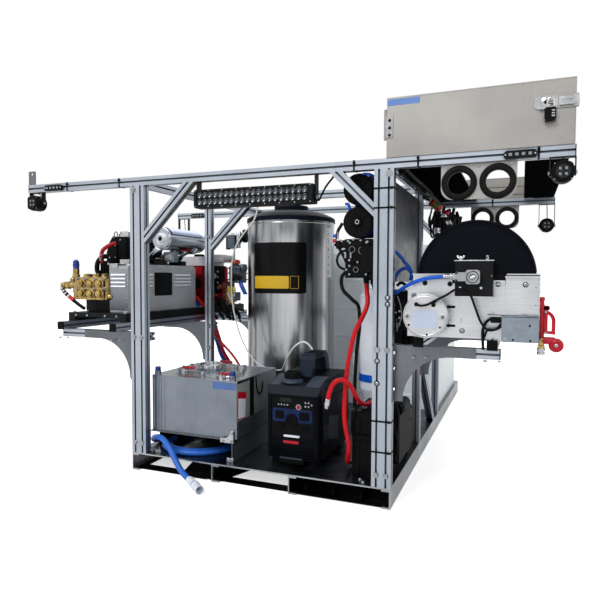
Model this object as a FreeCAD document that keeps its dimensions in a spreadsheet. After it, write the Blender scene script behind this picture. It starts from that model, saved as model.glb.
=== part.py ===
import FreeCAD, Part
import math
import os
import re

from FreeCAD import Placement, Rotation, Vector

# A pressure washing skid for a truck bed, in millimetres.
# X runs across the skid, Y from its front to its rear, Z up.
# The origin is the middle of the hold-down bolt holes, level with the underside of the base.

SIZES = {
    # base: deck plate on four lengthwise channels
    "skid_width": 1219.2,
    "skid_length": 2438.4,
    "channel_height": 76.2,
    "channel_flange": 35.8,
    "channel_web": 4.5,
    "channel_lip": 7.0,
    "inner_channel_left": 186.0,
    "inner_channel_right": 180.0,
    "deck_thickness": 6.35,
    "strap_width": 50.8,
    "strap_thickness": 6.35,
    "strap_setback": 20.0,
    "hold_down_hole": 13.5,
    "hold_down_inset": 20.0,
    "hold_down_end": 119.2,
    # slotted aluminium extrusion
    "slot_side": 38.1,
    "slot_opening": 8.2,
    "slot_lip": 2.8,
    "slot_cavity": 20.4,
    "slot_taper": 1.6,
    "slot_floor": 9.2,
    "slot_depth": 11.8,
    # upright frames
    "post_height": 1229.0,
    "front_post_width": 76.2,
    "frame_pitch": 641.35,
    "beam_length": 2445.0,
    "brace_drop": 208.0,
    "side_brace_rise": 485.0,
    "cap_thickness": 3.5,
    # shelves on both sides
    "shelf_height": 557.0,
    "left_reach": 442.0,
    "right_reach": 386.0,
    "left_rail_near": 105.0,
    "left_rail_far": 421.0,
    "right_rail_near": 100.0,
    "right_rail_far": 362.0,
    "gusset_thickness": 4.8,
    "gusset_reach": 304.0,
    "gusset_root": 35.0,
    "gusset_radius": 180.0,
    "panel_thickness": 3.0,
    "panel_bottom": 800.0,
    "panel_top": 1195.0,
    "slide_gap": 0.3,
    "tab_width": 41.0,
    "tab_height": 66.0,
    "tab_thickness": 6.0,
    "tab_hole": 14.0,
    "bolt_head": 9.0,
    "bolt_head_height": 5.0,
    # water heater
    "heater_x": 190.0,
    "heater_y": 905.0,
    "heater_radius": 250.0,
    "heater_wall": 3.0,
    "heater_foot": 45.0,
    "heater_foot_inset": 25.0,
    "heater_height": 1150.0,
    "lid_wall": 4.0,
    "lid_skirt": 22.0,
    "lid_rise": 58.0,
    "lid_shoulder": 150.0,
    "collar_radius": 97.0,
    "collar_height": 15.0,
    "inlet_radius": 10.0,
    "inlet_reach": 52.0,
    "inlet_height": 108.0,
    "inlet_offset": 140.0,
    # carriers under the pump sets
    "sled_height": 37.0,
    "sled_bar": 40.0,
    "sled_bridge": 16.0,
    "sled_plate": 5.0,
    "first_sled_front": 70.0,
    "first_sled_length": 720.0,
    "second_sled_front": 840.0,
    "second_sled_length": 440.0,
    # pump driven by the first engine
    "pump_front": 120.0,
    "pump_width": 200.0,
    "head_depth": 90.0,
    "head_bottom": 700.0,
    "head_height": 112.0,
    "case_depth": 180.0,
    "case_height": 185.0,
    "valve_cap": 17.0,
    "valve_cap_height": 16.0,
    "valve_pitch": 58.0,
    "outlet_radius": 15.0,
    "outlet_length": 118.0,
    "unloader_radius": 16.0,
    "unloader_height": 165.0,
    "unloader_reach": 26.0,
    "knob_radius": 15.0,
    "knob_height": 45.0,
    # belt guard and drive
    "guard_front": 150.0,
    "guard_width": 115.0,
    "guard_length": 605.0,
    "guard_height": 242.0,
    "guard_round": 28.0,
    "guard_wall": 2.0,
    "louvre_length": 86.0,
    "louvre_run": 150.0,
    "louvre_height": 6.0,
    "louvre_pitch": 19.0,
    "pulley_width": 34.0,
    "pulley_inset": 30.0,
    "pump_pulley_radius": 95.0,
    "engine_pulley_radius": 52.0,
    "groove_depth": 9.0,
    "shaft_radius": 14.0,
    "shaft_height": 118.0,
    "pump_shaft_back": 150.0,
    "engine_shaft_back": 460.0,
    "belt_gap": 0.3,
    # first engine
    "engine_front": 400.0,
    "engine_width": 196.0,
    "engine_length": 360.0,
    "engine_height": 200.0,
    "head_size": 120.0,
    "head_rise": 60.0,
    "cleaner_radius": 88.0,
    "cleaner_neck": 24.0,
    "cleaner_height": 200.0,
    "muffler_radius": 61.0,
    "muffler_length": 395.0,
    "muffler_front": 480.0,
    "muffler_height": 1026.0,
    "muffler_side": 185.0,
    "pipe_radius": 17.0,
    # second engine and pump
    "second_engine_width": 220.0,
    "second_engine_length": 280.0,
    "second_engine_height": 250.0,
    "second_engine_inset": 30.0,
    "starter_radius": 100.0,
    "starter_depth": 30.0,
    "second_tank_height": 58.0,
    "second_pump_width": 100.0,
    "second_pump_length": 150.0,
    "second_pump_height": 150.0,
    # fuel tank on its tray
    "fuel_front": 48.0,
    "fuel_width": 448.0,
    "fuel_depth": 414.0,
    "fuel_height": 256.0,
    "fuel_round": 8.0,
    "tray_height": 98.0,
    "tray_plate": 4.0,
    "tray_front": 36.0,
    "tray_back": 464.0,
    "neck_x": 190.0,
    "neck_y": 218.0,
    "neck_flange": 72.0,
    "neck_radius": 56.0,
    "neck_height": 14.0,
    "flange_height": 5.0,
    "cap_radius": 58.0,
    "cap_height": 22.0,
    "bung_radius": 15.0,
    "bung_height": 20.0,
    "valve_radius": 13.0,
    "valve_height": 18.0,
    "lever_length": 62.0,
    "lever_width": 14.0,
    "lever_thickness": 6.0,
    # inverter generator
    "generator_x": 35.0,
    "generator_front": 92.0,
    "generator_width": 250.0,
    "generator_length": 440.0,
    "generator_body": 372.0,
    "generator_foot": 32.0,
    "generator_round": 26.0,
    "grip_width": 58.0,
    "grip_rise": 100.0,
    "grip_bar": 26.0,
    "fuel_cap_radius": 36.0,
    "fuel_cap_height": 26.0,
    "fuel_cap_setback": 78.0,
    "button_radius": 8.0,
    "button_reach": 6.0,
    "button_seat": 2.5,
    "button_height": 262.0,
    "button_x": 155.0,
    "button_travel": 3.0,
    # motor-driven hose reel
    "reel_x": 296.0,
    "reel_front": 30.0,
    "reel_depth": 330.0,
    "reel_plate": 4.0,
    "reel_width": 463.0,
    "reel_height": 237.0,
    "reel_notch": 110.0,
    "reel_notch_depth": 36.0,
    "reel_flange": 22.0,
    "reel_axis": 225.0,
    "hood_radius": 208.0,
    "hood_wall": 4.0,
    "drum_radius": 190.0,
    "drum_plate": 4.0,
    "drum_core": 62.0,
    "drum_gap": 14.0,
    "axle_radius": 17.0,
    "wound_radius": 158.0,
    "motor_x": 165.0,
    "motor_height": 83.0,
    "motor_radius": 79.0,
    "motor_depth": 85.0,
    "bearing_width": 130.0,
    "bearing_height": 126.0,
    "bearing_depth": 50.0,
    "swivel_radius": 20.0,
    "swivel_depth": 52.0,
    "swivel_reach": 78.0,
    "control_width": 120.0,
    "control_height": 88.0,
    "control_depth": 80.0,
    # spray nozzle hung on the reel
    "nozzle_radius": 7.0,
    "nozzle_gap": 8.0,
    "nozzle_top": 150.0,
    "nozzle_bottom": 10.0,
    "nozzle_tip": 24.0,
    "bail_reach": 25.0,
    "bail_radius": 6.0,
    "bail_height": 86.0,
    # small hose reels on the right post
    "small_reel_radius": 62.0,
    "small_reel_depth": 66.0,
    "small_reel_x": 78.0,
    "small_reel_upper": 1166.0,
    "small_reel_lower": 1036.0,
    "small_reel_plate": 5.0,
    "small_reel_back": 50.0,
    "spindle_radius": 8.0,
    # pole holders under the beams
    "holder_end": 310.9,
    "holder_width": 262.0,
    "holder_height": 128.0,
    "holder_thickness": 3.2,
    "holder_round": 42.0,
    "holder_pitch": 133.0,
    "holder_drop": 68.0,
    "ring_outer": 60.0,
    "ring_inner": 42.0,
    "ring_depth": 22.0,
    # open carrier above the right shelf
    "carrier_left": 29.6,
    "carrier_end": 1.5,
    "carrier_height": 220.0,
    "carrier_wall": 3.0,
    "carrier_left_floor": 232.0,
    "carrier_right_floor": 106.0,
    "carrier_back_height": 122.0,
    "door_thickness": 3.0,
    "door_gap": 0.3,
    "hinge_radius": 5.0,
    "hinge_length": 72.0,
    "hinge_end": 20.0,
    "hinge_leaf": 26.0,
    "hasp_length": 138.0,
    "hasp_height": 44.0,
    "hasp_thickness": 3.0,
    "padlock_width": 34.0,
    "padlock_height": 46.0,
    "padlock_depth": 18.0,
    "shackle_radius": 3.0,
    # lamps
    "bar_x": 20.0,
    "bar_clear": 263.4,
    "bar_height": 76.0,
    "bar_depth": 64.0,
    "bar_drop": 42.0,
    "ear_thickness": 5.0,
    "ear_width": 36.0,
    "pod_radius": 38.0,
    "pod_depth": 62.0,
    "pod_drop": 52.0,
    "pod_inset": 36.0,
    "rear_pod_drop": 118.0,
    "bracket_thickness": 3.0,
    "strobe_length": 108.0,
    "strobe_height": 28.0,
    "strobe_depth": 12.0,
    "strobe_left": 110.0,
    "strobe_right": 118.0,
    # water tank and the rest on the deck
    "tank_gap": 44.0,
    "tank_side_gap": 24.0,
    "tank_rear_gap": 14.0,
    "tank_height": 1020.0,
    "tank_round": 60.0,
    "tank_wall": 9.0,
    "tank_hatch": 200.0,
    "tank_hatch_height": 26.0,
    "filter_x": 430.0,
    "filter_y": 500.0,
    "filter_radius": 84.0,
    "filter_height": 800.0,
    "filter_bottle": 64.0,
    "filter_neck": 240.0,
    "filter_shoulder": 290.0,
    "battery_x": 425.0,
    "battery_front": 104.0,
    "battery_width": 150.0,
    "battery_length": 280.0,
    "battery_height": 262.0,
    "feed_pump_x": 550.0,
    "feed_pump_y": 400.0,
    "feed_pump_radius": 52.0,
    "feed_pump_length": 150.0,
    "feed_pump_rise": 190.0,
    "feed_stand_width": 80.0,
    "feed_stand_length": 120.0,
    "booster_width": 108.0,
    "booster_depth": 110.0,
    "booster_height": 155.0,
    "booster_bottom": 815.0,
    "booster_side": 21.0,
    "booster_back": 14.0,
    "booster_bracket": 100.0,
    # hoses
    "blue_hose": 26.0,
    "hose_coil_x": 385.0,
    "hose_coil_y": 236.0,
    "hose_coil_radius": 188.0,
    "hose_step": 13.6,
    "cuff_radius": 19.0,
    "cuff_length": 62.0,
    "red_hose": 19.0,
    "feed_hose": 14.0,
    "cable": 8.0,
}

doc = FreeCAD.newDocument("washing_skid")
sheet = doc.addObject("Spreadsheet::Sheet", "sizes")
for row, (alias, amount) in enumerate(SIZES.items(), 1):
    sheet.set(f"A{row}", alias)
    sheet.set(f"B{row}", str(amount))
    sheet.setAlias(f"B{row}", alias)
doc.recompute()

# places that many pieces share, as expressions on the sheet
FRONT = "(-skid_length / 2)"
LEFT = "(-skid_width / 2)"
RIGHT = "(skid_width / 2)"
DECK = "(channel_height + deck_thickness)"
BEAM = f"({DECK} + post_height)"
BEAM_TOP = f"({BEAM} + slot_side)"
SHELF = f"({DECK} + shelf_height)"
RAIL_TOP = f"({SHELF} + slot_side)"
SLED_TOP = f"({RAIL_TOP} + sled_height + sled_plate)"
FRAMES = [FRONT, f"({FRONT} + frame_pitch)", f"({FRONT} + 2 * frame_pitch)"]
TURNS = {
    "x": Rotation(Vector(1, 1, 1), 120),
    "y": Rotation(Vector(1, 1, 1), 240),
    "z": Rotation(),
}

nodes = []


# helpers

def bound(text):
    """The expression with each alias written as a cell of the sheet."""
    return re.sub(r"[a-z][a-z0-9_]*", lambda word: f"sizes.{word[0]}" if word[0] in SIZES else word[0], text)


def number(text):
    """What an expression comes to, in millimetres."""
    return float(sheet.evalExpression(bound(text)))


def place(piece, at, turn=TURNS["z"]):
    """Puts a piece at a point whose coordinates follow the sheet."""
    piece.Placement = Placement(Vector(), turn)
    for axis, text in zip("xyz", at):
        piece.setExpression(f"Placement.Base.{axis}", bound(text))
    return piece


def box(name, at, size):
    piece = doc.addObject("Part::Box", name)
    for side, text in zip(("Length", "Width", "Height"), size):
        piece.setExpression(side, bound(text))
    return place(piece, at)


def cylinder(name, at, radius, length, axis="z"):
    piece = doc.addObject("Part::Cylinder", name)
    piece.setExpression("Radius", bound(radius))
    piece.setExpression("Height", bound(length))
    return place(piece, at, TURNS[axis])


def hexagon(name, at, radius, length, axis="z"):
    piece = doc.addObject("Part::Prism", name)
    piece.Polygon = 6
    piece.setExpression("Circumradius", bound(radius))
    piece.setExpression("Height", bound(length))
    return place(piece, at, TURNS[axis])


def fuse(name, pieces):
    piece = doc.addObject("Part::MultiFuse", name)
    piece.Shapes = pieces
    return piece


def cut(name, base, tools):
    piece = doc.addObject("Part::Cut", name)
    piece.Base = base
    piece.Tool = tools[0] if len(tools) == 1 else fuse(f"{name}_tools", tools)
    return piece


def node(name, pieces):
    """One named part of the skid, from one or more separate solids."""
    piece = pieces[0]
    if len(pieces) > 1:
        piece = doc.addObject("Part::Compound", name)
        piece.Links = pieces
    piece.Label = name
    nodes.append(piece)
    return piece


def draw(sketch, points, swap):
    """Adds one closed outline; a step of two points is an arc through the first to the second."""
    flip = (lambda p: Vector(p[1], p[0], 0)) if swap else (lambda p: Vector(p[0], p[1], 0))
    here = points[0]
    edges = []
    for step in points[1:] + points[:1]:
        bent = isinstance(step[0], tuple)
        there = step[1] if bent else step
        if bent:
            edges.append(Part.Arc(flip(here), flip(step[0]), flip(there)))
        elif math.dist(here, there) > 1e-6:
            edges.append(Part.LineSegment(flip(here), flip(there)))
        here = there
    sketch.addGeometry(edges, False)


def origin_plane(body, role):
    return next(plane for plane in body.Origin.OriginFeatures if plane.Role == role)


def sketch_on(body, role, name):
    sketch = body.newObject("Sketcher::SketchObject", name)
    sketch.AttachmentSupport = [(origin_plane(body, role), "")]
    sketch.MapMode = "FlatFace"
    return sketch


def pad(name, at, outlines, length, axis="z", holes=()):
    """Extrudes outlines along an axis; they are given across it, as XY, YZ or XZ points."""
    body = doc.addObject("PartDesign::Body", name)
    sketch = sketch_on(body, "XY_Plane", f"{name}_outline")
    for points in outlines:
        draw(sketch, points, axis == "y")
    for x, y, radius in holes:
        centre = Vector(y, x, 0) if axis == "y" else Vector(x, y, 0)
        sketch.addGeometry(Part.Circle(centre, Vector(0, 0, 1), radius), False)
    feature = body.newObject("PartDesign::Pad", f"{name}_pad")
    feature.Profile = sketch
    feature.setExpression("Length", bound(length))
    return place(body, at, TURNS[axis])


def turned(name, at, points, axis="z", turn=None):
    """Turns a half outline of (radius, height) points about an axis."""
    body = doc.addObject("PartDesign::Body", name)
    sketch = sketch_on(body, "XZ_Plane", f"{name}_outline")
    draw(sketch, points, False)
    feature = body.newObject("PartDesign::Revolution", f"{name}_turn")
    feature.Profile = sketch
    feature.ReferenceAxis = (sketch, ["V_Axis"])
    feature.Angle = 360
    return place(body, at, turn or TURNS[axis])


def rectangle(x0, y0, x1, y1):
    return [(x0, y0), (x1, y0), (x1, y1), (x0, y1)]


def rounded(x0, y0, x1, y1, radius, corners=(1, 1, 1, 1)):
    """A rectangle whose chosen corners, from the lower left on, are round."""
    points = []
    middle = radius * (1 - math.sqrt(0.5))
    ends = [
        ((x0, y0 + radius), (x0 + middle, y0 + middle), (x0 + radius, y0), (x0, y0)),
        ((x1 - radius, y0), (x1 - middle, y0 + middle), (x1, y0 + radius), (x1, y0)),
        ((x1, y1 - radius), (x1 - middle, y1 - middle), (x1 - radius, y1), (x1, y1)),
        ((x0 + radius, y1), (x0 + middle, y1 - middle), (x0, y1 - radius), (x0, y1)),
    ]
    for wanted, (start, mid, end, corner) in zip(corners, ends):
        points += [start, (mid, end)] if wanted else [corner]
    return points


def arc_point(centre, radius, degrees):
    angle = math.radians(degrees)
    return (centre[0] + radius * math.cos(angle), centre[1] + radius * math.sin(angle))


def wire_along(points):
    """Straight runs joined by tangent arcs, each as large as its two runs allow."""
    spots = [Vector(*point) for point in points]
    edges = []
    radii = []
    here = spots[0]
    for before, corner, after in zip(spots, spots[1:], spots[2:]):
        back = before - corner
        ahead = after - corner
        turn = math.pi - back.getAngle(ahead)
        reach = 0.45 * min(back.Length, ahead.Length)
        back.normalize()
        ahead.normalize()
        radii.append(reach / math.tan(turn / 2))
        start = corner + back * reach
        end = corner + ahead * reach
        inward = (back + ahead).normalize()
        middle = corner + inward * (radii[-1] / math.cos(turn / 2) - radii[-1])
        edges.append(Part.LineSegment(here, start).toShape())
        edges.append(Part.Arc(start, middle, end).toShape())
        here = end
    edges.append(Part.LineSegment(here, spots[-1]).toShape())
    return Part.Wire(edges), radii


def tube(name, points, diameter):
    """A hose or cable along a route, with its volume set against its length."""
    wire, radii = wire_along(points)
    start = Vector(*points[0])
    section = Part.Wire(Part.Circle(start, Vector(*points[1]) - start, diameter / 2).toShape())
    shape = wire.makePipeShell([section], True, True)
    piece = doc.addObject("Part::Feature", name)
    piece.Shape = shape
    full = math.pi * diameter**2 / 4 * wire.Length
    least = f"{min(radii):.0f} mm" if radii else "none"
    print(f"{name}: length {wire.Length:.0f} mm, least radius {least}, volume {shape.Volume / full:.4f} of full")
    return piece


# slotted extrusion

def slot_outline(across, along):
    """The outline of an extrusion that is so many slot cells wide and deep."""
    side = number("slot_side")
    opening = number("slot_opening") / 2
    lip = number("slot_lip")
    cavity = number("slot_cavity") / 2
    shoulder = lip + number("slot_taper")
    floor = number("slot_floor") / 2
    depth = number("slot_depth")
    half_slot = [(-opening, 0), (-opening, lip), (-cavity, shoulder), (-floor, depth)]
    slot = half_slot + [(-x, y) for x, y in reversed(half_slot)]
    width, height = across * side, along * side
    points = []
    for cells, corner, ahead, inward in (
        (across, (0, 0), (1, 0), (0, 1)),
        (along, (width, 0), (0, 1), (-1, 0)),
        (across, (width, height), (-1, 0), (0, -1)),
        (along, (0, height), (0, -1), (1, 0)),
    ):
        points.append(corner)
        for cell in range(cells):
            for run, deep in slot:
                step = (cell + 0.5) * side + run
                points.append((
                    corner[0] + ahead[0] * step + inward[0] * deep,
                    corner[1] + ahead[1] * step + inward[1] * deep,
                ))
    return points


def member(name, at, length, axis, across=1, along=1):
    """One length of extrusion, from its lowest corner along an axis."""
    return pad(name, at, [slot_outline(across, along)], length, axis)


# base

def base_frame():
    flange = number("channel_flange")
    web = number("channel_web")
    lip = number("channel_lip")
    height = number("channel_height")

    def channel(name, x, side):
        outline = [
            (0, 0), (side * flange, 0), (side * flange, lip), (side * web, lip),
            (side * web, height - lip), (side * flange, height - lip), (side * flange, height), (0, height),
        ]
        return pad(name, (x, FRONT, "0"), [outline], "skid_length", "y")

    def hold_down(name, side):
        holes = [
            cylinder(f"{name}_hole_{end}", (
                f"{side} * (skid_width / 2 - hold_down_inset)", f"{sign} * (skid_length / 2 - hold_down_end)", "-1",
            ), "hold_down_hole / 2", "channel_lip + 2")
            for end, sign in (("front", -1), ("rear", 1))
        ]
        return cut(f"{name}_drilled", channel(name, f"{side} * skid_width / 2", -side), holes)

    solids = [
        box("deck_plate", (LEFT, FRONT, "channel_height"), ("skid_width", "skid_length", "deck_thickness")),
        hold_down("left_channel", -1),
        hold_down("right_channel", 1),
        channel("inner_left_channel", "-inner_channel_left", 1),
        channel("inner_right_channel", "inner_channel_right", 1),
    ]
    bays = (
        ("left", f"{LEFT} + channel_flange", "-inner_channel_left"),
        ("middle", "-inner_channel_left + channel_flange", "inner_channel_right"),
        ("right", "inner_channel_right + channel_flange", f"{RIGHT} - channel_flange"),
    )
    for bay, start, end in bays:
        for place_name, y in (("front", f"{FRONT} + strap_setback"), ("rear", f"-({FRONT}) - strap_setback - strap_width")):
            solids.append(box(f"{bay}_{place_name}_strap", (start, y, "0"), (
                f"({end}) - ({start})", "strap_width", "strap_thickness")))
    node("base_frame", solids)


# posts, beams and braces

def side_brace():
    """A brace at 45 degrees from the right middle post down to the deck, cut flush with both."""
    x = f"({RIGHT} - slot_side)"
    y = f"({FRAMES[1]} + slot_side)"
    bar = pad("side_brace_bar", (x, y, DECK), [slot_outline(1, 1)], "2 * side_brace_rise", "z")
    bar.Placement = Placement(Vector(), Rotation(Vector(1, 0, 0), -135))
    bar.setExpression("Placement.Base.x", bound(x))
    bar.setExpression("Placement.Base.y", bound(f"{y} - slot_side"))
    bar.setExpression("Placement.Base.z", bound(f"{DECK} + side_brace_rise + slot_side"))
    room = box("side_brace_room", (f"{x} - 1", y, DECK), ("slot_side + 2", "2 * side_brace_rise", "2 * side_brace_rise"))
    piece = doc.addObject("Part::Common", "right_side_brace")
    piece.Base = bar
    piece.Tool = room
    return piece


def frame_posts():
    posts = []
    for side, x in (("left", LEFT), ("right", f"{RIGHT} - front_post_width")):
        posts.append(member(f"{side}_front_post", (x, FRONT, DECK), "post_height", "z", 2, 1))
    for order, y in (("middle", FRAMES[1]), ("rear", FRAMES[2])):
        for side, x in (("left", LEFT), ("right", f"{RIGHT} - slot_side")):
            posts.append(member(f"{side}_{order}_post", (x, y, DECK), "post_height", "z"))
    posts.append(side_brace())
    node("frame_posts", posts)


def corner_brace(name, inner_face, side, y):
    """A brace at 45 degrees, cut flush with the post and with the underside of the beam."""
    long = 2 * number("brace_drop") + 4 * number("slot_side")
    bar = pad(f"{name}_bar", (inner_face, y, f"{BEAM} - brace_drop"), [slot_outline(1, 1)], "3 * brace_drop", "z")
    bar.Placement = Placement(Vector(), Rotation(Vector(0, 1, 0), side * 45))
    lead = number("slot_side") * math.sqrt(0.5)
    drop = number("slot_side") * math.sqrt(0.5)
    bar.setExpression("Placement.Base.x", bound(f"{inner_face} - {side} * {lead:.6f}"))
    bar.setExpression("Placement.Base.y", bound(y))
    bar.setExpression("Placement.Base.z", bound(f"{BEAM} - brace_drop - {drop if side > 0 else 0:.6f}"))
    start = inner_face if side > 0 else f"({inner_face}) - {long}"
    room = box(f"{name}_room", (start, f"({y}) - 1", f"{BEAM} - {long}"), (f"{long}", "slot_side + 2", f"{long}"))
    piece = doc.addObject("Part::Common", name)
    piece.Base = bar
    piece.Tool = room
    return piece


def top_frame():
    half = "(beam_length / 2)"
    pieces = [
        member("front_beam", (f"-{half}", FRAMES[0], BEAM), "beam_length", "x"),
        member("rear_beam", (f"-{half}", FRAMES[2], BEAM), "beam_length", "x"),
        member("middle_beam", (f"{LEFT} + slot_side", FRAMES[1], BEAM), "skid_width - 2 * slot_side", "x"),
    ]
    for side, x in (("left", LEFT), ("right", f"{RIGHT} - slot_side")):
        pieces.append(member(f"{side}_top_rail", (x, f"{FRAMES[0]} + slot_side", BEAM),
                             "2 * frame_pitch - slot_side", "y"))
    for order, y, width in (("front", FRAMES[0], "front_post_width"), ("middle", FRAMES[1], "slot_side"),
                            ("rear", FRAMES[2], "slot_side")):
        pieces.append(corner_brace(f"{order}_left_brace", f"({LEFT} + {width})", 1, y))
        pieces.append(corner_brace(f"{order}_right_brace", f"({RIGHT} - {width})", -1, y))
    node("top_frame", pieces)


# shelves

def shelf_rails():
    pieces = []
    for order, frame, start in (("front", FRAMES[0], "front_post_width"), ("middle", FRAMES[1], "slot_side"),
                                ("rear", FRAMES[2], "slot_side")):
        y = f"{frame} - slot_side" if order == "rear" else f"{frame} + slot_side"
        pieces.append(member(f"{order}_right_arm", (f"{RIGHT} - {start}", y, f"{SHELF} - slot_side"),
                             f"right_reach + {start}", "x"))
        pieces.append(member(f"{order}_left_arm", (f"{LEFT} - left_reach", y, f"{SHELF} - slot_side"),
                             f"left_reach + {start}", "x"))
    for name, x in (
        ("right_near_rail", f"{RIGHT} + right_rail_near - slot_side / 2"),
        ("right_far_rail", f"{RIGHT} + right_rail_far - slot_side / 2"),
        ("left_near_rail", f"{LEFT} - left_rail_near - slot_side / 2"),
        ("left_far_rail", f"{LEFT} - left_rail_far - slot_side / 2"),
    ):
        pieces.append(member(name, (x, FRONT, SHELF), "2 * frame_pitch + slot_side", "y"))
    node("shelf_rails", pieces)


def gusset(name, face, side, y):
    """A concave bracket plate under an arm, with a flange down the outer face of the post."""
    reach = number("gusset_reach")
    tip = number("slot_side")
    root = number("gusset_root")
    radius = number("gusset_radius")
    centre = (root + radius, -tip - radius)
    points = [(0, 0), (reach, 0), (reach, -tip), (root + radius, -tip)]
    points.append((arc_point(centre, radius, 135), (root, -tip - radius)))
    points.append((0, -tip - radius))
    points = [(side * p[0], p[1]) if not isinstance(p[0], tuple) else tuple((side * q[0], q[1]) for q in p)
              for p in points]
    web = pad(f"{name}_web", (face, y, SHELF), [points], "gusset_thickness", "y")
    start = face if side > 0 else f"({face}) - gusset_thickness"
    fold = box(f"{name}_fold", (start, f"({y}) + gusset_thickness - slot_side", f"{SHELF} - slot_side - gusset_radius"),
               ("gusset_thickness", "slot_side", "slot_side + gusset_radius"))
    return fuse(name, [web, fold])


def frame_plates():
    pieces = []
    for order, frame in (("front", FRAMES[0]), ("middle", FRAMES[1])):
        y = f"{frame} + slot_side - gusset_thickness"
        pieces.append(gusset(f"{order}_right_gusset", RIGHT, 1, y))
        pieces.append(gusset(f"{order}_left_gusset", LEFT, -1, y))
    y = f"{FRAMES[2]} + slot_side - gusset_thickness"
    for side, face, sign in (("right", RIGHT, 1), ("left", LEFT, -1)):
        pieces.append(gusset(f"rear_{side}_gusset", face, sign, y))
    reach = "(slot_depth - slide_gap)"
    pieces.append(box("side_panel", (
        f"{RIGHT} - slot_side / 2 - panel_thickness / 2", f"{FRAMES[0]} + slot_side - {reach}", f"{DECK} + panel_bottom",
    ), ("panel_thickness", f"frame_pitch - slot_side + 2 * {reach}", "panel_top - panel_bottom")))
    tab_width = number("tab_width")
    tab_height = number("tab_height")
    pieces.append(pad("mast_tab", ("-beam_length / 2", FRAMES[0], BEAM_TOP), [rectangle(0, 0, tab_width, tab_height)],
                      "tab_thickness", "y", [(tab_width / 2, tab_height - tab_width / 3, number("tab_hole") / 2)]))
    node("frame_plates", pieces)


def end_caps():
    caps = []
    half = "(beam_length / 2)"

    def cap(name, at, along):
        size = ["slot_side"] * 3
        size["xy".index(along)] = "cap_thickness"
        caps.append(box(name, at, size))

    for order, y in (("front", FRAMES[0]), ("rear", FRAMES[2])):
        cap(f"{order}_beam_left_cap", (f"-{half} - cap_thickness", y, BEAM), "x")
        cap(f"{order}_beam_right_cap", (half, y, BEAM), "x")
    for order, frame in (("front", FRAMES[0]), ("middle", FRAMES[1]), ("rear", FRAMES[2])):
        y = f"{frame} - slot_side" if order == "rear" else f"{frame} + slot_side"
        cap(f"{order}_right_arm_cap", (f"{RIGHT} + right_reach", y, f"{SHELF} - slot_side"), "x")
        cap(f"{order}_left_arm_cap", (f"{LEFT} - left_reach - cap_thickness", y, f"{SHELF} - slot_side"), "x")
    for name, x in (
        ("right_near", f"{RIGHT} + right_rail_near - slot_side / 2"),
        ("right_far", f"{RIGHT} + right_rail_far - slot_side / 2"),
        ("left_near", f"{LEFT} - left_rail_near - slot_side / 2"),
        ("left_far", f"{LEFT} - left_rail_far - slot_side / 2"),
    ):
        cap(f"{name}_front_cap", (x, f"{FRONT} - cap_thickness", SHELF), "y")
        cap(f"{name}_rear_cap", (x, f"{FRONT} + 2 * frame_pitch + slot_side", SHELF), "y")
    node("end_caps", caps)


def frame_bolts():
    bolts = []

    def bolt(at, axis, back=False):
        x, y, z = at
        if back:
            shift = "bolt_head_height"
            x = f"({x}) - {shift}" if axis == "x" else x
            y = f"({y}) - {shift}" if axis == "y" else y
        bolts.append(hexagon(f"bolt_{len(bolts)}", (x, y, z), "bolt_head", "bolt_head_height", axis))

    near, far = "slot_side / 2", "3 * slot_side / 2"
    for x in (f"{LEFT} + {near}", f"{LEFT} + {far}", f"{RIGHT} - {near}", f"{RIGHT} - {far}"):
        for z in ("48", f"shelf_height - {near}"):
            bolt((x, FRONT, f"{DECK} + {z}"), "y", back=True)
    for x in (f"{LEFT} + {near}", f"{RIGHT} - {near}"):
        bolt((x, FRONT, f"{BEAM} - {near}"), "y", back=True)
    for side, face in ((1, f"{RIGHT} + gusset_thickness"), (-1, f"{LEFT} - gusset_thickness")):
        for frame in (FRAMES[0], FRAMES[1]):
            for drop in ("30", "90", "170"):
                bolt((face, f"{frame} + 14", f"{SHELF} - {drop}"), "x", back=side < 0)
    node("frame_bolts", bolts)


# water heater

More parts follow.
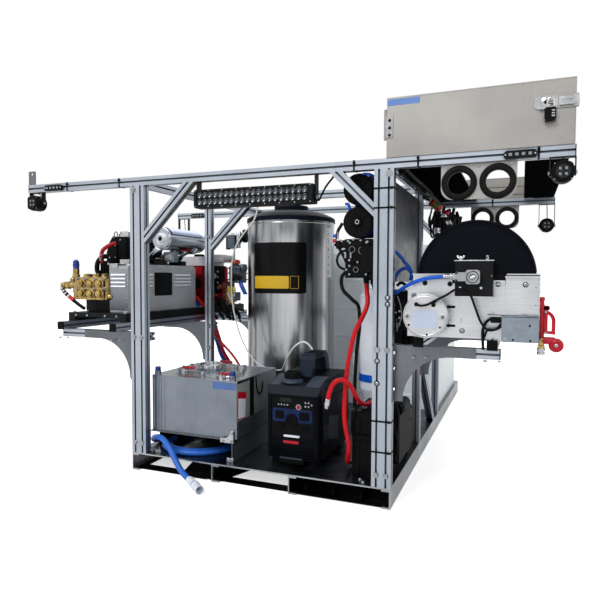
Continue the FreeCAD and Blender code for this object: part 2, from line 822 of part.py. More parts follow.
def heater():
    x = "-heater_x"
    y = f"{FRONT} + heater_y"
    radius = number("heater_radius")
    wall = number("heater_wall")
    foot = number("heater_foot")
    height = number("heater_height")
    inset = number("heater_foot_inset")
    shell = turned("heater_shell", (x, y, DECK), [
        (0, foot), (radius, foot), (radius, height), (radius - wall, height), (radius - wall, foot + wall),
        (0, foot + wall),
    ])
    ring = turned("heater_ring", (x, y, DECK), [
        (radius - inset - 3 * wall, 0), (radius - inset, 0), (radius - inset, foot), (radius - inset - 3 * wall, foot),
    ])
    inlet_x = f"{x} - inlet_offset"
    inlet_y = f"{y} - sqrt(heater_radius ^ 2 - inlet_offset ^ 2) - inlet_reach + 12"
    inlet_z = f"{DECK} + heater_foot + 22"
    inlet = cylinder("heater_inlet", (inlet_x, inlet_y, inlet_z), "inlet_radius", "inlet_reach", "y")
    elbow = cylinder("heater_elbow", (inlet_x, inlet_y, inlet_z), "inlet_radius + 1",
                     "inlet_height - heater_foot - 22")
    node("burner_drum", [fuse("heater_body", [shell, inlet, elbow]), ring])

    skirt = number("lid_skirt")
    rise = number("lid_rise")
    lid_wall = number("lid_wall")
    shoulder = number("lid_shoulder")
    collar = number("collar_radius")
    gap = number("slide_gap")
    outer = radius + gap + lid_wall
    bulge = ((outer + shoulder) / 2 + 14, skirt * 0.2 + rise * 0.66)
    under = ((radius - wall + shoulder) / 2 + 10, skirt * 0.1 + rise * 0.62 - lid_wall)
    lid = turned("burner_lid", (x, y, f"{DECK} + heater_height - lid_skirt"), [
        (radius + gap, 0), (outer, 0), (outer, skirt), (bulge, (shoulder, rise + skirt * 0.2)),
        (collar, rise + skirt * 0.2 + 4), (collar, rise + skirt + number("collar_height")),
        (collar - lid_wall, rise + skirt + number("collar_height")), (collar - lid_wall, rise + skirt * 0.2),
        (shoulder, rise + skirt * 0.2 - lid_wall), (under, (radius - 2 * wall, skirt)), (radius + gap, skirt),
    ])
    node("burner_lid", [lid])


# pump sets on the left shelf

def sleds():
    """Two black frames that lie across the left rails, each under a base plate."""
    bars = []
    outer = f"({LEFT} - left_rail_far - slot_side / 2)"
    width = "(left_rail_far - left_rail_near + slot_side)"
    for order, front, length in (("first", f"({FRONT} + first_sled_front)", "first_sled_length"),
                                 ("second", f"({FRONT} + second_sled_front)", "second_sled_length")):
        for spot, y in (("front", front), ("rear", f"{front} + {length} - sled_bar")):
            bars.append(box(f"{order}_sled_{spot}_bar", (f"{outer} + sled_bar", y,
                                                         f"{RAIL_TOP} + sled_height - sled_bridge"),
                            (f"{width} - 2 * sled_bar", "sled_bar", "sled_bridge")))
        for spot, x in (("outer", outer), ("inner", f"{outer} + {width} - sled_bar")):
            bars.append(box(f"{order}_sled_{spot}_bar", (x, front, RAIL_TOP), ("sled_bar", length, "sled_height")))
        bars.append(box(f"{order}_sled_plate", (outer, front, f"{RAIL_TOP} + sled_height"),
                        (width, length, "sled_plate")))
    node("machine_frames", bars)


GUARD_RIGHT = f"({LEFT} - left_rail_near - slot_side / 2 - 12)"
GUARD_LEFT = f"({GUARD_RIGHT} - guard_width)"
PUMP_RIGHT = f"({GUARD_LEFT} - 6)"
SHAFT_Z = f"({SLED_TOP} + shaft_height)"


def belt_guard():
    """A sheet cover over the pulleys, open towards the engine, with rows of louvre slots."""
    length = number("guard_length")
    height = number("guard_height")
    wall = number("guard_wall")
    bend = number("guard_round")
    front = f"{FRONT} + guard_front"
    outside = pad("guard_outside", (GUARD_LEFT, front, SLED_TOP), [rounded(0, 0, length, height, bend, (0, 0, 1, 1))],
                  "guard_width", "x")
    inside = pad("guard_inside", (f"{GUARD_LEFT} - 1", front, SLED_TOP), [
        rounded(wall, wall, length - wall, height - wall, bend - wall, (0, 0, 1, 1))],
        "guard_width - guard_wall + 1", "x")
    slots = []
    for index in range(4):
        z = f"{SLED_TOP} + guard_height * 0.53 + {index} * louvre_pitch"
        for bay, y in (("near", f"{front} + 40"), ("far", f"{front} + guard_length - louvre_run - 60")):
            slots.append(box(f"louvre_{bay}_{index}", (f"{GUARD_RIGHT} - guard_wall - 1", y, z),
                             ("guard_wall + 2", "louvre_run", "louvre_height")))
        slots.append(box(f"louvre_end_{index}", (f"{GUARD_LEFT} + (guard_width - louvre_length) / 2",
                                                 f"{front} - 1", z),
                         ("louvre_length", "guard_wall + 2", "louvre_height")))
    node("belt_guard", [cut("belt_guard", outside, [inside] + slots)])


def grooved_wheel(name, at, radius, shaft_left):
    """A belt pulley on its shaft; the shaft runs left to the machine that it turns in."""
    width = number("pulley_width")
    depth = number("groove_depth")
    shaft = number("shaft_radius")
    points = [
        (0, -shaft_left), (shaft, -shaft_left), (shaft, -1), (shaft + 12, -1), (shaft + 12, 0), (radius, 0),
        (radius, 4), (radius - depth, 10), (radius - depth, width - 10), (radius, width - 4), (radius, width),
        (shaft + 12, width), (shaft + 12, width + 1), (0, width + 1),
    ]
    return turned(name, at, points, "x")


def belt_drive():
    x = f"{GUARD_LEFT} + pulley_inset"
    pump_y = f"({FRONT} + guard_front + pump_shaft_back)"
    engine_y = f"({FRONT} + guard_front + engine_shaft_back)"
    reach = number("pulley_inset") + 6 - number("slide_gap")
    node("pump_pulley", [grooved_wheel("pump_pulley", (x, pump_y, SHAFT_Z), number("pump_pulley_radius"), reach)])
    node("engine_pulley", [grooved_wheel("engine_pulley", (x, engine_y, SHAFT_Z),
                                         number("engine_pulley_radius"), reach)])
    span = number("engine_shaft_back") - number("pump_shaft_back")
    inner = (number("pump_pulley_radius") - number("groove_depth") + number("belt_gap"),
             number("engine_pulley_radius") - number("groove_depth") + number("belt_gap"))
    outer = tuple(radius + number("groove_depth") - 1 for radius in inner)

    def loop(big, small):
        lean = math.degrees(math.asin((big - small) / span))
        here, there = (0, 0), (span, 0)
        return [
            arc_point(here, big, 90 - lean), (arc_point(here, big, 180), arc_point(here, big, 270 + lean)),
            arc_point(there, small, 270 + lean), (arc_point(there, small, 0), arc_point(there, small, 90 - lean)),
        ]

    node("drive_belt", [pad("drive_belt", (f"{x} + 11", pump_y, SHAFT_Z), [loop(*outer), loop(*inner)],
                            "pulley_width - 22", "x")])


def pressure_pump():
    left = f"({PUMP_RIGHT} - pump_width)"
    front = f"({FRONT} + pump_front)"
    case_round = 26
    depth = number("case_depth")
    height = number("case_height")
    case = pad("pump_case", (left, f"{front} + head_depth", SLED_TOP),
               [rounded(0, 0, depth, height, case_round, (0, 0, 1, 1))], "pump_width", "x")
    node("pump_crankcase", [case])

    head_z = f"({DECK} + head_bottom)"
    pieces = [box("head_block", (left, f"{front} + valve_cap_height", head_z),
                  ("pump_width", "head_depth - valve_cap_height", "head_height"))]
    for column in (-1, 0, 1):
        x = f"{left} + pump_width / 2 + {column} * valve_pitch"
        for row, drop in (("upper", "0.72"), ("lower", "0.27")):
            pieces.append(hexagon(f"{row}_valve_cap_{column + 1}", (x, front, f"{head_z} + {drop} * head_height"),
                                  "valve_cap", "valve_cap_height + 4", "y"))
        pieces.append(hexagon(f"top_valve_cap_{column + 1}", (x, f"{front} + head_depth * 0.6", f"{head_z} + head_height - 2"),
                              "valve_cap", "valve_cap_height", "z"))
    outlet_y = f"{front} + head_depth * 0.55"
    outlet_z = f"{head_z} + head_height * 0.62"
    pieces.append(cylinder("outlet", (f"{left} - outlet_length", outlet_y, outlet_z), "outlet_radius",
                           "outlet_length + 2", "x"))
    column_x = f"{left} - unloader_reach"
    pieces.append(cylinder("unloader_body", (column_x, outlet_y, f"{outlet_z} - 34"), "unloader_radius",
                           "unloader_height - knob_height"))
    pieces.append(hexagon("unloader_collar", (column_x, outlet_y, f"{outlet_z} + 30"), "unloader_radius + 5", "16"))
    node("pump_head", [fuse("pump_head", pieces)])
    knob = number("knob_radius")
    tall = number("knob_height")
    stem_z = f"{outlet_z} - 34 + unloader_height - knob_height + slide_gap"
    node("unloader_knob", [turned("unloader_knob", (column_x, outlet_y, stem_z), [
        (0, 0), (knob, 0), (knob, tall - 6), (knob - 4, tall - 2), (0, tall - 2)])])


def first_engine():
    left = f"({PUMP_RIGHT} - engine_width)"
    front = f"({FRONT} + engine_front)"
    block = box("crankcase", (left, front, SLED_TOP), ("engine_width", "engine_length", "engine_height"))
    heads = []
    for order, y in (("front", f"{front} + 24"), ("rear", f"{front} + engine_length - head_size - 24")):
        heads.append(box(f"{order}_cylinder", (f"{left} + 38", y, f"{SLED_TOP} + engine_height"),
                         ("head_size", "head_size", "head_rise")))
    flywheel = cylinder("fan_housing", (f"{left} - 46", f"{front} + engine_length / 2", f"{SLED_TOP} + engine_height / 2"),
                        "engine_height / 2 - 4", "46", "x")
    wide = number("cleaner_radius")
    tall = number("cleaner_height")
    neck = number("cleaner_neck")
    rise = number("head_rise + slide_gap")
    cleaner = turned("air_cleaner", (f"{left} + engine_width / 2", f"{front} + engine_length / 2",
                                     f"{SLED_TOP} + engine_height"), [
        (0, 0), (neck, 0), (neck, rise), (wide - 14, rise), (wide, rise + 10), (wide, tall - 26), (wide - 20, tall),
        (0, tall),
    ])
    node("engine_block", [fuse("engine_body", [block] + heads + [flywheel]), cleaner])

    x = f"({LEFT} - muffler_side)"
    y = f"{FRONT} + muffler_front"
    z = f"{DECK} + muffler_height"
    radius = number("muffler_radius")
    length = number("muffler_length")
    can = turned("muffler_can", (x, y, z), [
        (0, 14), (12, 14), (12, 0), (20, 0), (20, 14), (radius - 8, 8), (radius, 18), (radius, length - 16),
        (radius - 12, length), (0, length),
    ], "y")
    pipe_y = number(f"{FRONT} + muffler_front + muffler_length * 0.55")
    head_x = number(f"{left} + 38 + head_size") - 24
    head_z = number(f"{SLED_TOP} + engine_height + head_rise")
    pipe = tube("exhaust_pipe", [
        (head_x, pipe_y, head_z + number("slide_gap")), (head_x, pipe_y, head_z + 46),
        (number(x) - 50, pipe_y, head_z + 58), (number(x), pipe_y, number(z) - radius + 8),
    ], 2 * number("pipe_radius"))
    node("muffler", [fuse("muffler", [can, pipe])])


def second_engine():
    left = f"({LEFT} - left_rail_far + second_engine_inset)"
    front = f"({FRONT} + second_sled_front + 60)"
    block = box("second_block", (left, front, SLED_TOP),
                ("second_engine_width", "second_engine_length", "second_engine_height"))
    starter = cylinder("recoil_starter", (f"{left} + second_engine_width / 2", f"{front} - starter_depth",
                                          f"{SLED_TOP} + second_engine_height * 0.52"),
                       "starter_radius", "starter_depth + 2", "y")
    tank_round = 24
    tank = pad("second_engine_tank", (f"{left} - 10", f"{front} + 40", f"{SLED_TOP} + second_engine_height"), [
        rounded(0, 0, number("second_engine_width + 20"), number("second_engine_length - 60"), tank_round)],
        "second_tank_height")
    pump = box("second_pump", (f"{left} + second_engine_width + slide_gap", f"{front} + 70", SLED_TOP),
               ("second_pump_width", "second_pump_length", "second_pump_height"))
    node("red_engine", [fuse("second_engine_body", [block, starter]), tank, pump])


# fuel tank

TANK_LEFT = f"({LEFT} + front_post_width)"
TANK_TOP = f"({DECK} + tray_height + tray_plate + fuel_height)"


def fuel_tank():
    back = f"({FRONT} + tray_back)"
    front = f"({FRONT} + tray_front)"
    plates = [
        box("tray_top", (TANK_LEFT, front, f"{DECK} + tray_height"), (
            "fuel_width - 15", f"{back} - {front}", "tray_plate")),
        box("tray_side", (f"{TANK_LEFT} + fuel_width - 15 - tray_plate", front, DECK), (
            "tray_plate", f"{back} - {front}", "tray_height")),
        box("tray_rear", (TANK_LEFT, f"{back} - tray_plate", DECK), (
            "fuel_width - 15 - tray_plate", "tray_plate", "tray_height")),
    ]
    node("tank_tray", plates)

    front = f"({FRONT} + fuel_front)"
    width = number("fuel_width")
    shell = pad("tank_shell", (TANK_LEFT, front, f"{TANK_TOP} - fuel_height"), [
        rounded(0, 0, width, number("fuel_depth"), number("fuel_round"))], "fuel_height")
    top = [shell]
    top.append(cylinder("neck_flange", (f"{TANK_LEFT} + neck_x", f"{front} + neck_y", f"{TANK_TOP} - 2"),
                        "neck_flange", "flange_height + 2"))
    top.append(cylinder("neck", (f"{TANK_LEFT} + neck_x", f"{front} + neck_y", f"{TANK_TOP} - 2"),
                        "neck_radius", "neck_height + 2"))
    for name, x, y in (("left_bung", "20", "22"), ("right_bung", "fuel_width - 38", "34")):
        top.append(cylinder(name, (f"{TANK_LEFT} + {x}", f"{front} + {y}", f"{TANK_TOP} - 2"), "bung_radius",
                            "bung_height + 2"))
    for name, x, y in VALVES:
        top.append(cylinder(name, (f"{TANK_LEFT} + {x}", f"{front} + {y}", f"{TANK_TOP} - 2"), "valve_radius",
                            "valve_height + 2"))
    node("fuel_tank", [fuse("fuel_tank", top)])
    cap = number("cap_radius")
    tall = number("cap_height")
    node("filler_cap", [turned("filler_cap", (f"{TANK_LEFT} + neck_x", f"{front} + neck_y",
                                              f"{TANK_TOP} + neck_height + slide_gap"), [
        (0, 0), (cap, 0), (cap, tall - 5), (cap - 5, tall), (18, tall), (18, tall + 9), (0, tall + 9)])])
    lever = rounded(-number("lever_width") / 2, -number("lever_width") / 2, number("lever_length"),
                    number("lever_width") / 2, number("lever_width") / 2 - 0.5)
    for name, x, y in VALVES:
        handle = pad(f"{name}_lever", (f"{TANK_LEFT} + {x}", f"{front} + {y}", f"{TANK_TOP} + valve_height + slide_gap"),
                     [lever], "lever_thickness")
        node(f"{name}_lever", [handle])


VALVES = (("front_valve", "fuel_width - 110", "60"), ("left_valve", "82", "140"), ("rear_valve", "156", "374"))


# generator

def generator():
    x = "generator_x"
    front = f"({FRONT} + generator_front)"
    length = number("generator_length")
    body = number("generator_body")
    foot = number("generator_foot")
    bend = number("generator_round")
    width = number("generator_width")
    side = [
        (10, foot), (length - 10, foot), (length, foot + 60), (length - 6, body - 60),
        ((length - 22, body - 18), (length - 62, body)), (118, body), (70, body - 16), (20, body - 26), (0, body - 62),
        (0, foot + 60),
    ]
    hull = pad("generator_hull", (x, front, DECK), [side], "generator_width", "x")
    trim = pad("generator_trim", (x, front, DECK), [rounded(0, 0, width, length, bend)], "generator_body")
    common = doc.addObject("Part::Common", "generator_casing")
    common.Base = hull
    common.Tool = trim
    top = body + number("grip_rise")
    bar = number("grip_bar")
    outside = [(110, body - 30), (128, top - 34), ((138, top - 9), (162, top)), (length - 150, top),
               ((length - 116, top - 8), (length - 96, top - 34)), (length - 60, body - 30)]
    window = [(154, body - 1), (162, top - bar - 12), ((166, top - bar - 3), (176, top - bar)),
              (length - 160, top - bar), ((length - 148, top - bar - 3), (length - 138, top - bar - 12)),
              (length - 118, body - 1)]
    grip = pad("generator_grip", (f"{x} + generator_width / 2 - grip_width / 2 + 14", front, DECK),
               [outside, window], "grip_width", "x")
    feet = []
    for name, fx in (("left_foot", "20"), ("right_foot", "generator_width - 60")):
        for end, fy in (("front", "24"), ("rear", "generator_length - 84")):
            feet.append(box(f"{end}_{name}", (f"{x} + {fx}", f"{front} + {fy}", DECK), ("40", "60", "generator_foot + 4")))
    cap_x = f"{x} + generator_width / 2 - 30"
    neck = cylinder("generator_neck", (cap_x, f"{front} + fuel_cap_setback", f"{DECK} + generator_body - 40"),
                    "fuel_cap_radius - 6", "40")
    button_at = (f"{x} + button_x", f"{DECK} + button_height")
    well = cylinder("button_well", (button_at[0], f"{front} - 1", button_at[1]), "button_radius + slide_gap",
                    "1 + button_seat + button_travel + slide_gap", "y")
    node("generator_case", [cut("generator_shell", fuse("generator_body", [common, grip, neck] + feet), [well])])
    cap = number("fuel_cap_radius")
    tall = number("fuel_cap_height")
    node("generator_cap", [turned("generator_cap", (cap_x, f"{front} + fuel_cap_setback",
                                                    f"{DECK} + generator_body + slide_gap"), [
        (0, 0), (cap, 0), (cap, tall - 4), (cap - 4, tall), (0, tall)])])
    node("start_button", [cylinder("start_button", (button_at[0], f"{front} - button_reach", button_at[1]),
                                   "button_radius", "button_reach + button_seat", "y")])


# motor-driven hose reel

REEL_X = f"({RIGHT} + reel_x)"
REEL_FRONT = f"({FRONT} + reel_front)"
REEL_Z = f"({RAIL_TOP} + reel_axis)"
REEL_LEFT = f"({REEL_X} - reel_width / 2 - 12)"


def reel_plates():
    """Two side plates, folded outwards at the top and inwards at the foot, round a notch for the drum."""
    width = number("reel_width")
    height = number("reel_height")
    notch = number("reel_notch")
    dip = number("reel_notch_depth")
    middle = width / 2 + 12
    outline = [(0, 0), (width, 0), (width, height), (middle + notch, height), (middle + notch, height - dip),
               (middle - notch + 30, height - dip), (middle - notch + 30, height), (20, height), (20, height - 54),
               (0, height - 54)]
    plates = []
    for order, y, fold in (("front", REEL_FRONT, -1), ("rear", f"{REEL_FRONT} + reel_depth - reel_plate", 1)):
        flat = pad(f"{order}_plate", (REEL_LEFT, y, RAIL_TOP), [outline], "reel_plate", "y")
        lip_y = f"{y} - reel_flange" if fold < 0 else f"{y} + reel_plate"
        foot_y = f"{y} + reel_plate" if fold < 0 else f"{y} - reel_flange"
        top_z = f"{RAIL_TOP} + reel_height - reel_plate"
        parts = [
            flat,
            box(f"{order}_left_lip", (f"{REEL_LEFT} + 20", lip_y, top_z), (f"{middle - notch + 10}", "reel_flange", "reel_plate")),
            box(f"{order}_right_lip", (f"{REEL_LEFT} + {middle + notch}", lip_y, top_z), (
                f"{width - middle - notch}", "reel_flange", "reel_plate")),
            box(f"{order}_foot", (REEL_LEFT, foot_y, RAIL_TOP), ("reel_width", "reel_flange", "reel_plate")),
        ]
        plates.append(fuse(f"{order}_reel_plate", parts))
    node("reel_plates", plates)


def hose_reel():
    depth = "(reel_depth - 2 * reel_plate)"
    radius = number("hood_radius")
    wall = number("hood_wall")
    base = number("reel_height - reel_axis") + 0.3
    y0 = f"({REEL_FRONT} + reel_plate + slide_gap)"

    def half_disc(size, floor):
        reach = math.sqrt(size**2 - floor**2)
        return [(-reach, floor), (reach, floor), ((0, size), (-reach, floor))]

    outer = pad("hood_outer", (REEL_X, y0, REEL_Z), [half_disc(radius, base)], f"{depth} - 2 * slide_gap", "y")
    inner = pad("hood_inner", (REEL_X, f"{y0} + hood_wall", REEL_Z), [
        half_disc(radius - wall, base - 1)], f"{depth} - 2 * slide_gap - 2 * hood_wall", "y")
    notch = number("axle_radius") + 5
    slot = box("hood_slot", (f"{REEL_X} - {notch}", f"{y0} - 1", f"{REEL_Z} - 60"), (f"{2 * notch}", f"{depth} + 2", "90"))
    node("reel_cover", [cut("reel_cover", outer, [inner, slot])])

    drum = number("drum_radius")
    plate = number("drum_plate")
    core = number("drum_core")
    axle = number("axle_radius")
    long = number(f"{depth} - 2 * drum_gap")
    out = number("drum_gap + reel_plate + bearing_depth") - 12
    node("reel_drum", [turned("reel_drum", (REEL_X, f"{REEL_FRONT} + reel_plate + drum_gap", REEL_Z), [
        (0, -out), (axle, -out), (axle, 0), (drum - 6, 0), (drum, plate / 2), (drum - 6, plate), (core, plate),
        (core, long - plate), (drum - 6, long - plate), (drum, long - plate / 2), (drum - 6, long), (axle, long),
        (axle, long + number("drum_gap + reel_plate") + 14), (0, long + number("drum_gap + reel_plate") + 14),
    ], "y")])
    gap = number("slide_gap")
    wound = number("wound_radius")
    node("reel_hose", [turned("reel_hose", (REEL_X, f"{REEL_FRONT} + reel_plate + drum_gap", REEL_Z), [
        (core + gap, plate + gap), (wound, plate + gap), (wound, long - plate - gap), (core + gap, long - plate - gap),
    ], "y")])

    motor_x = f"({REEL_X} - motor_x)"
    motor = number("motor_radius")
    deep = number("motor_depth")
    node("reel_motor", [turned("reel_motor", (motor_x, f"{REEL_FRONT} - motor_depth", f"{RAIL_TOP} + motor_height"), [
        (0, 0), (motor - 5, 0), (motor, 5), (motor, 22), (motor - 7, 26), (motor - 7, deep), (0, deep)], "y")])

    bearing_x = f"({REEL_X} - bearing_width / 2)"
    body = box("bearing_body", (bearing_x, f"{REEL_FRONT} - bearing_depth", f"{REEL_Z} - bearing_height / 2 - 6"),
               ("bearing_width", "bearing_depth", "bearing_height"))
    bore = cylinder("bearing_bore", (REEL_X, f"{REEL_FRONT} - bearing_depth - 1", REEL_Z), "axle_radius + slide_gap",
                    "bearing_depth + 2", "y")
    node("bearing_box", [cut("bearing_box", body, [bore])])
    swivel_y = f"({REEL_FRONT} - bearing_depth - swivel_depth)"
    swivel = [
        cylinder("swivel_body", (REEL_X, swivel_y, REEL_Z), "swivel_radius", "swivel_depth", "y"),
        box("swivel_block", (f"{REEL_X} - 46", f"{swivel_y} + 4", f"{REEL_Z} - 14"), ("46", "30", "30")),
        hexagon("swivel_nut", (f"{REEL_X} - swivel_reach", f"{swivel_y} + 19", f"{REEL_Z} + 1"), "13",
                "swivel_reach - 44", "x"),
    ]
    node("swivel_joint", [fuse("swivel_joint", swivel)])
    node("control_box", [box("control_box", (
        f"{REEL_LEFT} + reel_width - control_width - 2", f"{REEL_FRONT} - control_depth", f"{RAIL_TOP} + 1",
    ), ("control_width", "control_depth", "control_height"))])


def spray_nozzle():
    """A red nozzle that hangs on the right edge of the reel, with its pull handle."""
    x = f"({REEL_LEFT} + reel_width + nozzle_gap)"
    y = f"({REEL_FRONT} + reel_plate / 2)"
    bar = cylinder("nozzle_bar", (x, y, f"{RAIL_TOP} + nozzle_bottom"), "nozzle_radius", "nozzle_top - nozzle_bottom")
    hook = box("nozzle_hook", (f"{x} - nozzle_gap", f"{y} - 12", f"{RAIL_TOP} + nozzle_top - 34"), (
        "nozzle_gap", "24", "24"))
    upper = box("upper_ear", (x, f"{y} - 7", f"{RAIL_TOP} + nozzle_bottom + bail_height + 16"), ("24", "14", "12"))
    tip = turned("nozzle_tip", (f"{x} + 48", y, f"{RAIL_TOP} - 12"), [
        (0, -12), (20, -12), (number("nozzle_tip"), -6), (number("nozzle_tip"), 6), (20, 12), (0, 12)], "y")
    tip_neck = box("tip_neck", (x, f"{y} - 8", f"{RAIL_TOP} - 8"), ("40", "16", "24"))
    fitting = cylinder("nozzle_fitting", (x, y, f"{RAIL_TOP} - 46"), "nozzle_radius - 1", "nozzle_bottom + 48")
    node("spray_nozzle", [fuse("spray_nozzle", [bar, hook, upper, tip, tip_neck, fitting])])
    reach = number("bail_reach")
    tall = number("bail_height")
    rod = 2 * number("bail_radius")
    outside = [(0, 0), ((reach + 1, -rod), (reach + rod, -tall / 2)), (reach + rod, -tall), (0, -tall + 4)]
    inside = [(rod, -rod - 4), ((reach - 5, -2 * rod), (reach, -tall / 2)), (reach, -tall + rod),
              (rod, -tall + rod)]
    node("nozzle_bail", [pad("nozzle_bail", (f"{x} + nozzle_radius + slide_gap", f"{y} - bail_radius",
                                             f"{RAIL_TOP} + nozzle_bottom + bail_height + 15"), [outside, inside],
                             "2 * bail_radius", "y")])


def small_reels():
    """Two small hose reels, one above the other, on a plate behind the right front post."""
    x = f"({RIGHT} - front_post_width - small_reel_x)"
    y = f"({FRONT} + small_reel_back)"
    back = f"{y} + small_reel_depth + slide_gap"
    plate = box("small_reel_plate", (f"{x} - 30", back, f"{DECK} + small_reel_lower - 60"), (
        "small_reel_x + 30 + front_post_width / 2", "small_reel_plate", "small_reel_upper - small_reel_lower + 120"))
    spacer = box("small_reel_spacer", (f"{RIGHT} - front_post_width", f"{FRONT} + slot_side", f"{DECK} + small_reel_lower - 60"), (
        "front_post_width / 2", f"small_reel_back + small_reel_depth + slide_gap - slot_side",
        "small_reel_upper - small_reel_lower + 120"))
    spindles = [
        cylinder(f"{order}_spindle", (x, y, f"{DECK} + {height}"), "spindle_radius",
                 "small_reel_depth + slide_gap + small_reel_plate", "y")
        for order, height in (("upper", "small_reel_upper"), ("lower", "small_reel_lower"))
    ]
    node("small_reel_frame", [fuse("small_reel_frame", [plate, spacer] + spindles)])
    radius = number("small_reel_radius")
    depth = number("small_reel_depth")
    bore = number("spindle_radius + slide_gap")
    points = [
        (bore, 0), (16, 0), (16, 5), (radius - 8, 5), (radius, 9), (radius, 13), (radius - 12, 13),
        (radius - 12, depth - 10), (radius, depth - 10), (radius, depth), (bore, depth),
    ]
    for order, height in (("upper", "small_reel_upper"), ("lower", "small_reel_lower")):
        node(f"small_reel_{order}", [turned(f"small_reel_{order}", (x, y, f"{DECK} + {height}"), points, "y")])


# pole holders and carrier

def pole_holders():
    width = number("holder_width")
    height = number("holder_height")
    seat = number("slot_depth - slide_gap")
    bend = number("holder_round")
    pitch = number("holder_pitch")
    drop = number("holder_drop")
    ring_in = number("ring_inner")
    ring_out = number("ring_outer")
    waist = (ring_in + ring_out) / 2
    deep = number("ring_depth")
    pieces = []
    for order, frame in (("front", FRAMES[0]), ("rear", FRAMES[2])):
        x = "(beam_length / 2 - holder_end)"
        y = f"({frame} + slot_side / 2 - holder_thickness / 2)"
        spots = [width / 2 - pitch / 2, width / 2 + pitch / 2]
        plate = pad(f"{order}_holder", (f"{x} - holder_width / 2", y, f"{BEAM} - holder_height"), [
            rounded(0, 0, width, height + seat, bend, (1, 1, 0, 0))], "holder_thickness", "y",
            [(spot, height - drop, waist) for spot in spots])
        rings = []
        for side, spot in (("left", -1), ("right", 1)):
            rings.append(turned(f"{order}_{side}_ring", (f"{x} + {spot} * holder_pitch / 2",
                                                          f"{y} + holder_thickness / 2", f"{BEAM} - holder_drop"), [
                (ring_in + 3, -deep / 2), (ring_out - 3, -deep / 2), (ring_out, -deep / 2 + 4), (ring_out, deep / 2 - 4),
                (ring_out - 3, deep / 2), (ring_in + 3, deep / 2), (ring_in, deep / 2 - 4), (ring_in, -deep / 2 + 4),
            ], "y"))
        pieces.append(fuse(f"{order}_holder_set", [plate] + rings))
    node("pole_holders", pieces)


CARRIER_LEFT = f"({RIGHT} - carrier_left)"
CARRIER_LENGTH = "(2 * frame_pitch + slot_side)"
CARRIER_WIDTH = f"(beam_length / 2 - carrier_end - {CARRIER_LEFT})"


def carrier():
    """An open tray of sheet panels on top of the beams, with a door at its front."""
    right = "(beam_length / 2 - carrier_end)"
    inner = f"({CARRIER_LEFT} + carrier_wall)"
    panels = [
        box("carrier_left_wall", (CARRIER_LEFT, FRONT, BEAM_TOP), ("carrier_wall", CARRIER_LENGTH, "carrier_height")),
        box("carrier_right_wall", (f"{right} - carrier_wall", FRONT, BEAM_TOP), (
            "carrier_wall", CARRIER_LENGTH, "carrier_height")),
        box("carrier_left_floor", (inner, FRONT, BEAM_TOP), (
            "carrier_left_floor", f"{CARRIER_LENGTH} - carrier_wall", "carrier_wall")),
        box("carrier_right_floor", (f"{right} - carrier_wall - carrier_right_floor", FRONT, BEAM_TOP), (
            "carrier_right_floor", f"{CARRIER_LENGTH} - carrier_wall", "carrier_wall")),
        box("carrier_back", (inner, f"{FRONT} + {CARRIER_LENGTH} - carrier_wall", BEAM_TOP), (
            f"{CARRIER_WIDTH} - 2 * carrier_wall", "carrier_wall", "carrier_back_height")),
    ]
    pin_x = f"({CARRIER_LEFT} - hinge_radius)"
    pin_y = f"({FRONT} - door_gap - door_thickness)"
    middle = f"({BEAM_TOP} + carrier_height / 2 - hinge_length / 2 + 12)"
    for spot, z in (("lower", f"{middle} - slide_gap - hinge_end"), ("upper", f"{middle} + hinge_length + slide_gap")):
        knuckle = cylinder(f"{spot}_knuckle", (pin_x, pin_y, z), "hinge_radius", "hinge_end")
        leaf = box(f"{spot}_leaf", (f"{CARRIER_LEFT} - 2", pin_y, z), ("2", "hinge_leaf", "hinge_end"))
        panels.append(fuse(f"{spot}_hinge", [knuckle, leaf]))
    node("carrier_tray", panels)
    door = box("door_panel", (f"{CARRIER_LEFT} + slide_gap", pin_y, f"{BEAM_TOP} + door_gap"), (
        f"{CARRIER_WIDTH} - slide_gap", "door_thickness", "carrier_height - door_gap"))
    knuckle = cylinder("door_knuckle", (pin_x, pin_y, middle), "hinge_radius", "hinge_length")
    leaf = box("door_leaf", (pin_x, f"{pin_y} - 2", middle), ("hinge_leaf + hinge_radius", "2", "hinge_length"))

    face = f"({pin_y} - hasp_thickness)"
    hasp_x = f"({right} - hasp_length + 8)"
    hasp_z = f"({BEAM_TOP} + carrier_height - 98)"
    strap = pad("hasp_strap", (hasp_x, face, hasp_z), [
        rounded(0, 0, number("hasp_length"), number("hasp_height"), 16, (1, 0, 0, 1))], "hasp_thickness", "y")
    lock_x = f"({hasp_x} + 34)"
    lock = box("padlock_body", (lock_x, f"{face} - 4 - padlock_depth", f"{hasp_z} - padlock_height + 4"), (
        "padlock_width", "padlock_depth", "padlock_height"))
    staple = box("hasp_staple", (f"{lock_x} + 6", f"{face} - 16", f"{hasp_z} + 14"), ("22", "17", "5"))
    shackle_top = number(f"{hasp_z} + 24")
    shackle_low = number(f"{hasp_z}")
    centre = number(f"{lock_x} + padlock_width / 2")
    shackle_y = number(f"{face} - 13")
    shackle = tube("shackle", [
        (centre - 10, shackle_y, shackle_low), (centre - 10, shackle_y, shackle_top),
        (centre + 10, shackle_y, shackle_top), (centre + 10, shackle_y, shackle_low),
    ], 2 * number("shackle_radius"))
    node("carrier_door", [fuse("door_and_hinge", [door, knuckle, leaf]),
                          fuse("hasp_and_padlock", [strap, staple, lock, shackle])])


# lamps

BAR_LENGTH = "(skid_width - 2 * front_post_width - 2 * bar_clear)"


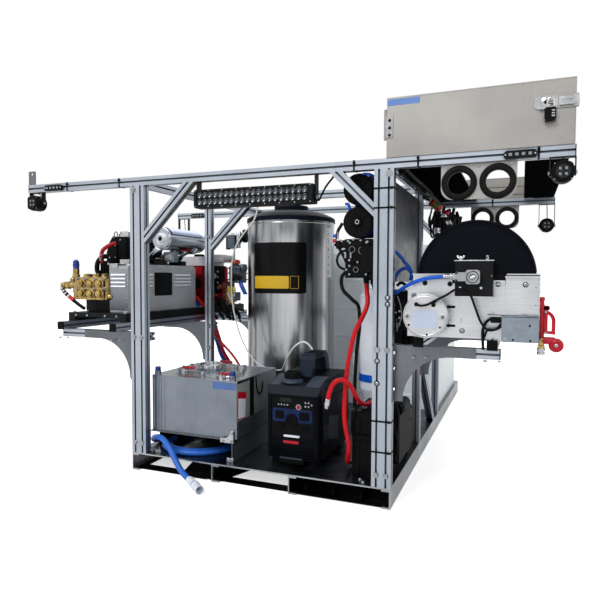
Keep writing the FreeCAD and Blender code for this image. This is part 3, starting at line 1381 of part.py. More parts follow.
def light_bar():
    x = f"(bar_x - {BAR_LENGTH} / 2)"
    z = f"({BEAM} - bar_drop - bar_height)"
    depth = number("bar_depth")
    height = number("bar_height")
    fins = [(0, 5), (0, height - 5), (5, height)]
    for index in range(5):
        y = depth - 40 + index * 8
        fins += [(y, height), (y, height - 8), (y + 4, height - 8), (y + 4, height)]
    fins += [(depth, height - 6), (depth, 6), (depth - 6, 0), (5, 0)]
    housing = pad("bar_housing", (x, f"{FRONT} + slot_side / 2 - bar_depth / 2 - 12", z), [fins], BAR_LENGTH, "x")
    node("light_bar", [housing])


POD_SPOTS = (
    ("front_left", -1, FRAMES[0], "pod_drop", 20),
    ("front_right", 1, FRAMES[0], "pod_drop", -30),
    ("rear_left", -1, FRAMES[2], "rear_pod_drop", 0),
    ("rear_right", 1, FRAMES[2], "rear_pod_drop", -20),
)


def flood_lights():
    """Round work lamps under the beam ends, each in a bracket that it tilts in."""
    radius = number("pod_radius")
    depth = number("pod_depth")
    brackets = []
    for name, side, frame, drop, _ in POD_SPOTS:
        x = f"({side} * (beam_length / 2 - pod_inset))"
        y = f"({frame} + slot_side / 2)"
        z = f"({BEAM} - {drop})"
        profile = [(0, 0), (radius - 6, 0), (radius, 4), (radius, 44)]
        for index in range(2):
            ring = 47 + index * 6
            profile += [(radius - 9, ring - 3), (radius - 9, ring), (radius - 3, ring), (radius - 3, ring + 3)]
        profile += [(radius - 15, depth - 6), (radius - 17, depth), (0, depth)]
        pod = turned(f"{name}_pod", (x, f"{y} - pod_depth / 2", z), profile, "y")
        node(f"flood_light_{name}", [pod])
        thick = "bracket_thickness"
        ear = f"(pod_radius + slide_gap)"
        brackets.append(fuse(f"{name}_bracket", [
            box(f"{name}_yoke", (f"{x} - {ear} - {thick}", f"{y} - 12", f"{BEAM} - {thick}"), (
                f"2 * {ear} + 2 * {thick}", "24", thick)),
            box(f"{name}_left_ear", (f"{x} - {ear} - {thick}", f"{y} - 12", f"{z} - 12"), (thick, "24", f"{drop} + 12")),
            box(f"{name}_right_ear", (f"{x} + {ear}", f"{y} - 12", f"{z} - 12"), (thick, "24", f"{drop} + 12")),
        ]))
    ear_z = f"({BEAM} - bar_drop - bar_height / 2 - 14)"
    y = f"({FRONT} + slot_side / 2)"
    for side, x in (("left", f"bar_x - {BAR_LENGTH} / 2 - slide_gap - ear_thickness"),
                    ("right", f"bar_x + {BAR_LENGTH} / 2 + slide_gap")):
        brackets.append(box(f"bar_{side}_ear", (x, f"{y} - ear_width / 2", ear_z), (
            "ear_thickness", "ear_width", f"{BEAM} - {ear_z}")))
    half = number("strobe_height") / 2
    shape = rounded(0, -half, number("strobe_length"), half, half - 1)
    for name, x, frame in (
        ("front_left", "-beam_length / 2 + strobe_left", FRAMES[0]),
        ("front_right", "beam_length / 2 - strobe_right - strobe_length", FRAMES[0]),
        ("rear_left", "-beam_length / 2 + strobe_left", FRAMES[2]),
    ):
        brackets.append(pad(f"{name}_strobe", (x, f"{frame} - strobe_depth", f"{BEAM} + slot_side / 2 - 4"), [shape],
                            "strobe_depth", "y"))
    node("light_brackets", brackets)


# tank, filter, battery and transfer pumps

def water_tank():
    front = f"({FRAMES[2]} + slot_side + tank_gap)"
    width = number("skid_width - 2 * tank_side_gap")
    length = number(f"-({FRONT}) - tank_rear_gap - {front}")
    bend = number("tank_round")
    wall = number("tank_wall")
    height = "tank_height"
    outside = pad("tank_outside", (f"{LEFT} + tank_side_gap", front, DECK), [
        rounded(0, 0, width, length, bend)], height)
    inside = pad("tank_inside", (f"{LEFT} + tank_side_gap", front, f"{DECK} + tank_wall"), [
        rounded(wall, wall, width - wall, length - wall, bend - wall)], "tank_height - 2 * tank_wall")
    hatch = cylinder("tank_hatch", ("0", f"{front} + {length / 2}", f"{DECK} + tank_height - 2"), "tank_hatch",
                     "tank_hatch_height + 2")
    node("water_tank", [fuse("water_tank", [cut("tank_shell_walls", outside, [inside]), hatch])])


def deck_gear():
    radius = number("filter_radius")
    tall = number("filter_height")
    column = turned("filter_turned", ("filter_x", f"{FRONT} + filter_y", DECK), [
        (0, 0), (number("filter_bottle"), 0), (number("filter_bottle"), number("filter_neck")),
        (radius, number("filter_shoulder")), (radius, tall - 70), (radius - 24, tall - 30),
        (26, tall - 20), (26, tall), (0, tall),
    ])
    spigot = cylinder("filter_spigot", ("filter_x - 30", f"{FRONT} + filter_y - filter_radius - 16", f"{DECK} + 24"),
                      "red_hose / 2 + 2", "60", "y")
    node("filter_column", [fuse("filter_housing", [column, spigot])])
    body = box("battery_case", ("battery_x", f"{FRONT} + battery_front", DECK), (
        "battery_width", "battery_length", "battery_height - 30"))
    lid = box("battery_lid", ("battery_x - 4", f"{FRONT} + battery_front - 4", f"{DECK} + battery_height - 30"), (
        "battery_width + 8", "battery_length + 8", "30"))
    node("battery_box", [body, lid])

    wide = number("feed_pump_radius")
    long = number("feed_pump_length")
    low = turned("feed_pump", ("feed_pump_x", f"{FRONT} + feed_pump_y + 20", f"{DECK} + feed_pump_rise"), [
        (0, 0), (wide - 8, 0), (wide, 10), (wide, long - 80), (wide - 16, long - 72), (wide - 16, long), (0, long)], "y")
    outlet = cylinder("feed_outlet", ("feed_pump_x", f"{FRONT} + feed_pump_y + 62", f"{DECK} + feed_pump_rise + 40"),
                      "red_hose / 2 + 2", "32")
    stand = box("feed_pump_stand", ("feed_pump_x - feed_stand_width / 2", f"{FRONT} + feed_pump_y + 40", DECK), (
        "feed_stand_width", "feed_stand_length", "feed_pump_rise - 40"))
    right = f"({RIGHT} - front_post_width)"
    high = box("booster_pump", (
        f"{right} - booster_width - booster_side", f"{FRONT} + slot_side + booster_back", f"{DECK} + booster_bottom"), (
        "booster_width", "booster_depth", "booster_height"))
    mount = box("booster_mount", (
        f"{right} - booster_side - 40", f"{FRONT} + slot_side", f"{DECK} + booster_bottom + 25"), (
        "booster_side + 40 + front_post_width / 2", "booster_back", "booster_bracket"))
    node("transfer_pumps", [fuse("feed_pump_set", [low, outlet, stand]), fuse("booster_set", [high, mount])])


# hoses

def from_deck(points):
    """Points counted from the middle of the deck's front edge, in the frame of the skid."""
    return [(x, y + number(FRONT), z + number(DECK)) for x, y, z in points]


def blue_hose():
    """A water hose that lies in two loops under the fuel tank, its end hung over the deck edge."""
    radius = number("blue_hose / 2")
    step = number("hose_step")
    size = number("hose_coil_radius") - 3 * step
    here = Vector(number("-hose_coil_x") - size, number(f"{FRONT} + hose_coil_y"), number(DECK) + radius)
    start = here
    side = 1
    edges = []
    for half in range(4):
        size += step
        middle = here + Vector(side * size, 0, 0)
        there = middle + Vector(side * size, 0, 0)
        edges.append(Part.Arc(here, middle - Vector(0, side * size, 0), there).toShape())
        here = there
        side = -side
    wire = Part.Wire(edges)
    section = Part.Wire(Part.Circle(start, Vector(0, 1, 0), radius).toShape())
    coil = doc.addObject("Part::Feature", "blue_hose_coil")
    coil.Shape = wire.makePipeShell([section], True, False)
    node("blue_hose_coil", [coil])
    print(f"blue hose coil: length {wire.Length:.0f} mm, gap between turns {2 * step - 2 * radius:.1f} mm")

    node("blue_hose_end", [tube("blue_hose_end", [tuple(here)] + from_deck(BLUE_END), 2 * radius)])
    end = from_deck(BLUE_END)[-1]
    heading = Vector(*end) - Vector(*from_deck(BLUE_END)[-2])
    cuff = number("cuff_radius")
    long = number("cuff_length")
    node("hose_cuff", [turned("hose_cuff", [f"{value:.4f}" for value in end], [
        (0, 0), (radius + 2, 0), (radius + 4, 12), (cuff, 14), (cuff, long), (radius, long), (radius, long - 16),
        (0, long - 16),
    ], turn=Rotation(Vector(0, 0, 1), heading))])


BLUE_END = [
    (-586.6, 166, 13), (-568, 98, 38), (-518, 52, 68), (-452, 14, 80), (-392, -16, 52), (-346, -38, 4),
    (-300, -56, -38), (-240, -82, -58), (-200, -112, -60),
]
RED_HOSE = [
    (480, 100, 815), (480, 100, 768), (494, 84, 716), (476, 66, 660), (446, 60, 604), (430, 60, 540), (417, 60, 473),
    (411, 60, 410), (406, 60, 350), (403, 60, 290), (404, 60, 240), (412, 60, 190), (424, 62, 140), (418, 72, 88),
    (403, 108, 48), (398, 160, 26), (400, 230, 21), (402, 300, 22), (400, 360, 24), (400, 400, 24),
]
RED_END = [
    (550, 462, 262), (550, 462, 308), (546, 430, 348), (534, 376, 356), (518, 318, 330), (500, 262, 302),
    (482, 205, 286), (466, 152, 284), (456, 104, 304), (447, 62, 344), (436, 34, 388), (412, 14, 412), (380, 4, 404),
    (356, 6, 362), (345, 12, 300),
]
REEL_FEED = [
    (827.5, -53, 821.1), (777, -53, 821.1), (715, -42, 808), (662, -10, 786), (628, 38, 766), (594, 78, 750),
    (556, 102, 746), (519, 115, 756), (500, 120, 786), (500, 120, 815),
]
REAR_RED = [
    (-730, 970, 700), (-730, 910, 700), (-722, 850, 690), (-702, 796, 660), (-672, 764, 606), (-648, 752, 545),
    (-615, 745, 485), (-560, 735, 435), (-490, 720, 385), (-425, 700, 325), (-372, 676, 245), (-330, 658, 172),
    (-330, 658, 108.1),
]
WHITE_CABLE = [
    (-285, 660, 1229), (-285, 656, 1168), (-302, 628, 1108), (-350, 610, 1050), (-394, 604, 984), (-418, 606, 900),
    (-424, 612, 800), (-424, 618, 700), (-404, 614, 600), (-362, 592, 505), (-300, 562, 420), (-235, 532, 366),
    (-170, 510, 346), (-105, 486, 342), (-48, 436, 352), (-8, 376, 370), (28, 312, 404), (66, 266, 458),
    (112, 250, 512), (165, 248, 532), (192, 250, 491),
]


def held_hoses():
    """The hoses and the cable that run between pieces of the skid."""
    feed = tube("reel_feed", from_deck(REEL_FEED), number("feed_hose"))
    red = tube("rear_red_hose", from_deck(REAR_RED), number("feed_hose"))
    cable = tube("white_cable", from_deck(WHITE_CABLE), number("cable"))
    supply = tube("red_supply_hose", from_deck(RED_HOSE), number("red_hose"))
    node("held_hoses", [feed, red, cable, supply])
    node("red_hose_end", [tube("red_hose_loose", from_deck(RED_END), number("red_hose"))])


base_frame()
frame_posts()
top_frame()
shelf_rails()
frame_plates()
end_caps()
frame_bolts()
heater()
sleds()
belt_guard()
belt_drive()
pressure_pump()
first_engine()
second_engine()
fuel_tank()
generator()
reel_plates()
hose_reel()
spray_nozzle()
small_reels()
pole_holders()
carrier()
light_bar()
flood_lights()
water_tank()
deck_gear()
blue_hose()
held_hoses()

doc.recompute()

faults = [item.Name for item in doc.Objects if {"Invalid", "Error"} & set(item.State)]
if faults:
    raise RuntimeError(f"objects failed: {faults}")
for piece in nodes:
    if piece.Shape.isNull() or not piece.Shape.isValid():
        raise RuntimeError(f"bad shape: {piece.Label}")

os.makedirs("parts", exist_ok=True)
for piece in nodes:
    piece.Shape.exportStep(f"parts/{piece.Label}.step")
print(f"{len(nodes)} nodes written")
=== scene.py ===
import math
import random

import bmesh
import bpy
from mathutils import Matrix, Vector


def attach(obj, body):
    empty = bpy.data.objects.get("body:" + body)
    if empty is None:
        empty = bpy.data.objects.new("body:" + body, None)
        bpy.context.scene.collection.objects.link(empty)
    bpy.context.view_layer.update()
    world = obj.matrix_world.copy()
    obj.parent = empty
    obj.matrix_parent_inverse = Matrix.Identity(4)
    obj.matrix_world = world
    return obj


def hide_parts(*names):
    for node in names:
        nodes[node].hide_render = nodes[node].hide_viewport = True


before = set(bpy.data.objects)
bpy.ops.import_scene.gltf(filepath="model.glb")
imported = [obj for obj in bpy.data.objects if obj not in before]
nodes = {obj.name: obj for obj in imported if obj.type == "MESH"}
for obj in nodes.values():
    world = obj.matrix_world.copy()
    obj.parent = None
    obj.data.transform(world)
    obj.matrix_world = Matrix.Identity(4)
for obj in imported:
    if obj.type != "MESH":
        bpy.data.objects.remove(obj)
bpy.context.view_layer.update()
scene = bpy.context.scene
random.seed(7)

# Sizes are in millimetres, as in the CAD, and turned to metres where a mesh is made.
skid = dict(left=-609.6, right=609.6, front=-1219.2, deck=82.55, side=38.1)


# camera, lamps, floor

view = dict(place=(1.06469, -3.29304, 0.89810), turn=(87.2579, -0.2556, 21.4980), lens=32.70)
studio = dict(world=0.52, key=1.55, fill=0.45, rim=0.6, floor="#fbfbfb")


def toLinear(code):
    values = [int(code[i:i + 2], 16) / 255 for i in (1, 3, 5)]
    return tuple(v / 12.92 if v <= 0.04045 else ((v + 0.055) / 1.055) ** 2.4 for v in values) + (1.0,)


def addNode(tree, kind, settings=None, links=None):
    node = tree.nodes.new("ShaderNode" + kind)
    for key, value in (settings or {}).items():
        if isinstance(key, int) or key in node.inputs:
            node.inputs[key].default_value = value
        else:
            setattr(node, key, value)
    for key, socket in (links or {}).items():
        tree.links.new(socket, node.inputs[key])
    return node


def setUpView():
    cameraData = bpy.data.cameras.new("camera")
    cameraData.lens = view["lens"]
    cameraData.sensor_width = 36
    cameraData.clip_end = 60
    camera = bpy.data.objects.new("camera", cameraData)
    camera.location = view["place"]
    camera.rotation_euler = [math.radians(v) for v in view["turn"]]
    scene.collection.objects.link(camera)
    scene.camera = camera
    scene.view_settings.view_transform = "Standard"

    for name, strength, turn, soft in (("keyLamp", studio["key"], (48, 8, -28), 24),
                                       ("fillLamp", studio["fill"], (62, 0, 58), 50),
                                       ("rearLamp", studio["rim"], (-52, 0, 20), 40)):
        lampData = bpy.data.lights.new(name, "SUN")
        lampData.energy = strength
        lampData.angle = math.radians(soft)
        lamp = bpy.data.objects.new(name, lampData)
        lamp.rotation_euler = [math.radians(v) for v in turn]
        scene.collection.objects.link(lamp)

    world = bpy.data.worlds.new("studio")
    scene.world = world
    world.use_nodes = True
    tree = world.node_tree
    rays = addNode(tree, "LightPath").outputs
    seen = addNode(tree, "Math", {"operation": "MAXIMUM"},
                   {0: rays["Is Camera Ray"], 1: rays["Is Glossy Ray"]}).outputs[0]
    seen = addNode(tree, "Math", {"operation": "MAXIMUM"}, {0: seen, 1: rays["Is Transmission Ray"]}).outputs[0]
    level = addNode(tree, "MapRange", {"To Min": studio["world"], "To Max": 1.0}, {"Value": seen}).outputs[0]
    background = tree.nodes["Background"]
    background.inputs["Color"].default_value = (1, 1, 1, 1)
    tree.links.new(level, background.inputs["Strength"])

    bm = bmesh.new()
    bmesh.ops.create_grid(bm, x_segments=1, y_segments=1, size=30)
    mesh = bpy.data.meshes.new("floor")
    bm.to_mesh(mesh)
    bm.free()
    floor = bpy.data.objects.new("floor", mesh)
    floor.location.z = -0.0008
    scene.collection.objects.link(floor)
    paper = bpy.data.materials.new("studioPaper")  # a white paper sweep that keeps the soft shadow under the skid
    paper.use_nodes = True
    tree = paper.node_tree
    shader = tree.nodes["Principled BSDF"]
    shader.inputs["Base Color"].default_value = toLinear(studio["floor"])
    shader.inputs["Roughness"].default_value = 0.95
    shader.inputs["Specular IOR Level"].default_value = 0.0
    rays = addNode(tree, "LightPath").outputs
    power = addNode(tree, "Math", {"operation": "MULTIPLY_ADD", 1: 0.45, 2: 0.1}, {0: rays["Is Camera Ray"]}).outputs[0]
    glow = addNode(tree, "Emission", {"Color": (1, 1, 1, 1)}, {"Strength": power})
    seen = addNode(tree, "Math", {"operation": "MAXIMUM"},
                   {0: rays["Is Camera Ray"], 1: rays["Is Glossy Ray"]}).outputs[0]
    gate = addNode(tree, "MixShader", None, {0: seen, 2: glow.outputs[0]})
    both = addNode(tree, "AddShader", None, {0: shader.outputs[0], 1: gate.outputs[0]})
    tree.links.new(both.outputs[0], tree.nodes["Material Output"].inputs["Surface"])
    mesh.materials.append(paper)


setUpView()
print("camera, lamps and floor are in place")


# finishes

finishes = {}


def newFinish(name, light, dark, metallic=0.0, roughness=0.5, swing=0.08, grain=(1, 1, 1), cloud=80, share=0.5,
              bump=0.15, depth=0.1, **more):
    # grain is the size of the fine marks along X, Y and Z and cloud the size of the soft patches, in mm
    material = bpy.data.materials.new(name)
    material.use_nodes = True
    tree = material.node_tree
    shader = tree.nodes["Principled BSDF"]
    place = addNode(tree, "TexCoord").outputs["Object"]
    stretched = addNode(tree, "Mapping", {"Scale": [1000 / g for g in grain]}, {"Vector": place}).outputs[0]
    fine = addNode(tree, "TexNoise", {"Scale": 1.0, "Detail": 3.0, "Roughness": 0.6}, {"Vector": stretched}).outputs[0]
    wide = addNode(tree, "TexNoise", {"Scale": 1000 / cloud, "Detail": 4.0}, {"Vector": place}).outputs[0]
    both = addNode(tree, "Mix", {"Factor": share}, {"A": wide, "B": fine}).outputs[0]
    spread = addNode(tree, "MapRange", {"From Min": 0.36, "From Max": 0.64}, {"Value": both}).outputs[0]
    colour = addNode(tree, "MixRGB", {"Color1": toLinear(dark), "Color2": toLinear(light)}, {"Fac": spread}).outputs[0]
    tree.links.new(colour, shader.inputs["Base Color"])
    rough = addNode(tree, "MapRange", {"From Min": 0.3, "From Max": 0.7, "To Min": max(0.02, roughness - swing),
                                       "To Max": min(1.0, roughness + swing)}, {"Value": fine}).outputs[0]
    tree.links.new(rough, shader.inputs["Roughness"])
    relief = addNode(tree, "Bump", {"Strength": bump, "Distance": depth / 1000}, {"Height": fine}).outputs[0]
    tree.links.new(relief, shader.inputs["Normal"])
    shader.inputs["Metallic"].default_value = metallic
    for socket, value in more.items():
        shader.inputs[socket.replace("_", " ")].default_value = value
    finishes[name] = material
    return tree, shader, place, colour


def recolour(tree, shader, factor, under, code):
    # lays another colour over the finish where factor is 1
    mixed = addNode(tree, "MixRGB", {"Color2": toLinear(code)}, {"Fac": factor, "Color1": under}).outputs[0]
    tree.links.new(mixed, shader.inputs["Base Color"])
    return mixed


def inside(tree, place, limits):
    # 1 between the limits given for each axis, in metres
    parts = addNode(tree, "SeparateXYZ", None, {0: place}).outputs
    value = None
    for axis, (low, high) in limits.items():
        for operation, limit in (("GREATER_THAN", low), ("LESS_THAN", high)):
            step = addNode(tree, "Math", {"operation": operation, 1: limit}, {0: parts[axis]}).outputs[0]
            value = step if value is None else addNode(tree, "Math", {"operation": "MULTIPLY"},
                                                       {0: value, 1: step}).outputs[0]
    return value


def makeFinishes():
    # Clear anodised aluminium, extruded: an even satin grey with very fine draw lines.
    tree, shader, place, colour = newFinish("anodisedExtrusion", "#b3bbc5", "#9ea6b0", 1.0, 0.36, 0.06,
                                            (3, 3, 3), 220, 0.3, 0.05, 0.05)
    # painted shade: the slots and other closed-in hollows of the extrusions are darkened by an occlusion mask
    openness = addNode(tree, "AmbientOcclusion", {"Distance": 0.02, "samples": 8}).outputs["AO"]
    slots = addNode(tree, "MapRange", {"From Min": 0.35, "From Max": 0.8, "To Min": 1.0, "To Max": 0.0},
                    {"Value": openness}).outputs[0]
    recolour(tree, shader, slots, colour, "#4c535c")
    # Aluminium sheet, brushed along its length and handled: warm grey, fine lines, soft smears.
    newFinish("brushedSheet", "#a9a7a4", "#8f8d8b", 1.0, 0.38, 0.08, (60, 60, 1.6), 260, 0.45, 0.08, 0.05)
    # The same sheet with its lines upright, for the shelf gussets and the tank's tray.
    tree, shader, place, colour = newFinish("rolledSheet", "#74787d", "#5e6267", 1.0, 0.40, 0.08,
                                            (1.8, 60, 60), 180, 0.4, 0.08, 0.05)
    # painted shade: the right-hand side panel under the carrier, from X 585 to 600 mm and Z 880 to 1300 mm, is darkened
    recolour(tree, shader, inside(tree, place, {0: (0.585, 0.6), 2: (0.88, 1.3)}), colour, "#43464b")
    # Aluminium plate, linished bright: long level lines and a few scratches.
    newFinish("linishedPlate", "#cfd1d4", "#b2b5b9", 1.0, 0.30, 0.1, (90, 90, 1.4), 160, 0.5, 0.12, 0.06)
    # Stainless sheet, brushed upright: bright, slightly warm, with broad tone changes.
    newFinish("brushedStainless", "#c9cacb", "#8c8d8f", 1.0, 0.26, 0.06, (1.6, 1.6, 90), 90, 0.5, 0.06, 0.04)
    # The belt guard's stainless sheet: clean and pale on the long face, with painted shade on the front end, deeper
    # towards its foot.
    tree, shader, place, colour = newFinish("guardStainless", "#d9dcdf", "#c0c4c8", 0.7, 0.40, 0.06,
                                            (60, 60, 1.8), 200, 0.35, 0.05, 0.04)
    facing = addNode(tree, "SeparateXYZ", None, {0: addNode(tree, "NewGeometry").outputs["Normal"]}).outputs[1]
    front = addNode(tree, "Math", {"operation": "LESS_THAN", 1: -0.7}, {0: facing}).outputs[0]
    low = addNode(tree, "MapRange", {"From Min": 0.72, "From Max": 0.86, "To Min": 0.9, "To Max": 0.55},
                  {"Value": addNode(tree, "SeparateXYZ", None, {0: place}).outputs[2]}).outputs[0]
    front = addNode(tree, "Math", {"operation": "MULTIPLY"}, {0: front, 1: low}).outputs[0]
    recolour(tree, shader, front, colour, "#2f3843")
    # Chromed steel tube: near mirror with faint waves.
    newFinish("chromedSteel", "#dfe1e6", "#b4b7bf", 1.0, 0.09, 0.03, (60, 60, 60), 160, 0.4, 0.02, 0.05)
    # Cast and machined brass: warm gold, dull in the hollows.
    newFinish("castBrass", "#c8ae72", "#7d6536", 1.0, 0.32, 0.1, (2.5, 2.5, 2.5), 26, 0.4, 0.25, 0.15)
    # Zinc plated steel: pale grey, softly mottled.
    newFinish("zincSteel", "#b3b5b7", "#808285", 1.0, 0.30, 0.1, (2, 2, 2), 18, 0.5, 0.1, 0.05)
    # Polished steel: bright and clean.
    newFinish("polishedSteel", "#d2d4d7", "#a4a7ab", 1.0, 0.16, 0.06, (12, 12, 1.5), 40, 0.5, 0.06, 0.04)
    # The carrier's aluminium sheet, brushed level: warm grey outside, with painted deep shade on every face that looks
    # down.
    tree, shader, place, colour = newFinish("carrierSheet", "#a09e9a", "#8c8a87", 1.0, 0.42, 0.06,
                                            (9, 9, 2.2), 300, 0.3, 0.06, 0.04)
    facing = addNode(tree, "SeparateXYZ", None, {0: addNode(tree, "NewGeometry").outputs["Normal"]}).outputs[2]
    under = addNode(tree, "Math", {"operation": "LESS_THAN", 1: -0.7}, {0: facing}).outputs[0]
    smears = addNode(tree, "TexNoise", {"Scale": 2.6, "Detail": 3.0}, {"Vector": place}).outputs[0]
    smears = addNode(tree, "MapRange", {"From Min": 0.55, "From Max": 0.75, "To Max": 0.35},
                     {"Value": smears}).outputs[0]
    colour = recolour(tree, shader, smears, colour, "#8d7a62")
    recolour(tree, shader, under, colour, "#141518")
    # Galvanised sheet: light flat grey with a faint spangle.
    newFinish("galvanisedSheet", "#8d97a1", "#7d8791", 1.0, 0.45, 0.08, (14, 14, 14), 120, 0.6, 0.06, 0.05)
    # Cast aluminium, painted silver: pale and slightly grained.
    newFinish("castAluminium", "#cdced0", "#b3b4b7", 0.7, 0.42, 0.08, (1.6, 1.6, 1.6), 70, 0.4, 0.2, 0.08)
    # Steel in black powder coat: deep grey black with a fine orange peel.
    newFinish("powderCoat", "#0f1114", "#0a0b0d", 0.0, 0.42, 0.1, (2.2, 2.2, 2.2), 90, 0.5, 0.3, 0.08,
              Specular_IOR_Level=0.14)
    # Dark grey hammer enamel on the heater's lid.
    newFinish("darkEnamel", "#171b26", "#11151d", 0.0, 0.5, 0.08, (3, 3, 3), 120, 0.5, 0.2, 0.1,
              Specular_IOR_Level=0.03)
    # Moulded nylon and ABS: black, matt, with a fine spark-eroded grain.
    newFinish("mouldedNylon", "#08090b", "#050607", 0.0, 0.5, 0.08, (1.2, 1.2, 1.2), 60, 0.5, 0.3, 0.06,
              Specular_IOR_Level=0.08)
    # The reel's hood, rotomoulded polyethylene: blue black with a leathery grain.
    newFinish("rotomouldedHood", "#090c14", "#06080d", 0.0, 0.46, 0.08, (3.2, 3.2, 3.2), 110, 0.5, 0.45, 0.18,
              Specular_IOR_Level=0.05)
    # The generator's case, moulded polypropylene: dark navy, satin, fine grain.
    tree, shader, place, colour = newFinish("navyPolypropylene", "#080a11", "#05070b", 0.0, 0.42, 0.08,
                                            (1.6, 1.6, 1.6), 100, 0.5, 0.35, 0.08, Specular_IOR_Level=0.05)
    colour = recolour(tree, shader, inside(tree, place, {2: (0.456, 0.6)}), colour, "#232b38")
    recolour(tree, shader, inside(tree, place, {1: (-1.2, -1.06), 2: (0.394, 0.456)}), colour, "#1a1e26")
    # The same moulding in slate grey, for its shoulders and vents.
    newFinish("greyPolypropylene", "#3a4352", "#2d3541", 0.0, 0.45, 0.08, (1.6, 1.6, 1.6), 70, 0.5, 0.35, 0.08,
              Specular_IOR_Level=0.2)
    # Rubber: black, dry, slightly dusty.
    newFinish("blackRubber", "#0d0d0f", "#08080a", 0.0, 0.62, 0.1, (1.8, 1.8, 1.8), 40, 0.5, 0.3, 0.1,
              Specular_IOR_Level=0.12)
    # Red enamel, sprayed: glossy and deep.
    tree, shader, place, colour = newFinish("redEnamel", "#8a0d19", "#650912", 0.0, 0.25, 0.06, (6, 6, 6), 90,
                                            0.4, 0.08, 0.1, Specular_IOR_Level=0.3)
    tankTop = inside(tree, place, {0: (-1.2, -0.6), 1: (-0.34, 0.1), 2: (0.97, 1.1)})
    recolour(tree, shader, tankTop, colour, "#c9ccd1")
    # Red ABS, moulded: bright, satin.
    newFinish("redAbs", "#bd0f28", "#970a1f", 0.0, 0.34, 0.06, (2, 2, 2), 50, 0.4, 0.15, 0.06,
              Specular_IOR_Level=0.3)
    # Blue anodised aluminium: dark and saturated, with turning marks.
    newFinish("blueAnodised", "#2b4b9c", "#182a66", 0.75, 0.3, 0.08, (20, 20, 1.2), 20, 0.5, 0.1, 0.05)
    # Polyethylene water tank, rotomoulded: milky white with a cool tint.
    newFinish("milkyPolyethylene", "#f1f5f8", "#e2e9ee", 0.0, 0.38, 0.08, (4, 4, 4), 240, 0.4, 0.25, 0.25,
              Subsurface_Weight=0.12)
    # White PVC, moulded: clean and glossy.
    newFinish("whitePvc", "#dfe6f0", "#cdd5e0", 0.0, 0.28, 0.06, (3, 3, 3), 120, 0.4, 0.1, 0.06,
              Specular_IOR_Level=0.4)
    # Blue PVC hose: bright, satin, lightly ribbed along its length.
    newFinish("bluePvcHose", "#2f6fd0", "#1c55b2", 0.0, 0.38, 0.06, (2.4, 2.4, 2.4), 50, 0.5, 0.25, 0.12,
              Specular_IOR_Level=0.3)
    # Nylon tube in a deeper blue, for the water lines.
    newFinish("blueNylonTube", "#0f5fd6", "#0a45a8", 0.0, 0.32, 0.06, (2, 2, 2), 50, 0.5, 0.15, 0.08,
              Specular_IOR_Level=0.25)
    # Red PVC hose: glossy.
    newFinish("redPvcHose", "#cf0d1c", "#a60a17", 0.0, 0.3, 0.06, (2, 2, 2), 60, 0.5, 0.15, 0.08,
              Specular_IOR_Level=0.2)
    # Braided rubber hose, dull red.
    newFinish("redRubberHose", "#7c141d", "#5a0c14", 0.0, 0.38, 0.06, (2, 2, 2), 60, 0.5, 0.2, 0.1,
              Specular_IOR_Level=0.2)
    # White cable, PVC jacket.
    newFinish("whiteJacket", "#dfe2e2", "#c7cbcb", 0.0, 0.4, 0.06, (2, 2, 2), 40, 0.5, 0.15, 0.05)
    # Label plates of vinyl film.
    newFinish("blackVinyl", "#0a0a0c", "#060608", 0.0, 0.3, 0.05, (3, 3, 3), 80, 0.5, 0.08, 0.04,
              Specular_IOR_Level=0.12)
    newFinish("yellowVinyl", "#e6bb1f", "#d3a611", 0.0, 0.34, 0.05, (3, 3, 3), 80, 0.5, 0.08, 0.04)
    # Enamelled tin plates in two blues, and the motor's pale vinyl one.
    newFinish("blueEnamel", "#4f6fa8", "#3f5c92", 0.0, 0.4, 0.05, (3, 3, 3), 60, 0.5, 0.08, 0.04)
    newFinish("skyEnamel", "#5f86c4", "#5078b6", 0.0, 0.4, 0.05, (3, 3, 3), 60, 0.5, 0.08, 0.04)
    newFinish("paleVinyl", "#b9c4d8", "#a9b5cb", 0.0, 0.4, 0.05, (3, 3, 3), 60, 0.5, 0.08, 0.04)
    # Red rubber seal, worn dark at its rim.
    newFinish("redRubberSeal", "#4d1016", "#2a090c", 0.0, 0.5, 0.05, (3, 3, 3), 20, 0.5, 0.1, 0.05)
    newFinish("whiteEnamel", "#dde2ea", "#ccd2db", 0.0, 0.42, 0.05, (3, 3, 3), 60, 0.5, 0.08, 0.04)
    # Polyester webbing, woven: yellow with a coarse weave.
    newFinish("yellowWebbing", "#d8c238", "#b39d1f", 0.0, 0.6, 0.05, (1.4, 1.4, 6), 40, 0.6, 0.3, 0.2)
    # Lamp cups, metallised plastic: bright edges over dark hollows.
    newFinish("metallisedReflector", "#62666b", "#1d2023", 1.0, 0.16, 0.05, (3, 3, 3), 9, 0.5, 0.1, 0.1)
    # Smoked lamp lens with its facets behind it, and the grey chips of a lamp that is off.
    newFinish("smokedPolycarbonate", "#23262b", "#101215", 0.6, 0.2, 0.06, (3, 3, 3), 9, 0.5, 0.1, 0.1)
    newFinish("greySilicone", "#8e9297", "#7a7e84", 0.0, 0.3, 0.04, (2, 2, 2), 8, 0.5, 0.02, 0.02)
    # Display window, dark acrylic: glossy and smooth.
    newFinish("darkAcrylic", "#14181d", "#0e1115", 0.0, 0.12, 0.03, (8, 8, 8), 40, 0.5, 0.02, 0.02,
              Specular_IOR_Level=0.2)
    # Blown PET bottle and caps: orange and green, glossy.
    newFinish("orangePet", "#c4431c", "#8f2a10", 0.0, 0.25, 0.06, (6, 6, 6), 30, 0.5, 0.1, 0.1)
    newFinish("greenPet", "#2f8f3f", "#1c6428", 0.0, 0.25, 0.06, (6, 6, 6), 30, 0.5, 0.1, 0.1)
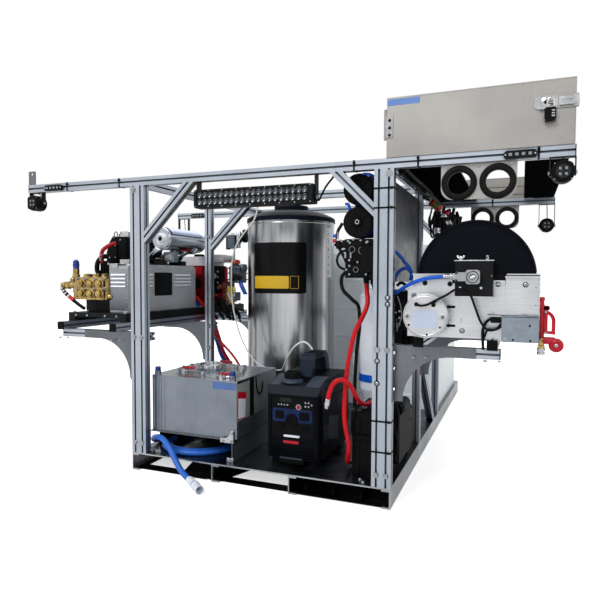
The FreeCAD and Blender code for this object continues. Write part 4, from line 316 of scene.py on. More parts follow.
    # Silicone cover of the strip lamp: warm white.
    newFinish("warmSilicone", "#fff6d8", "#ffe9a8", 0.0, 0.3, 0.02, (2, 2, 2), 10, 0.5, 0.02, 0.02)
    # Dark grey metal for the ring round a bolt head: painted shade.
    newFinish("blackenedSteel", "#4b5057", "#3a3f45", 1.0, 0.4, 0.05, (3, 3, 3), 20, 0.5, 0.08, 0.04)
    # Vinyl films: charcoal, and the deep blue behind the outlets.
    newFinish("charcoalVinyl", "#3a3d44", "#2c2f35", 0.0, 0.4, 0.05, (3, 3, 3), 60, 0.5, 0.08, 0.04,
              Specular_IOR_Level=0.2)
    newFinish("nightBlueVinyl", "#10285a", "#0a1a3c", 0.0, 0.4, 0.05, (3, 3, 3), 60, 0.5, 0.1, 0.04,
              Specular_IOR_Level=0.15)
    # Painted grey casting of the second pump: rough and dull.
    newFinish("paintedCasting", "#5f6974", "#474f59", 0.5, 0.42, 0.08, (2, 2, 2), 40, 0.5, 0.2, 0.1)
    # Pale metal, almost white, for the louvres and the exhaust's end: a painted highlight on them.
    newFinish("passivatedAluminium", "#eceef2", "#dfe2e8", 0.55, 0.4, 0.04, (40, 40, 40), 90, 0.4, 0.03, 0.03)
    # Heat shield over the exhaust, stainless sheet: satin, and bluish as a painted reflection of the sky.
    newFinish("skyReflectionStainless", "#8c98b4", "#7682a0", 0.8, 0.3, 0.05, (40, 3, 40), 90, 0.4, 0.04, 0.04)
    # Pale flat grey sheet beside the fuel tank: painted light, making the tank's right side look lit.
    newFinish("greyLacqueredSheet", "#9a9f9e", "#868b8c", 0.2, 0.5, 0.05, (30, 30, 30), 120, 0.5, 0.05, 0.04)
    # The exhaust can, polished stainless: a smooth mirror that goes soft at its edges.
    newFinish("polishedCan", "#b3b8bf", "#9fa4ac", 1.0, 0.2, 0.03, (200, 200, 200), 200, 0.4, 0.01, 0.02)
    # A flat black with no shine at any angle, painted shade for the underside of the carrier's floor.
    newFinish("flatShadeBlack", "#0b0c0e", "#08090a", 0.0, 0.9, 0.05, (4, 4, 4), 60, 0.5, 0.2, 0.1, Specular_IOR_Level=0.0)

    # Aluminium base, as milled: the channels stay pale, and the deck's top is painted dark in soft patches, a painted
    # shade from the machines over it.
    tree, shader, place, colour = newFinish("milledBase", "#b9bcbf", "#94989c", 1.0, 0.36, 0.1,
                                            (60, 60, 3), 150, 0.45, 0.1, 0.08)
    facing = addNode(tree, "SeparateXYZ", None, {0: addNode(tree, "NewGeometry").outputs["Normal"]}).outputs[2]
    height = addNode(tree, "SeparateXYZ", None, {0: place}).outputs[2]
    top = addNode(tree, "Math", {"operation": "GREATER_THAN", 1: 0.5}, {0: facing}).outputs[0]
    high = addNode(tree, "Math", {"operation": "GREATER_THAN", 1: 0.081}, {0: height}).outputs[0]
    deck = addNode(tree, "Math", {"operation": "MULTIPLY"}, {0: top, 1: high}).outputs[0]
    deckShadePatches = addNode(tree, "TexNoise", {"Scale": 5.0, "Detail": 6.0}, {"Vector": place}).outputs[0]
    deckShadePatches = addNode(tree, "MapRange", {"From Min": 0.3, "From Max": 0.7, "To Min": 0.7, "To Max": 1.0},
                   {"Value": deckShadePatches}).outputs[0]
    deck = addNode(tree, "Math", {"operation": "MULTIPLY"}, {0: deck, 1: deckShadePatches}).outputs[0]
    colour = recolour(tree, shader, deck, colour, "#262b33")
    # painted shade: every face inside the base, behind its front edge and below the deck's top, is painted near black
    below = inside(tree, place, {0: (-0.6, 0.6), 1: (-1.2072, 1.3), 2: (-0.1, 0.0745)})
    recolour(tree, shader, below, colour, "#0c0d10")

    # Fuel tank in bright aluminium sheet: streaked sides, and a lid whose upward faces are painted lighter, a painted
    # reflection.
    tree, shader, place, colour = newFinish("tankAluminium", "#868d97", "#777e88", 1.0, 0.28, 0.05,
                                            (2.5, 2.5, 120), 150, 0.2, 0.02, 0.03)
    facing = addNode(tree, "SeparateXYZ", None, {0: addNode(tree, "NewGeometry").outputs["Normal"]}).outputs[2]
    top = addNode(tree, "Math", {"operation": "GREATER_THAN", 1: 0.7}, {0: facing}).outputs[0]
    recolour(tree, shader, top, colour, "#b9bdc2")

    # Heater jacket, stainless sheet rolled to a drum: upright streaks, with broad dark and light bands round it that
    # are painted reflections of the surroundings.
    tree, shader, place, colour = newFinish("drumStainless", "#cbcdcf", "#aeb0b3", 1.0, 0.21, 0.04,
                                            (2.6, 2.6, 200), 500, 0.5, 0.06, 0.04)
    centred = addNode(tree, "Mapping", {"Location": (0.19, 0.3142, 0)}, {"Vector": place}).outputs[0]
    around = addNode(tree, "TexGradient", {"gradient_type": "RADIAL"}, {"Vector": centred}).outputs["Fac"]
    reflectionRamp = addNode(tree, "ValToRGB", None, {"Fac": around})
    bands = ((0.0, 0.4), (0.064, 0.1), (0.123, 0.2), (0.15, 0.75), (0.197, 0.6), (0.258, 0.75), (0.292, 0.9),
             (0.336, 1.0),
             (0.363, 0.6), (0.391, 0.15), (0.426, 0.2), (0.449, 0.9), (0.475, 0.3), (0.514, 0.7), (0.564, 0.25),
             (0.65, 0.7), (0.75, 0.3), (0.85, 0.8), (0.93, 0.3), (1.0, 0.4))
    reflectionRamp.color_ramp.interpolation = "EASE"
    while len(reflectionRamp.color_ramp.elements) < len(bands):
        reflectionRamp.color_ramp.elements.new(0.5)
    for element, (spot, level) in zip(reflectionRamp.color_ramp.elements, bands):
        element.position = spot
        element.color = (level, level, level, 1)
    streaks = addNode(tree, "Mapping", {"Scale": (60, 60, 0.6)}, {"Vector": place}).outputs[0]
    streaks = addNode(tree, "TexNoise", {"Scale": 1.0, "Detail": 3.0}, {"Vector": streaks}).outputs[0]
    level = addNode(tree, "Math", {"operation": "MULTIPLY_ADD", 1: 0.5, 2: -0.25}, {0: streaks}).outputs[0]
    level = addNode(tree, "Math", {"operation": "ADD", "use_clamp": True}, {0: reflectionRamp.outputs[0], 1: level}).outputs[0]
    dark = addNode(tree, "Math", {"operation": "SUBTRACT", 0: 1.0}, {1: level}).outputs[0]
    recolour(tree, shader, dark, colour, "#26292d")


makeFinishes()
print(f"{len(finishes)} finishes are made")


# meshes

def smooth(points, steps=6):
    # a curve through the points, for fixed wires and bent rods
    points = [Vector(p) for p in points]
    path = []
    for i in range(len(points) - 1):
        a, b = points[i], points[i + 1]
        before = points[i - 1] if i else a * 2 - b
        after = points[i + 2] if i + 2 < len(points) else b * 2 - a
        for step in range(steps):
            t = step / steps
            path.append(0.5 * (2 * a + (b - before) * t + (2 * before - 5 * a + 4 * b - after) * t * t
                               + (3 * a - before - 3 * b + after) * t * t * t))
    return path + [points[-1]]


def lathe(bm, at, direction, profile, sides=32, slot=0, closed=False):
    turn = Vector((0, 0, 1)).rotation_difference(Vector(direction)).to_matrix().to_4x4()
    turn = Matrix.Translation(at) @ turn
    rings = []
    for radius, height in profile:
        spots = [0] if radius < 1e-6 else [2 * math.pi * i / sides for i in range(sides)]
        rings.append([bm.verts.new(turn @ Vector((radius * math.cos(a), radius * math.sin(a), height))) for a in spots])
    if closed:
        rings.append(rings[0])
    for low, high in zip(rings, rings[1:]):
        for i in range(sides):
            j = (i + 1) % sides
            corners = dict.fromkeys([low[i % len(low)], low[j % len(low)], high[j % len(high)], high[i % len(high)]])
            if len(corners) > 2:
                bm.faces.new(list(corners)).material_index = slot


def rod(bm, start, end, radius, sides=20, slot=0):
    along = Vector(end) - Vector(start)
    edge = min(radius * 0.12, along.length * 0.2)
    lathe(bm, start, along, [(0, 0), (radius - edge, 0), (radius, edge), (radius, along.length - edge),
                             (radius - edge, along.length), (0, along.length)], sides, slot)


def torus(bm, at, direction, radius, thick, sides=32, slot=0, parts=10):
    lathe(bm, at, direction, [(radius + thick * math.cos(2 * math.pi * i / parts),
                               thick * math.sin(2 * math.pi * i / parts))
                              for i in range(parts)], sides, slot, True)


def hexagon(bm, at, direction, across, height, slot=0):
    radius = across / 2 / math.cos(math.pi / 6)
    lathe(bm, at, direction, [(0, 0), (radius, 0), (radius, height * 0.85), (radius * 0.88, height), (0, height)], 6,
          slot)


def block(bm, low, high, slot=0):
    corners = [bm.verts.new((x, y, z)) for x in (low[0], high[0]) for y in (low[1], high[1]) for z in (low[2], high[2])]
    for side in ((0, 1, 3, 2), (4, 6, 7, 5), (0, 4, 5, 1), (2, 3, 7, 6), (0, 2, 6, 4), (1, 5, 7, 3)):
        bm.faces.new([corners[i] for i in side]).material_index = slot


def prism(bm, outline, axis, start, depth, slot=0):
    # outline is (y, z) along x, (x, z) along y and (x, y) along z
    order = {"x": lambda a, b, c: (c, a, b), "y": lambda a, b, c: (a, c, b), "z": lambda a, b, c: (a, b, c)}[axis]
    low = [bm.verts.new(order(a, b, start)) for a, b in outline]
    high = [bm.verts.new(order(a, b, start + depth)) for a, b in outline]
    faces = [bm.faces.new(low), bm.faces.new(high)]
    for i in range(len(low)):
        j = (i + 1) % len(low)
        faces.append(bm.faces.new((low[i], low[j], high[j], high[i])))
    for face in faces:
        face.material_index = slot


def rounded(x0, y0, x1, y1, radius, steps=4):
    outline = []
    for cx, cy, start in ((x1 - radius, y0 + radius, -90), (x1 - radius, y1 - radius, 0),
                          (x0 + radius, y1 - radius, 90), (x0 + radius, y0 + radius, 180)):
        for i in range(steps + 1):
            angle = math.radians(start + 90 * i / steps)
            outline.append((cx + radius * math.cos(angle), cy + radius * math.sin(angle)))
    return outline


def sweep(bm, path, radius, sides=12, slot=0, caps=True):
    path = [Vector(p) for p in path]
    radii = radius if isinstance(radius, (list, tuple)) else [radius] * len(path)
    heading = (path[1] - path[0]).normalized()
    side = heading.orthogonal().normalized()
    rings = []
    for i, point in enumerate(path):
        ahead = (path[min(i + 1, len(path) - 1)] - path[max(i - 1, 0)]).normalized()
        side = (side - ahead * side.dot(ahead)).normalized()
        other = ahead.cross(side)
        rings.append([bm.verts.new(point + radii[i] * (side * math.cos(a) + other * math.sin(a)))
                      for a in (2 * math.pi * k / sides for k in range(sides))])
    for low, high in zip(rings, rings[1:]):
        for k in range(sides):
            bm.faces.new((low[k], low[(k + 1) % sides], high[(k + 1) % sides], high[k])).material_index = slot
    if caps:
        bm.faces.new(rings[0][::-1]).material_index = slot
        bm.faces.new(rings[-1]).material_index = slot


def loft(bm, rings):
    # walls between closed rings that have as many corners each
    for low, high in zip(rings, rings[1:]):
        for i in range(len(low)):
            j = (i + 1) % len(low)
            bm.faces.new((low[i], low[j], high[j], high[i]))


def studs(bm, centre, reach, count, low, high, radius, sides, slot=0):
    # upright rods in a ring, such as the ribs of a cap
    for k in range(count):
        angle = 2 * math.pi * k / count
        x, y = centre[0] + reach * math.cos(angle), centre[1] + reach * math.sin(angle)
        rod(bm, (x, y, low), (x, y, high), radius, sides, slot)


def make(name, bm, body, materials, bevel=0.0, angle=38, replaces=()):
    bmesh.ops.recalc_face_normals(bm, faces=bm.faces)
    bmesh.ops.scale(bm, vec=(0.001, 0.001, 0.001), verts=bm.verts)
    mesh = bpy.data.meshes.new(name)
    bm.to_mesh(mesh)
    bm.free()
    for material in materials.split():
        mesh.materials.append(finishes[material])
    mesh.shade_smooth()
    mesh.set_sharp_from_angle(angle=math.radians(angle))
    piece = bpy.data.objects.new(name, mesh)
    scene.collection.objects.link(piece)
    if bevel:
        edge = piece.modifiers.new("edge", "BEVEL")
        edge.width = bevel / 1000
        edge.segments = 2
        edge.limit_method = "ANGLE"
        edge.angle_limit = math.radians(40)
    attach(piece, body)
    if replaces:
        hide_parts(*replaces)
    return piece


# hoses and cables

def fromDeck(points):
    # points counted from the middle of the deck's front edge, turned to metres in the frame of the skid
    return [Vector((x, y + skid["front"], z + skid["deck"])) / 1000 for x, y, z in points]


def newSpline(name, points, diameter=0.0, material=None):
    data = bpy.data.curves.new(name, "CURVE")
    data.dimensions = "3D"
    data.resolution_u = 10
    spline = data.splines.new("NURBS")
    spline.points.add(len(points) - 1)
    for spot, point in zip(spline.points, points):
        spot.co = (*point, 1)
    spline.order_u = 3
    spline.use_endpoint_u = True
    if diameter:
        data.bevel_depth = diameter / 2
        data.bevel_resolution = 6
        data.use_fill_caps = True
    if material:
        data.materials.append(finishes[material])
    curve = bpy.data.objects.new(name, data)
    scene.collection.objects.link(curve)
    return curve


def linePoints(points):
    # the spline's own points, for the pieces that sit along a hose, in mm
    curve = newSpline("line", points)
    mesh = bpy.data.meshes.new_from_object(curve.evaluated_get(bpy.context.evaluated_depsgraph_get()))
    path = [v.co * 1000 for v in mesh.vertices]
    bpy.data.meshes.remove(mesh)
    bpy.data.objects.remove(curve)
    return path


def stretch(path, start, end):
    # the part of a path between two distances from its start, in mm
    part, run = [], 0.0
    for a, b in zip(path, path[1:]):
        if start <= run <= end:
            part.append(a)
        run += (b - a).length
    return part


def coilPoints(start, radii, height, perHalf=8):
    # flat half turns, each wider than the last, that set out towards the front; distances in mm
    points = [Vector((start[0], start[1], height))]
    x, side = start[0], 1
    for radius in radii:
        centre = x + side * radius
        reach = radius / math.cos(math.pi / perHalf / 2)
        for k in range(perHalf):
            angle = math.pi * (k + 0.5) / perHalf
            points.append(Vector((centre - side * reach * math.cos(angle), start[1] - side * reach * math.sin(angle),
                                  height)))
        x, side = x + 2 * side * radius, -side
    points.append(Vector((x, start[1], height)))
    return [p / 1000 for p in points]


blueHose = dict(diameter=0.026, coil=(-532.2, -983.2), radii=(160.8, 174.4, 188.0, 201.6), height=95.55, length=2.892,
                cuff=66,
                end=((-586.6, 166, 13), (-568, 98, 38), (-518, 52, 68), (-452, 14, 80), (-392, -16, 52),
                     (-346, -38, 4), (-300, -56, -38), (-240, -82, -58), (-200, -112, -60)))
redHose = dict(diameter=0.019, length=1.098,
               line=((480, 100, 815), (480, 100, 768), (494, 84, 716), (476, 66, 660), (446, 60, 604), (430, 60, 540),
                     (417, 60, 473), (411, 60, 410), (406, 60, 350), (403, 60, 290), (404, 60, 240), (412, 60, 190),
                     (424, 62, 140), (418, 72, 88), (403, 108, 48), (398, 160, 26), (400, 230, 21), (402, 300, 22),
                     (400, 360, 24), (400, 400, 24)))
redEnd = dict(diameter=0.019, length=0.736,
              line=((550, 462, 262), (550, 462, 308), (546, 430, 348), (534, 376, 356), (518, 318, 330),
                    (500, 262, 302), (482, 205, 286), (466, 152, 284), (456, 104, 304), (447, 62, 344), (436, 34, 388),
                    (412, 14, 412), (380, 4, 404), (356, 6, 362), (345, 12, 300)))
reelFeed = dict(diameter=0.014, length=0.442,
                line=((827.5, -53, 821.1), (777, -53, 821.1), (715, -42, 808), (662, -10, 786), (628, 38, 766),
                      (594, 78, 750), (556, 102, 746), (519, 115, 756), (500, 120, 786), (500, 120, 815)))
rearRed = dict(diameter=0.014, length=0.886,
               line=((-730, 970, 700), (-730, 910, 700), (-722, 850, 690), (-702, 796, 660), (-672, 764, 606),
                     (-648, 752, 545), (-615, 745, 485), (-560, 735, 435), (-490, 720, 385), (-425, 700, 325),
                     (-372, 676, 245), (-330, 658, 172), (-330, 658, 108.1)))
whiteCable = dict(diameter=0.008, length=1.591,
                  line=((-285, 660, 1229), (-285, 656, 1168), (-302, 628, 1108), (-350, 610, 1050), (-394, 604, 984),
                        (-418, 606, 900), (-424, 612, 800), (-424, 618, 700), (-404, 614, 600), (-362, 592, 505),
                        (-300, 562, 420), (-235, 532, 366), (-170, 510, 346), (-105, 486, 342), (-48, 436, 352),
                        (-8, 376, 370), (28, 312, 404), (66, 266, 458), (112, 250, 512), (165, 248, 532),
                        (192, 250, 491)))


def hoses():
    coil = coilPoints(blueHose["coil"], blueHose["radii"], blueHose["height"])
    route = coil + fromDeck(blueHose["end"])
    hose = newSpline("blue_water_hose", route, blueHose["diameter"], "bluePvcHose")
    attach(hose, "skid")
    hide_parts("blue_hose_coil", "blue_hose_end")

    # white cuff: a soft sleeve taped over the hose, a collar and a flared mouth
    path = linePoints(route)
    total = sum((b - a).length for a, b in zip(path, path[1:]))
    bm = bmesh.new()
    sleeve = stretch(path, total - blueHose["cuff"], total)
    sweep(bm, sleeve, [14.2 + 2.4 * (i / len(sleeve)) + 0.5 * (i % 2) for i in range(len(sleeve))], 24)
    end = path[-1]
    heading = (Vector(blueHose["end"][-1]) - Vector(blueHose["end"][-2])).normalized()
    lathe(bm, end, heading, [(13.2, 0), (16.6, 0.5), (19.5, 3), (19.5, 13), (17.6, 16), (17.8, 30), (18.2, 46),
                             (18.8, 61),
                             (16.6, 61), (15.6, 40), (13.2, 40)], 32, 0, True)
    for turn in range(5):
        torus(bm, end - heading * (10 + 11 * turn) + Vector((0, 0, 0.6 * turn)), heading, 16.2 - 0.3 * turn, 0.9, 24)
    cuff = make("hose_cuff_sleeve", bm, "skid", "whitePvc", replaces=("hose_cuff",))

    for name, facts, material, node in (
            ("red_supply_hose", redHose, "redPvcHose", "held_hoses"),
            ("reel_feed_hose", reelFeed, "blueNylonTube", "held_hoses"),
            ("rear_red_hose", rearRed, "redPvcHose", "held_hoses"),
            ("white_power_cable", whiteCable, "whiteJacket", "held_hoses")):
        points = fromDeck(facts["line"])
        piece = newSpline(name, points, facts["diameter"], material)
        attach(piece, "skid")
        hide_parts(node)

    points = fromDeck(redEnd["line"])
    loose = newSpline("red_loose_hose", points, redEnd["diameter"], "redPvcHose")
    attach(loose, "skid")
    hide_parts("red_hose_end")
    tip = points[-1] * 1000
    bm = bmesh.new()
    down = (points[-1] - points[-2]).normalized()
    lathe(bm, tip - down * 30, down, [(9.7, 0), (11.2, 0.6), (11.2, 12), (10.4, 13), (11.4, 16), (11.4, 29), (9.8, 30)],
          24, 0)
    hexagon(bm, tip - down * 4, down, 21, 11, 0)
    lathe(bm, tip + down * 2, down, [(0, 0), (8, 0), (8, 9), (6.5, 10.5), (3.5, 10.5), (3.5, 4), (0, 4)], 24, 0)
    fitting = make("loose_hose_fitting", bm, "skid", "polishedSteel", 0.3)


hoses()
print("hoses and cables are laid")


# CAD pieces and their finishes

dressed = dict(
    base_frame="milledBase", frame_posts="anodisedExtrusion", top_frame="anodisedExtrusion",
    shelf_rails="anodisedExtrusion", frame_plates="rolledSheet", end_caps="mouldedNylon", frame_bolts="zincSteel",
    burner_drum="drumStainless", burner_lid="darkEnamel", machine_frames="powderCoat", belt_guard="guardStainless",
    pump_pulley="zincSteel", engine_pulley="zincSteel", drive_belt="blackRubber", pump_crankcase="powderCoat",
    pump_head="castBrass", unloader_knob="blueAnodised", engine_block="powderCoat", muffler="polishedCan",
    red_engine="redEnamel", tank_tray="rolledSheet", fuel_tank="tankAluminium", filler_cap="polishedSteel",
    front_valve_lever="redAbs", left_valve_lever="redAbs", rear_valve_lever="redAbs",
    generator_case="navyPolypropylene", generator_cap="mouldedNylon", start_button="redAbs",
    reel_plates="linishedPlate", reel_cover="rotomouldedHood", reel_drum="powderCoat", reel_motor="castAluminium",
    bearing_box="powderCoat", swivel_joint="polishedSteel", control_box="galvanisedSheet", spray_nozzle="redAbs",
    nozzle_bail="redAbs", small_reel_frame="powderCoat", small_reel_upper="mouldedNylon",
    small_reel_lower="mouldedNylon", pole_holders="brushedSheet", carrier_tray="carrierSheet",
    carrier_door="carrierSheet", light_bar="powderCoat", light_brackets="powderCoat",
    flood_light_front_left="mouldedNylon", flood_light_front_right="mouldedNylon",
    flood_light_rear_left="mouldedNylon", flood_light_rear_right="mouldedNylon", water_tank="milkyPolyethylene",
    filter_column="whitePvc", battery_box="mouldedNylon", transfer_pumps="mouldedNylon")
for node, finish in dressed.items():
    nodes[node].material_slots[0].material = finishes[finish]


# heater

heater = dict(centre=(-190, -314.2), radius=250, label=(-121.7, -47.6, 811, 1088), bar=(-120.0, -70.0, 838, 906),
              rimScrews=16, seam=62)


def curvedPlate(bm, radius, thick, start, end, low, high, corner=10, slot=0, steps=28):
    # a sheet that hugs the drum, between two angles and two heights, with its corners cut round
    cx, cy = heater["centre"]
    columns = []
    for i in range(steps + 1):
        angle = math.radians(start + (end - start) * i / steps)
        along = min(i, steps - i) / steps * math.radians(end - start) * radius
        cut = corner - math.sqrt(max(0, corner ** 2 - max(0, corner - along) ** 2)) if along < corner else 0
        columns.append([[bm.verts.new((cx + r * math.cos(angle), cy + r * math.sin(angle), z))
                         for r in (radius, radius + thick)]
                        for z in (low + cut, high - cut)])
    for a, b in zip(columns, columns[1:]):
        for quad in ((a[0][1], b[0][1], b[1][1], a[1][1]), (a[0][0], b[0][0], b[1][0], a[1][0]),
                     (a[0][0], b[0][0], b[0][1], a[0][1]), (a[1][0], b[1][0], b[1][1], a[1][1])):
            bm.faces.new(quad).material_index = slot
    for c in (columns[0], columns[-1]):
        bm.faces.new((c[0][0], c[0][1], c[1][1], c[1][0])).material_index = slot


def heaterDetails():
    cx, cy = heater["centre"]
    radius = heater["radius"]
    bm = bmesh.new()
    curvedPlate(bm, radius, 0.9, *heater["label"], corner=8)
    make("drum_label_plate", bm, "skid", "blackVinyl")
    bm = bmesh.new()
    curvedPlate(bm, radius + 0.9, 0.5, *heater["bar"], corner=3)
    for start, end, low, high in ((-68.4, -57.6, 904.4, 906), (-68.4, -57.6, 838, 839.6), (-68.4, -67.9, 838, 906),
                                  (-58.1, -57.6, 838, 906)):
        curvedPlate(bm, radius + 0.9, 0.5, start, end, low, high, 0.5, 0, 6)
    make("drum_label_bar", bm, "skid", "yellowVinyl")

    bm = bmesh.new()
    for z in (150, 1196):  # rolled beads at the ends of the drum
        torus(bm, (cx, cy, z), (0, 0, 1), radius + 0.6, 2.2, 96, 0, 8)
    curvedPlate(bm, radius, 1.2, heater["seam"], heater["seam"] + 5, 132, 1208, 2, 0, 4)
    for k in range(20):
        angle = math.radians(heater["seam"] + 2.5)
        rod(bm, (cx + (radius + 1) * math.cos(angle), cy + (radius + 1) * math.sin(angle), 160 + 54 * k),
            (cx + (radius + 3) * math.cos(angle), cy + (radius + 3) * math.sin(angle), 160 + 54 * k), 3.2, 12)
    make("drum_beads_and_seam", bm, "skid", "brushedStainless", 0)

    bm = bmesh.new()
    for k in range(heater["rimScrews"]):
        angle = 2 * math.pi * (k + 0.4) / heater["rimScrews"]
        out = Vector((math.cos(angle), math.sin(angle), 0))
        at = Vector((cx, cy, 1221)) + out * 254
        lathe(bm, at, out, [(0, 3.4), (2.6, 3.2), (4.6, 1.4), (4.8, 0), (0, 0)], 12)
    torus(bm, (cx, cy, 1212), (0, 0, 1), 254.6, 1.8, 96, 0, 8)
    make("lid_band_screws", bm, "skid", "darkEnamel zincSteel")

    bm = bmesh.new()  # flue collar: a rolled ring with three clamp screws over the hole
    torus(bm, (cx, cy, 1305), (0, 0, 1), 95, 3.2, 64, 0, 8)
    for k in range(3):
        angle = 2 * math.pi * k / 3 + 0.5
        out = Vector((math.cos(angle), math.sin(angle), 0))
        hexagon(bm, Vector((cx, cy, 1297)) + out * 96.5, out, 9, 5)
    make("flue_collar_ring", bm, "skid", "darkEnamel", 0)

    bm = bmesh.new()  # small bare tags down the side of the drum
    for k in range(13):
        curvedPlate(bm, radius, 0.4, -14.8, -2.4, 899 + 21.4 * k, 918.6 + 21.4 * k, 1, 0, 4)
        curvedPlate(bm, radius + 0.4, 0.3, -12.4, -9.2, 904 + 21.4 * k, 912 + 21.4 * k, 1, 1 + k % 2, 2)
    make("drum_side_tags", bm, "skid", "whitePvc yellowVinyl charcoalVinyl")
    bm = bmesh.new()  # burner pipe elbow's collar and nut at the foot
    x, y = -330, skid["front"] + 905 - math.sqrt(radius ** 2 - 140 ** 2) - 40
    for height in (176, 184):
        torus(bm, (x, y, height), (0, 0, 1), 11.5, 1.6, 24, 0, 8)
    hexagon(bm, (x, y, 181), (0, 0, 1), 26, 10, 0)
    make("drum_inlet_nut", bm, "skid", "zincSteel")


heaterDetails()
print("heater is dressed")


# LED light bar, lamps and strobes

lightBar = dict(low=(-250, 1193.55), high=(290, 1269.55), face=-1244.15, columns=20, rows=2, cup=11.6)


def lightBarDetails():
    (x0, z0), (x1, z1), y = lightBar["low"], lightBar["high"], lightBar["face"]
    bm = bmesh.new()
    outline = rounded(x0, z0, x1, z1, 6)
    inner = rounded(x0 + 13, z0 + 9, x1 - 13, z1 - 9, 8)
    rings = []
    for shape, depth in ((outline, y), (outline, y - 5), (inner, y - 5), (inner, y - 0.4)):
        rings.append([bm.verts.new((a, depth, b)) for a, b in shape])
    loft(bm, rings)
    for spot in range(9):  # bezel screws
        x = x0 + 6 + spot * (x1 - x0 - 12) / 8
        for z in (z0 + 4.5, z1 - 4.5):
            lathe(bm, (x, y - 5, z), (0, -1, 0), [(0, 0.2), (1.2, 0.2), (1.3, 1.6), (2.8, 1.3), (3.2, 0)], 12, 1)
    make("light_bar_bezel", bm, "bar_lamp", "powderCoat zincSteel", 0.5)

    pitch = (x1 - x0 - 34) / lightBar["columns"]
    cup = lightBar["cup"]
    bm = bmesh.new()
    block(bm, (x0 + 12, y - 1.0, z0 + 8), (x1 - 12, y - 0.3, z1 - 8), 2)
    for row in range(lightBar["rows"]):
        z = z0 + 9 + (z1 - z0 - 18) * (row + 0.5) / lightBar["rows"]
        for column in range(lightBar["columns"]):
            x = x0 + 17 + pitch * (column + 0.5)
            lathe(bm, (x, y - 0.9, z), (0, -1, 0), [(cup + 0.9, 0), (cup + 0.9, 3.2), (cup, 3.4), (cup * 0.62, 1.2),
                                                   (cup * 0.34, 0.5)], 14, 0)
            lathe(bm, (x, y - 0.9, z), (0, -1, 0), [(cup * 0.34, 0.4), (cup * 0.26, 1.4), (0, 1.8)], 10, 1)
    make("light_bar_reflectors", bm, "bar_lamp", "metallisedReflector greySilicone blackVinyl")

    bm = bmesh.new()  # end plates with their tilt bolts
    for x, out in ((x0, 1), (x1, -1)):
        prism(bm, rounded(y + 2, z0 + 2, y + 58, z1 - 2, 5), "x", x - 0.2 if out > 0 else x - 3, 3.2, 0)
    for x, out in ((x0 - 5.4, -1), (x1 + 5.4, 1)):
        hexagon(bm, (x, -1200.15, 1217.5), (out, 0, 0), 14, 6, 1)
        lathe(bm, (x, -1200.15, 1217.5), (out, 0, 0), [(0, 0), (11, 0), (11, 1.6), (0, 1.6)], 20, 1)
    make("light_bar_end_plates", bm, "bar_lamp", "powderCoat zincSteel", 0.4)

    bm = bmesh.new()
    wire = smooth([(287, -1196, 1215), (300, -1192, 1209), (312, -1190, 1232), (330, -1192, 1262), (356, -1196, 1290),
                   (372, -1199, 1309)])
    sweep(bm, wire, 4, 8)
    torus(bm, (330, -1192, 1262), (0.5, 0, 1), 4, 1, 12)
    make("light_bar_wire", bm, "skid", "blackRubber")


lamps = dict(front_left=(-1186.5, -1200.15, 1259.55), front_right=(1186.5, -1200.15, 1259.55),
             rear_left=(-1186.5, 82.55, 1193.55), rear_right=(1186.5, 82.55, 1193.55))
strobes = dict(front_left=(-1112.5, -1231.2), front_right=(996.5, -1231.2), rear_left=(-1112.5, 51.5))


def lampDetails():
    for name, (x, y, z) in lamps.items():
        face = y - 31
        bm = bmesh.new()
        # a squarish bezel with rounded corners round a smoked lens and four chips
        prism(bm, rounded(x - 31, z - 31, x + 31, z + 31, 11), "y", face - 3.5, 3.6, 0)
        lathe(bm, (x, face - 3.5, z), (0, -1, 0), [(27, -0.4), (27, 2.2), (25, 2.6), (24, 0.4)], 32, 0)
        lathe(bm, (x, face - 3.6, z), (0, -1, 0), [(0, 0.3), (24.5, 0.3)], 32, 1)
        for i in (-1, 1):
            for k in (-1, 1):
                at = (x + i * 9.5, face - 3.8, z + k * 9.5)
                lathe(bm, at, (0, -1, 0), [(9, 0.2), (8.6, 2), (4, 0.6), (0, 0.6)], 16, 1)
                block(bm, (at[0] - 4, at[1] - 1.6, at[2] - 4), (at[0] + 4, at[1] - 0.5, at[2] + 4), 2)
                lathe(bm, (x + i * 26.5, face - 3.5, z + k * 26.5), (0, -1, 0), [(0, 1.2), (1.6, 1.1), (2.4, 0)], 10, 3)
        make(f"{name}_lamp_face", bm, f"{name}_lamp", "mouldedNylon smokedPolycarbonate greySilicone zincSteel", 0.5)
        bm = bmesh.new()  # heat-sink fins across the back
        for k in range(-4, 5):
            half = math.sqrt(26 ** 2 - (k * 5.6) ** 2)
            block(bm, (x + k * 5.6 - 0.9, y + 22, z - half), (x + k * 5.6 + 0.9, y + 30.9, z + half))
        make(f"{name}_lamp_fins", bm, f"{name}_lamp", "powderCoat", 0.3)
        bm = bmesh.new()  # pivot bolts in the bracket's ears and the lead up to the beam
        for side in (-1, 1):
            hexagon(bm, (x + side * 41.2, y, z), (side, 0, 0), 11, 5, 0)
        lead = smooth([(x, y + 20, z + 20), (x + 4, y + 26, z + 34), (x + 3, y + 12, z + 46), (x, y + 4, 1309)])
        sweep(bm, lead, 2.4, 8, 1)
        make(f"{name}_lamp_pivots", bm, "skid", "zincSteel blackRubber", 0)
    for name, (x, y) in strobes.items():
        bm = bmesh.new()
        for k in range(4):
            at = x + 22 + 21.3 * k
            prism(bm, rounded(at - 8, 1319.6, at + 8, 1333.6, 2.5), "y", y - 2.0, 2.1, 0)
            block(bm, (at - 5.4, y - 3.2, 1321.8), (at + 5.4, y - 1.9, 1331.4), 1)
        for side in (6, 102):
            lathe(bm, (x + side, y, 1326.6), (0, -1, 0), [(0, 1.6), (2.6, 1.2), (3.4, 0)], 12, 2)
        make(f"{name}_strobe_lenses", bm, "skid", "smokedPolycarbonate greySilicone polishedSteel", 0.4)


lightBarDetails()
lampDetails()
print("lamps are dressed")


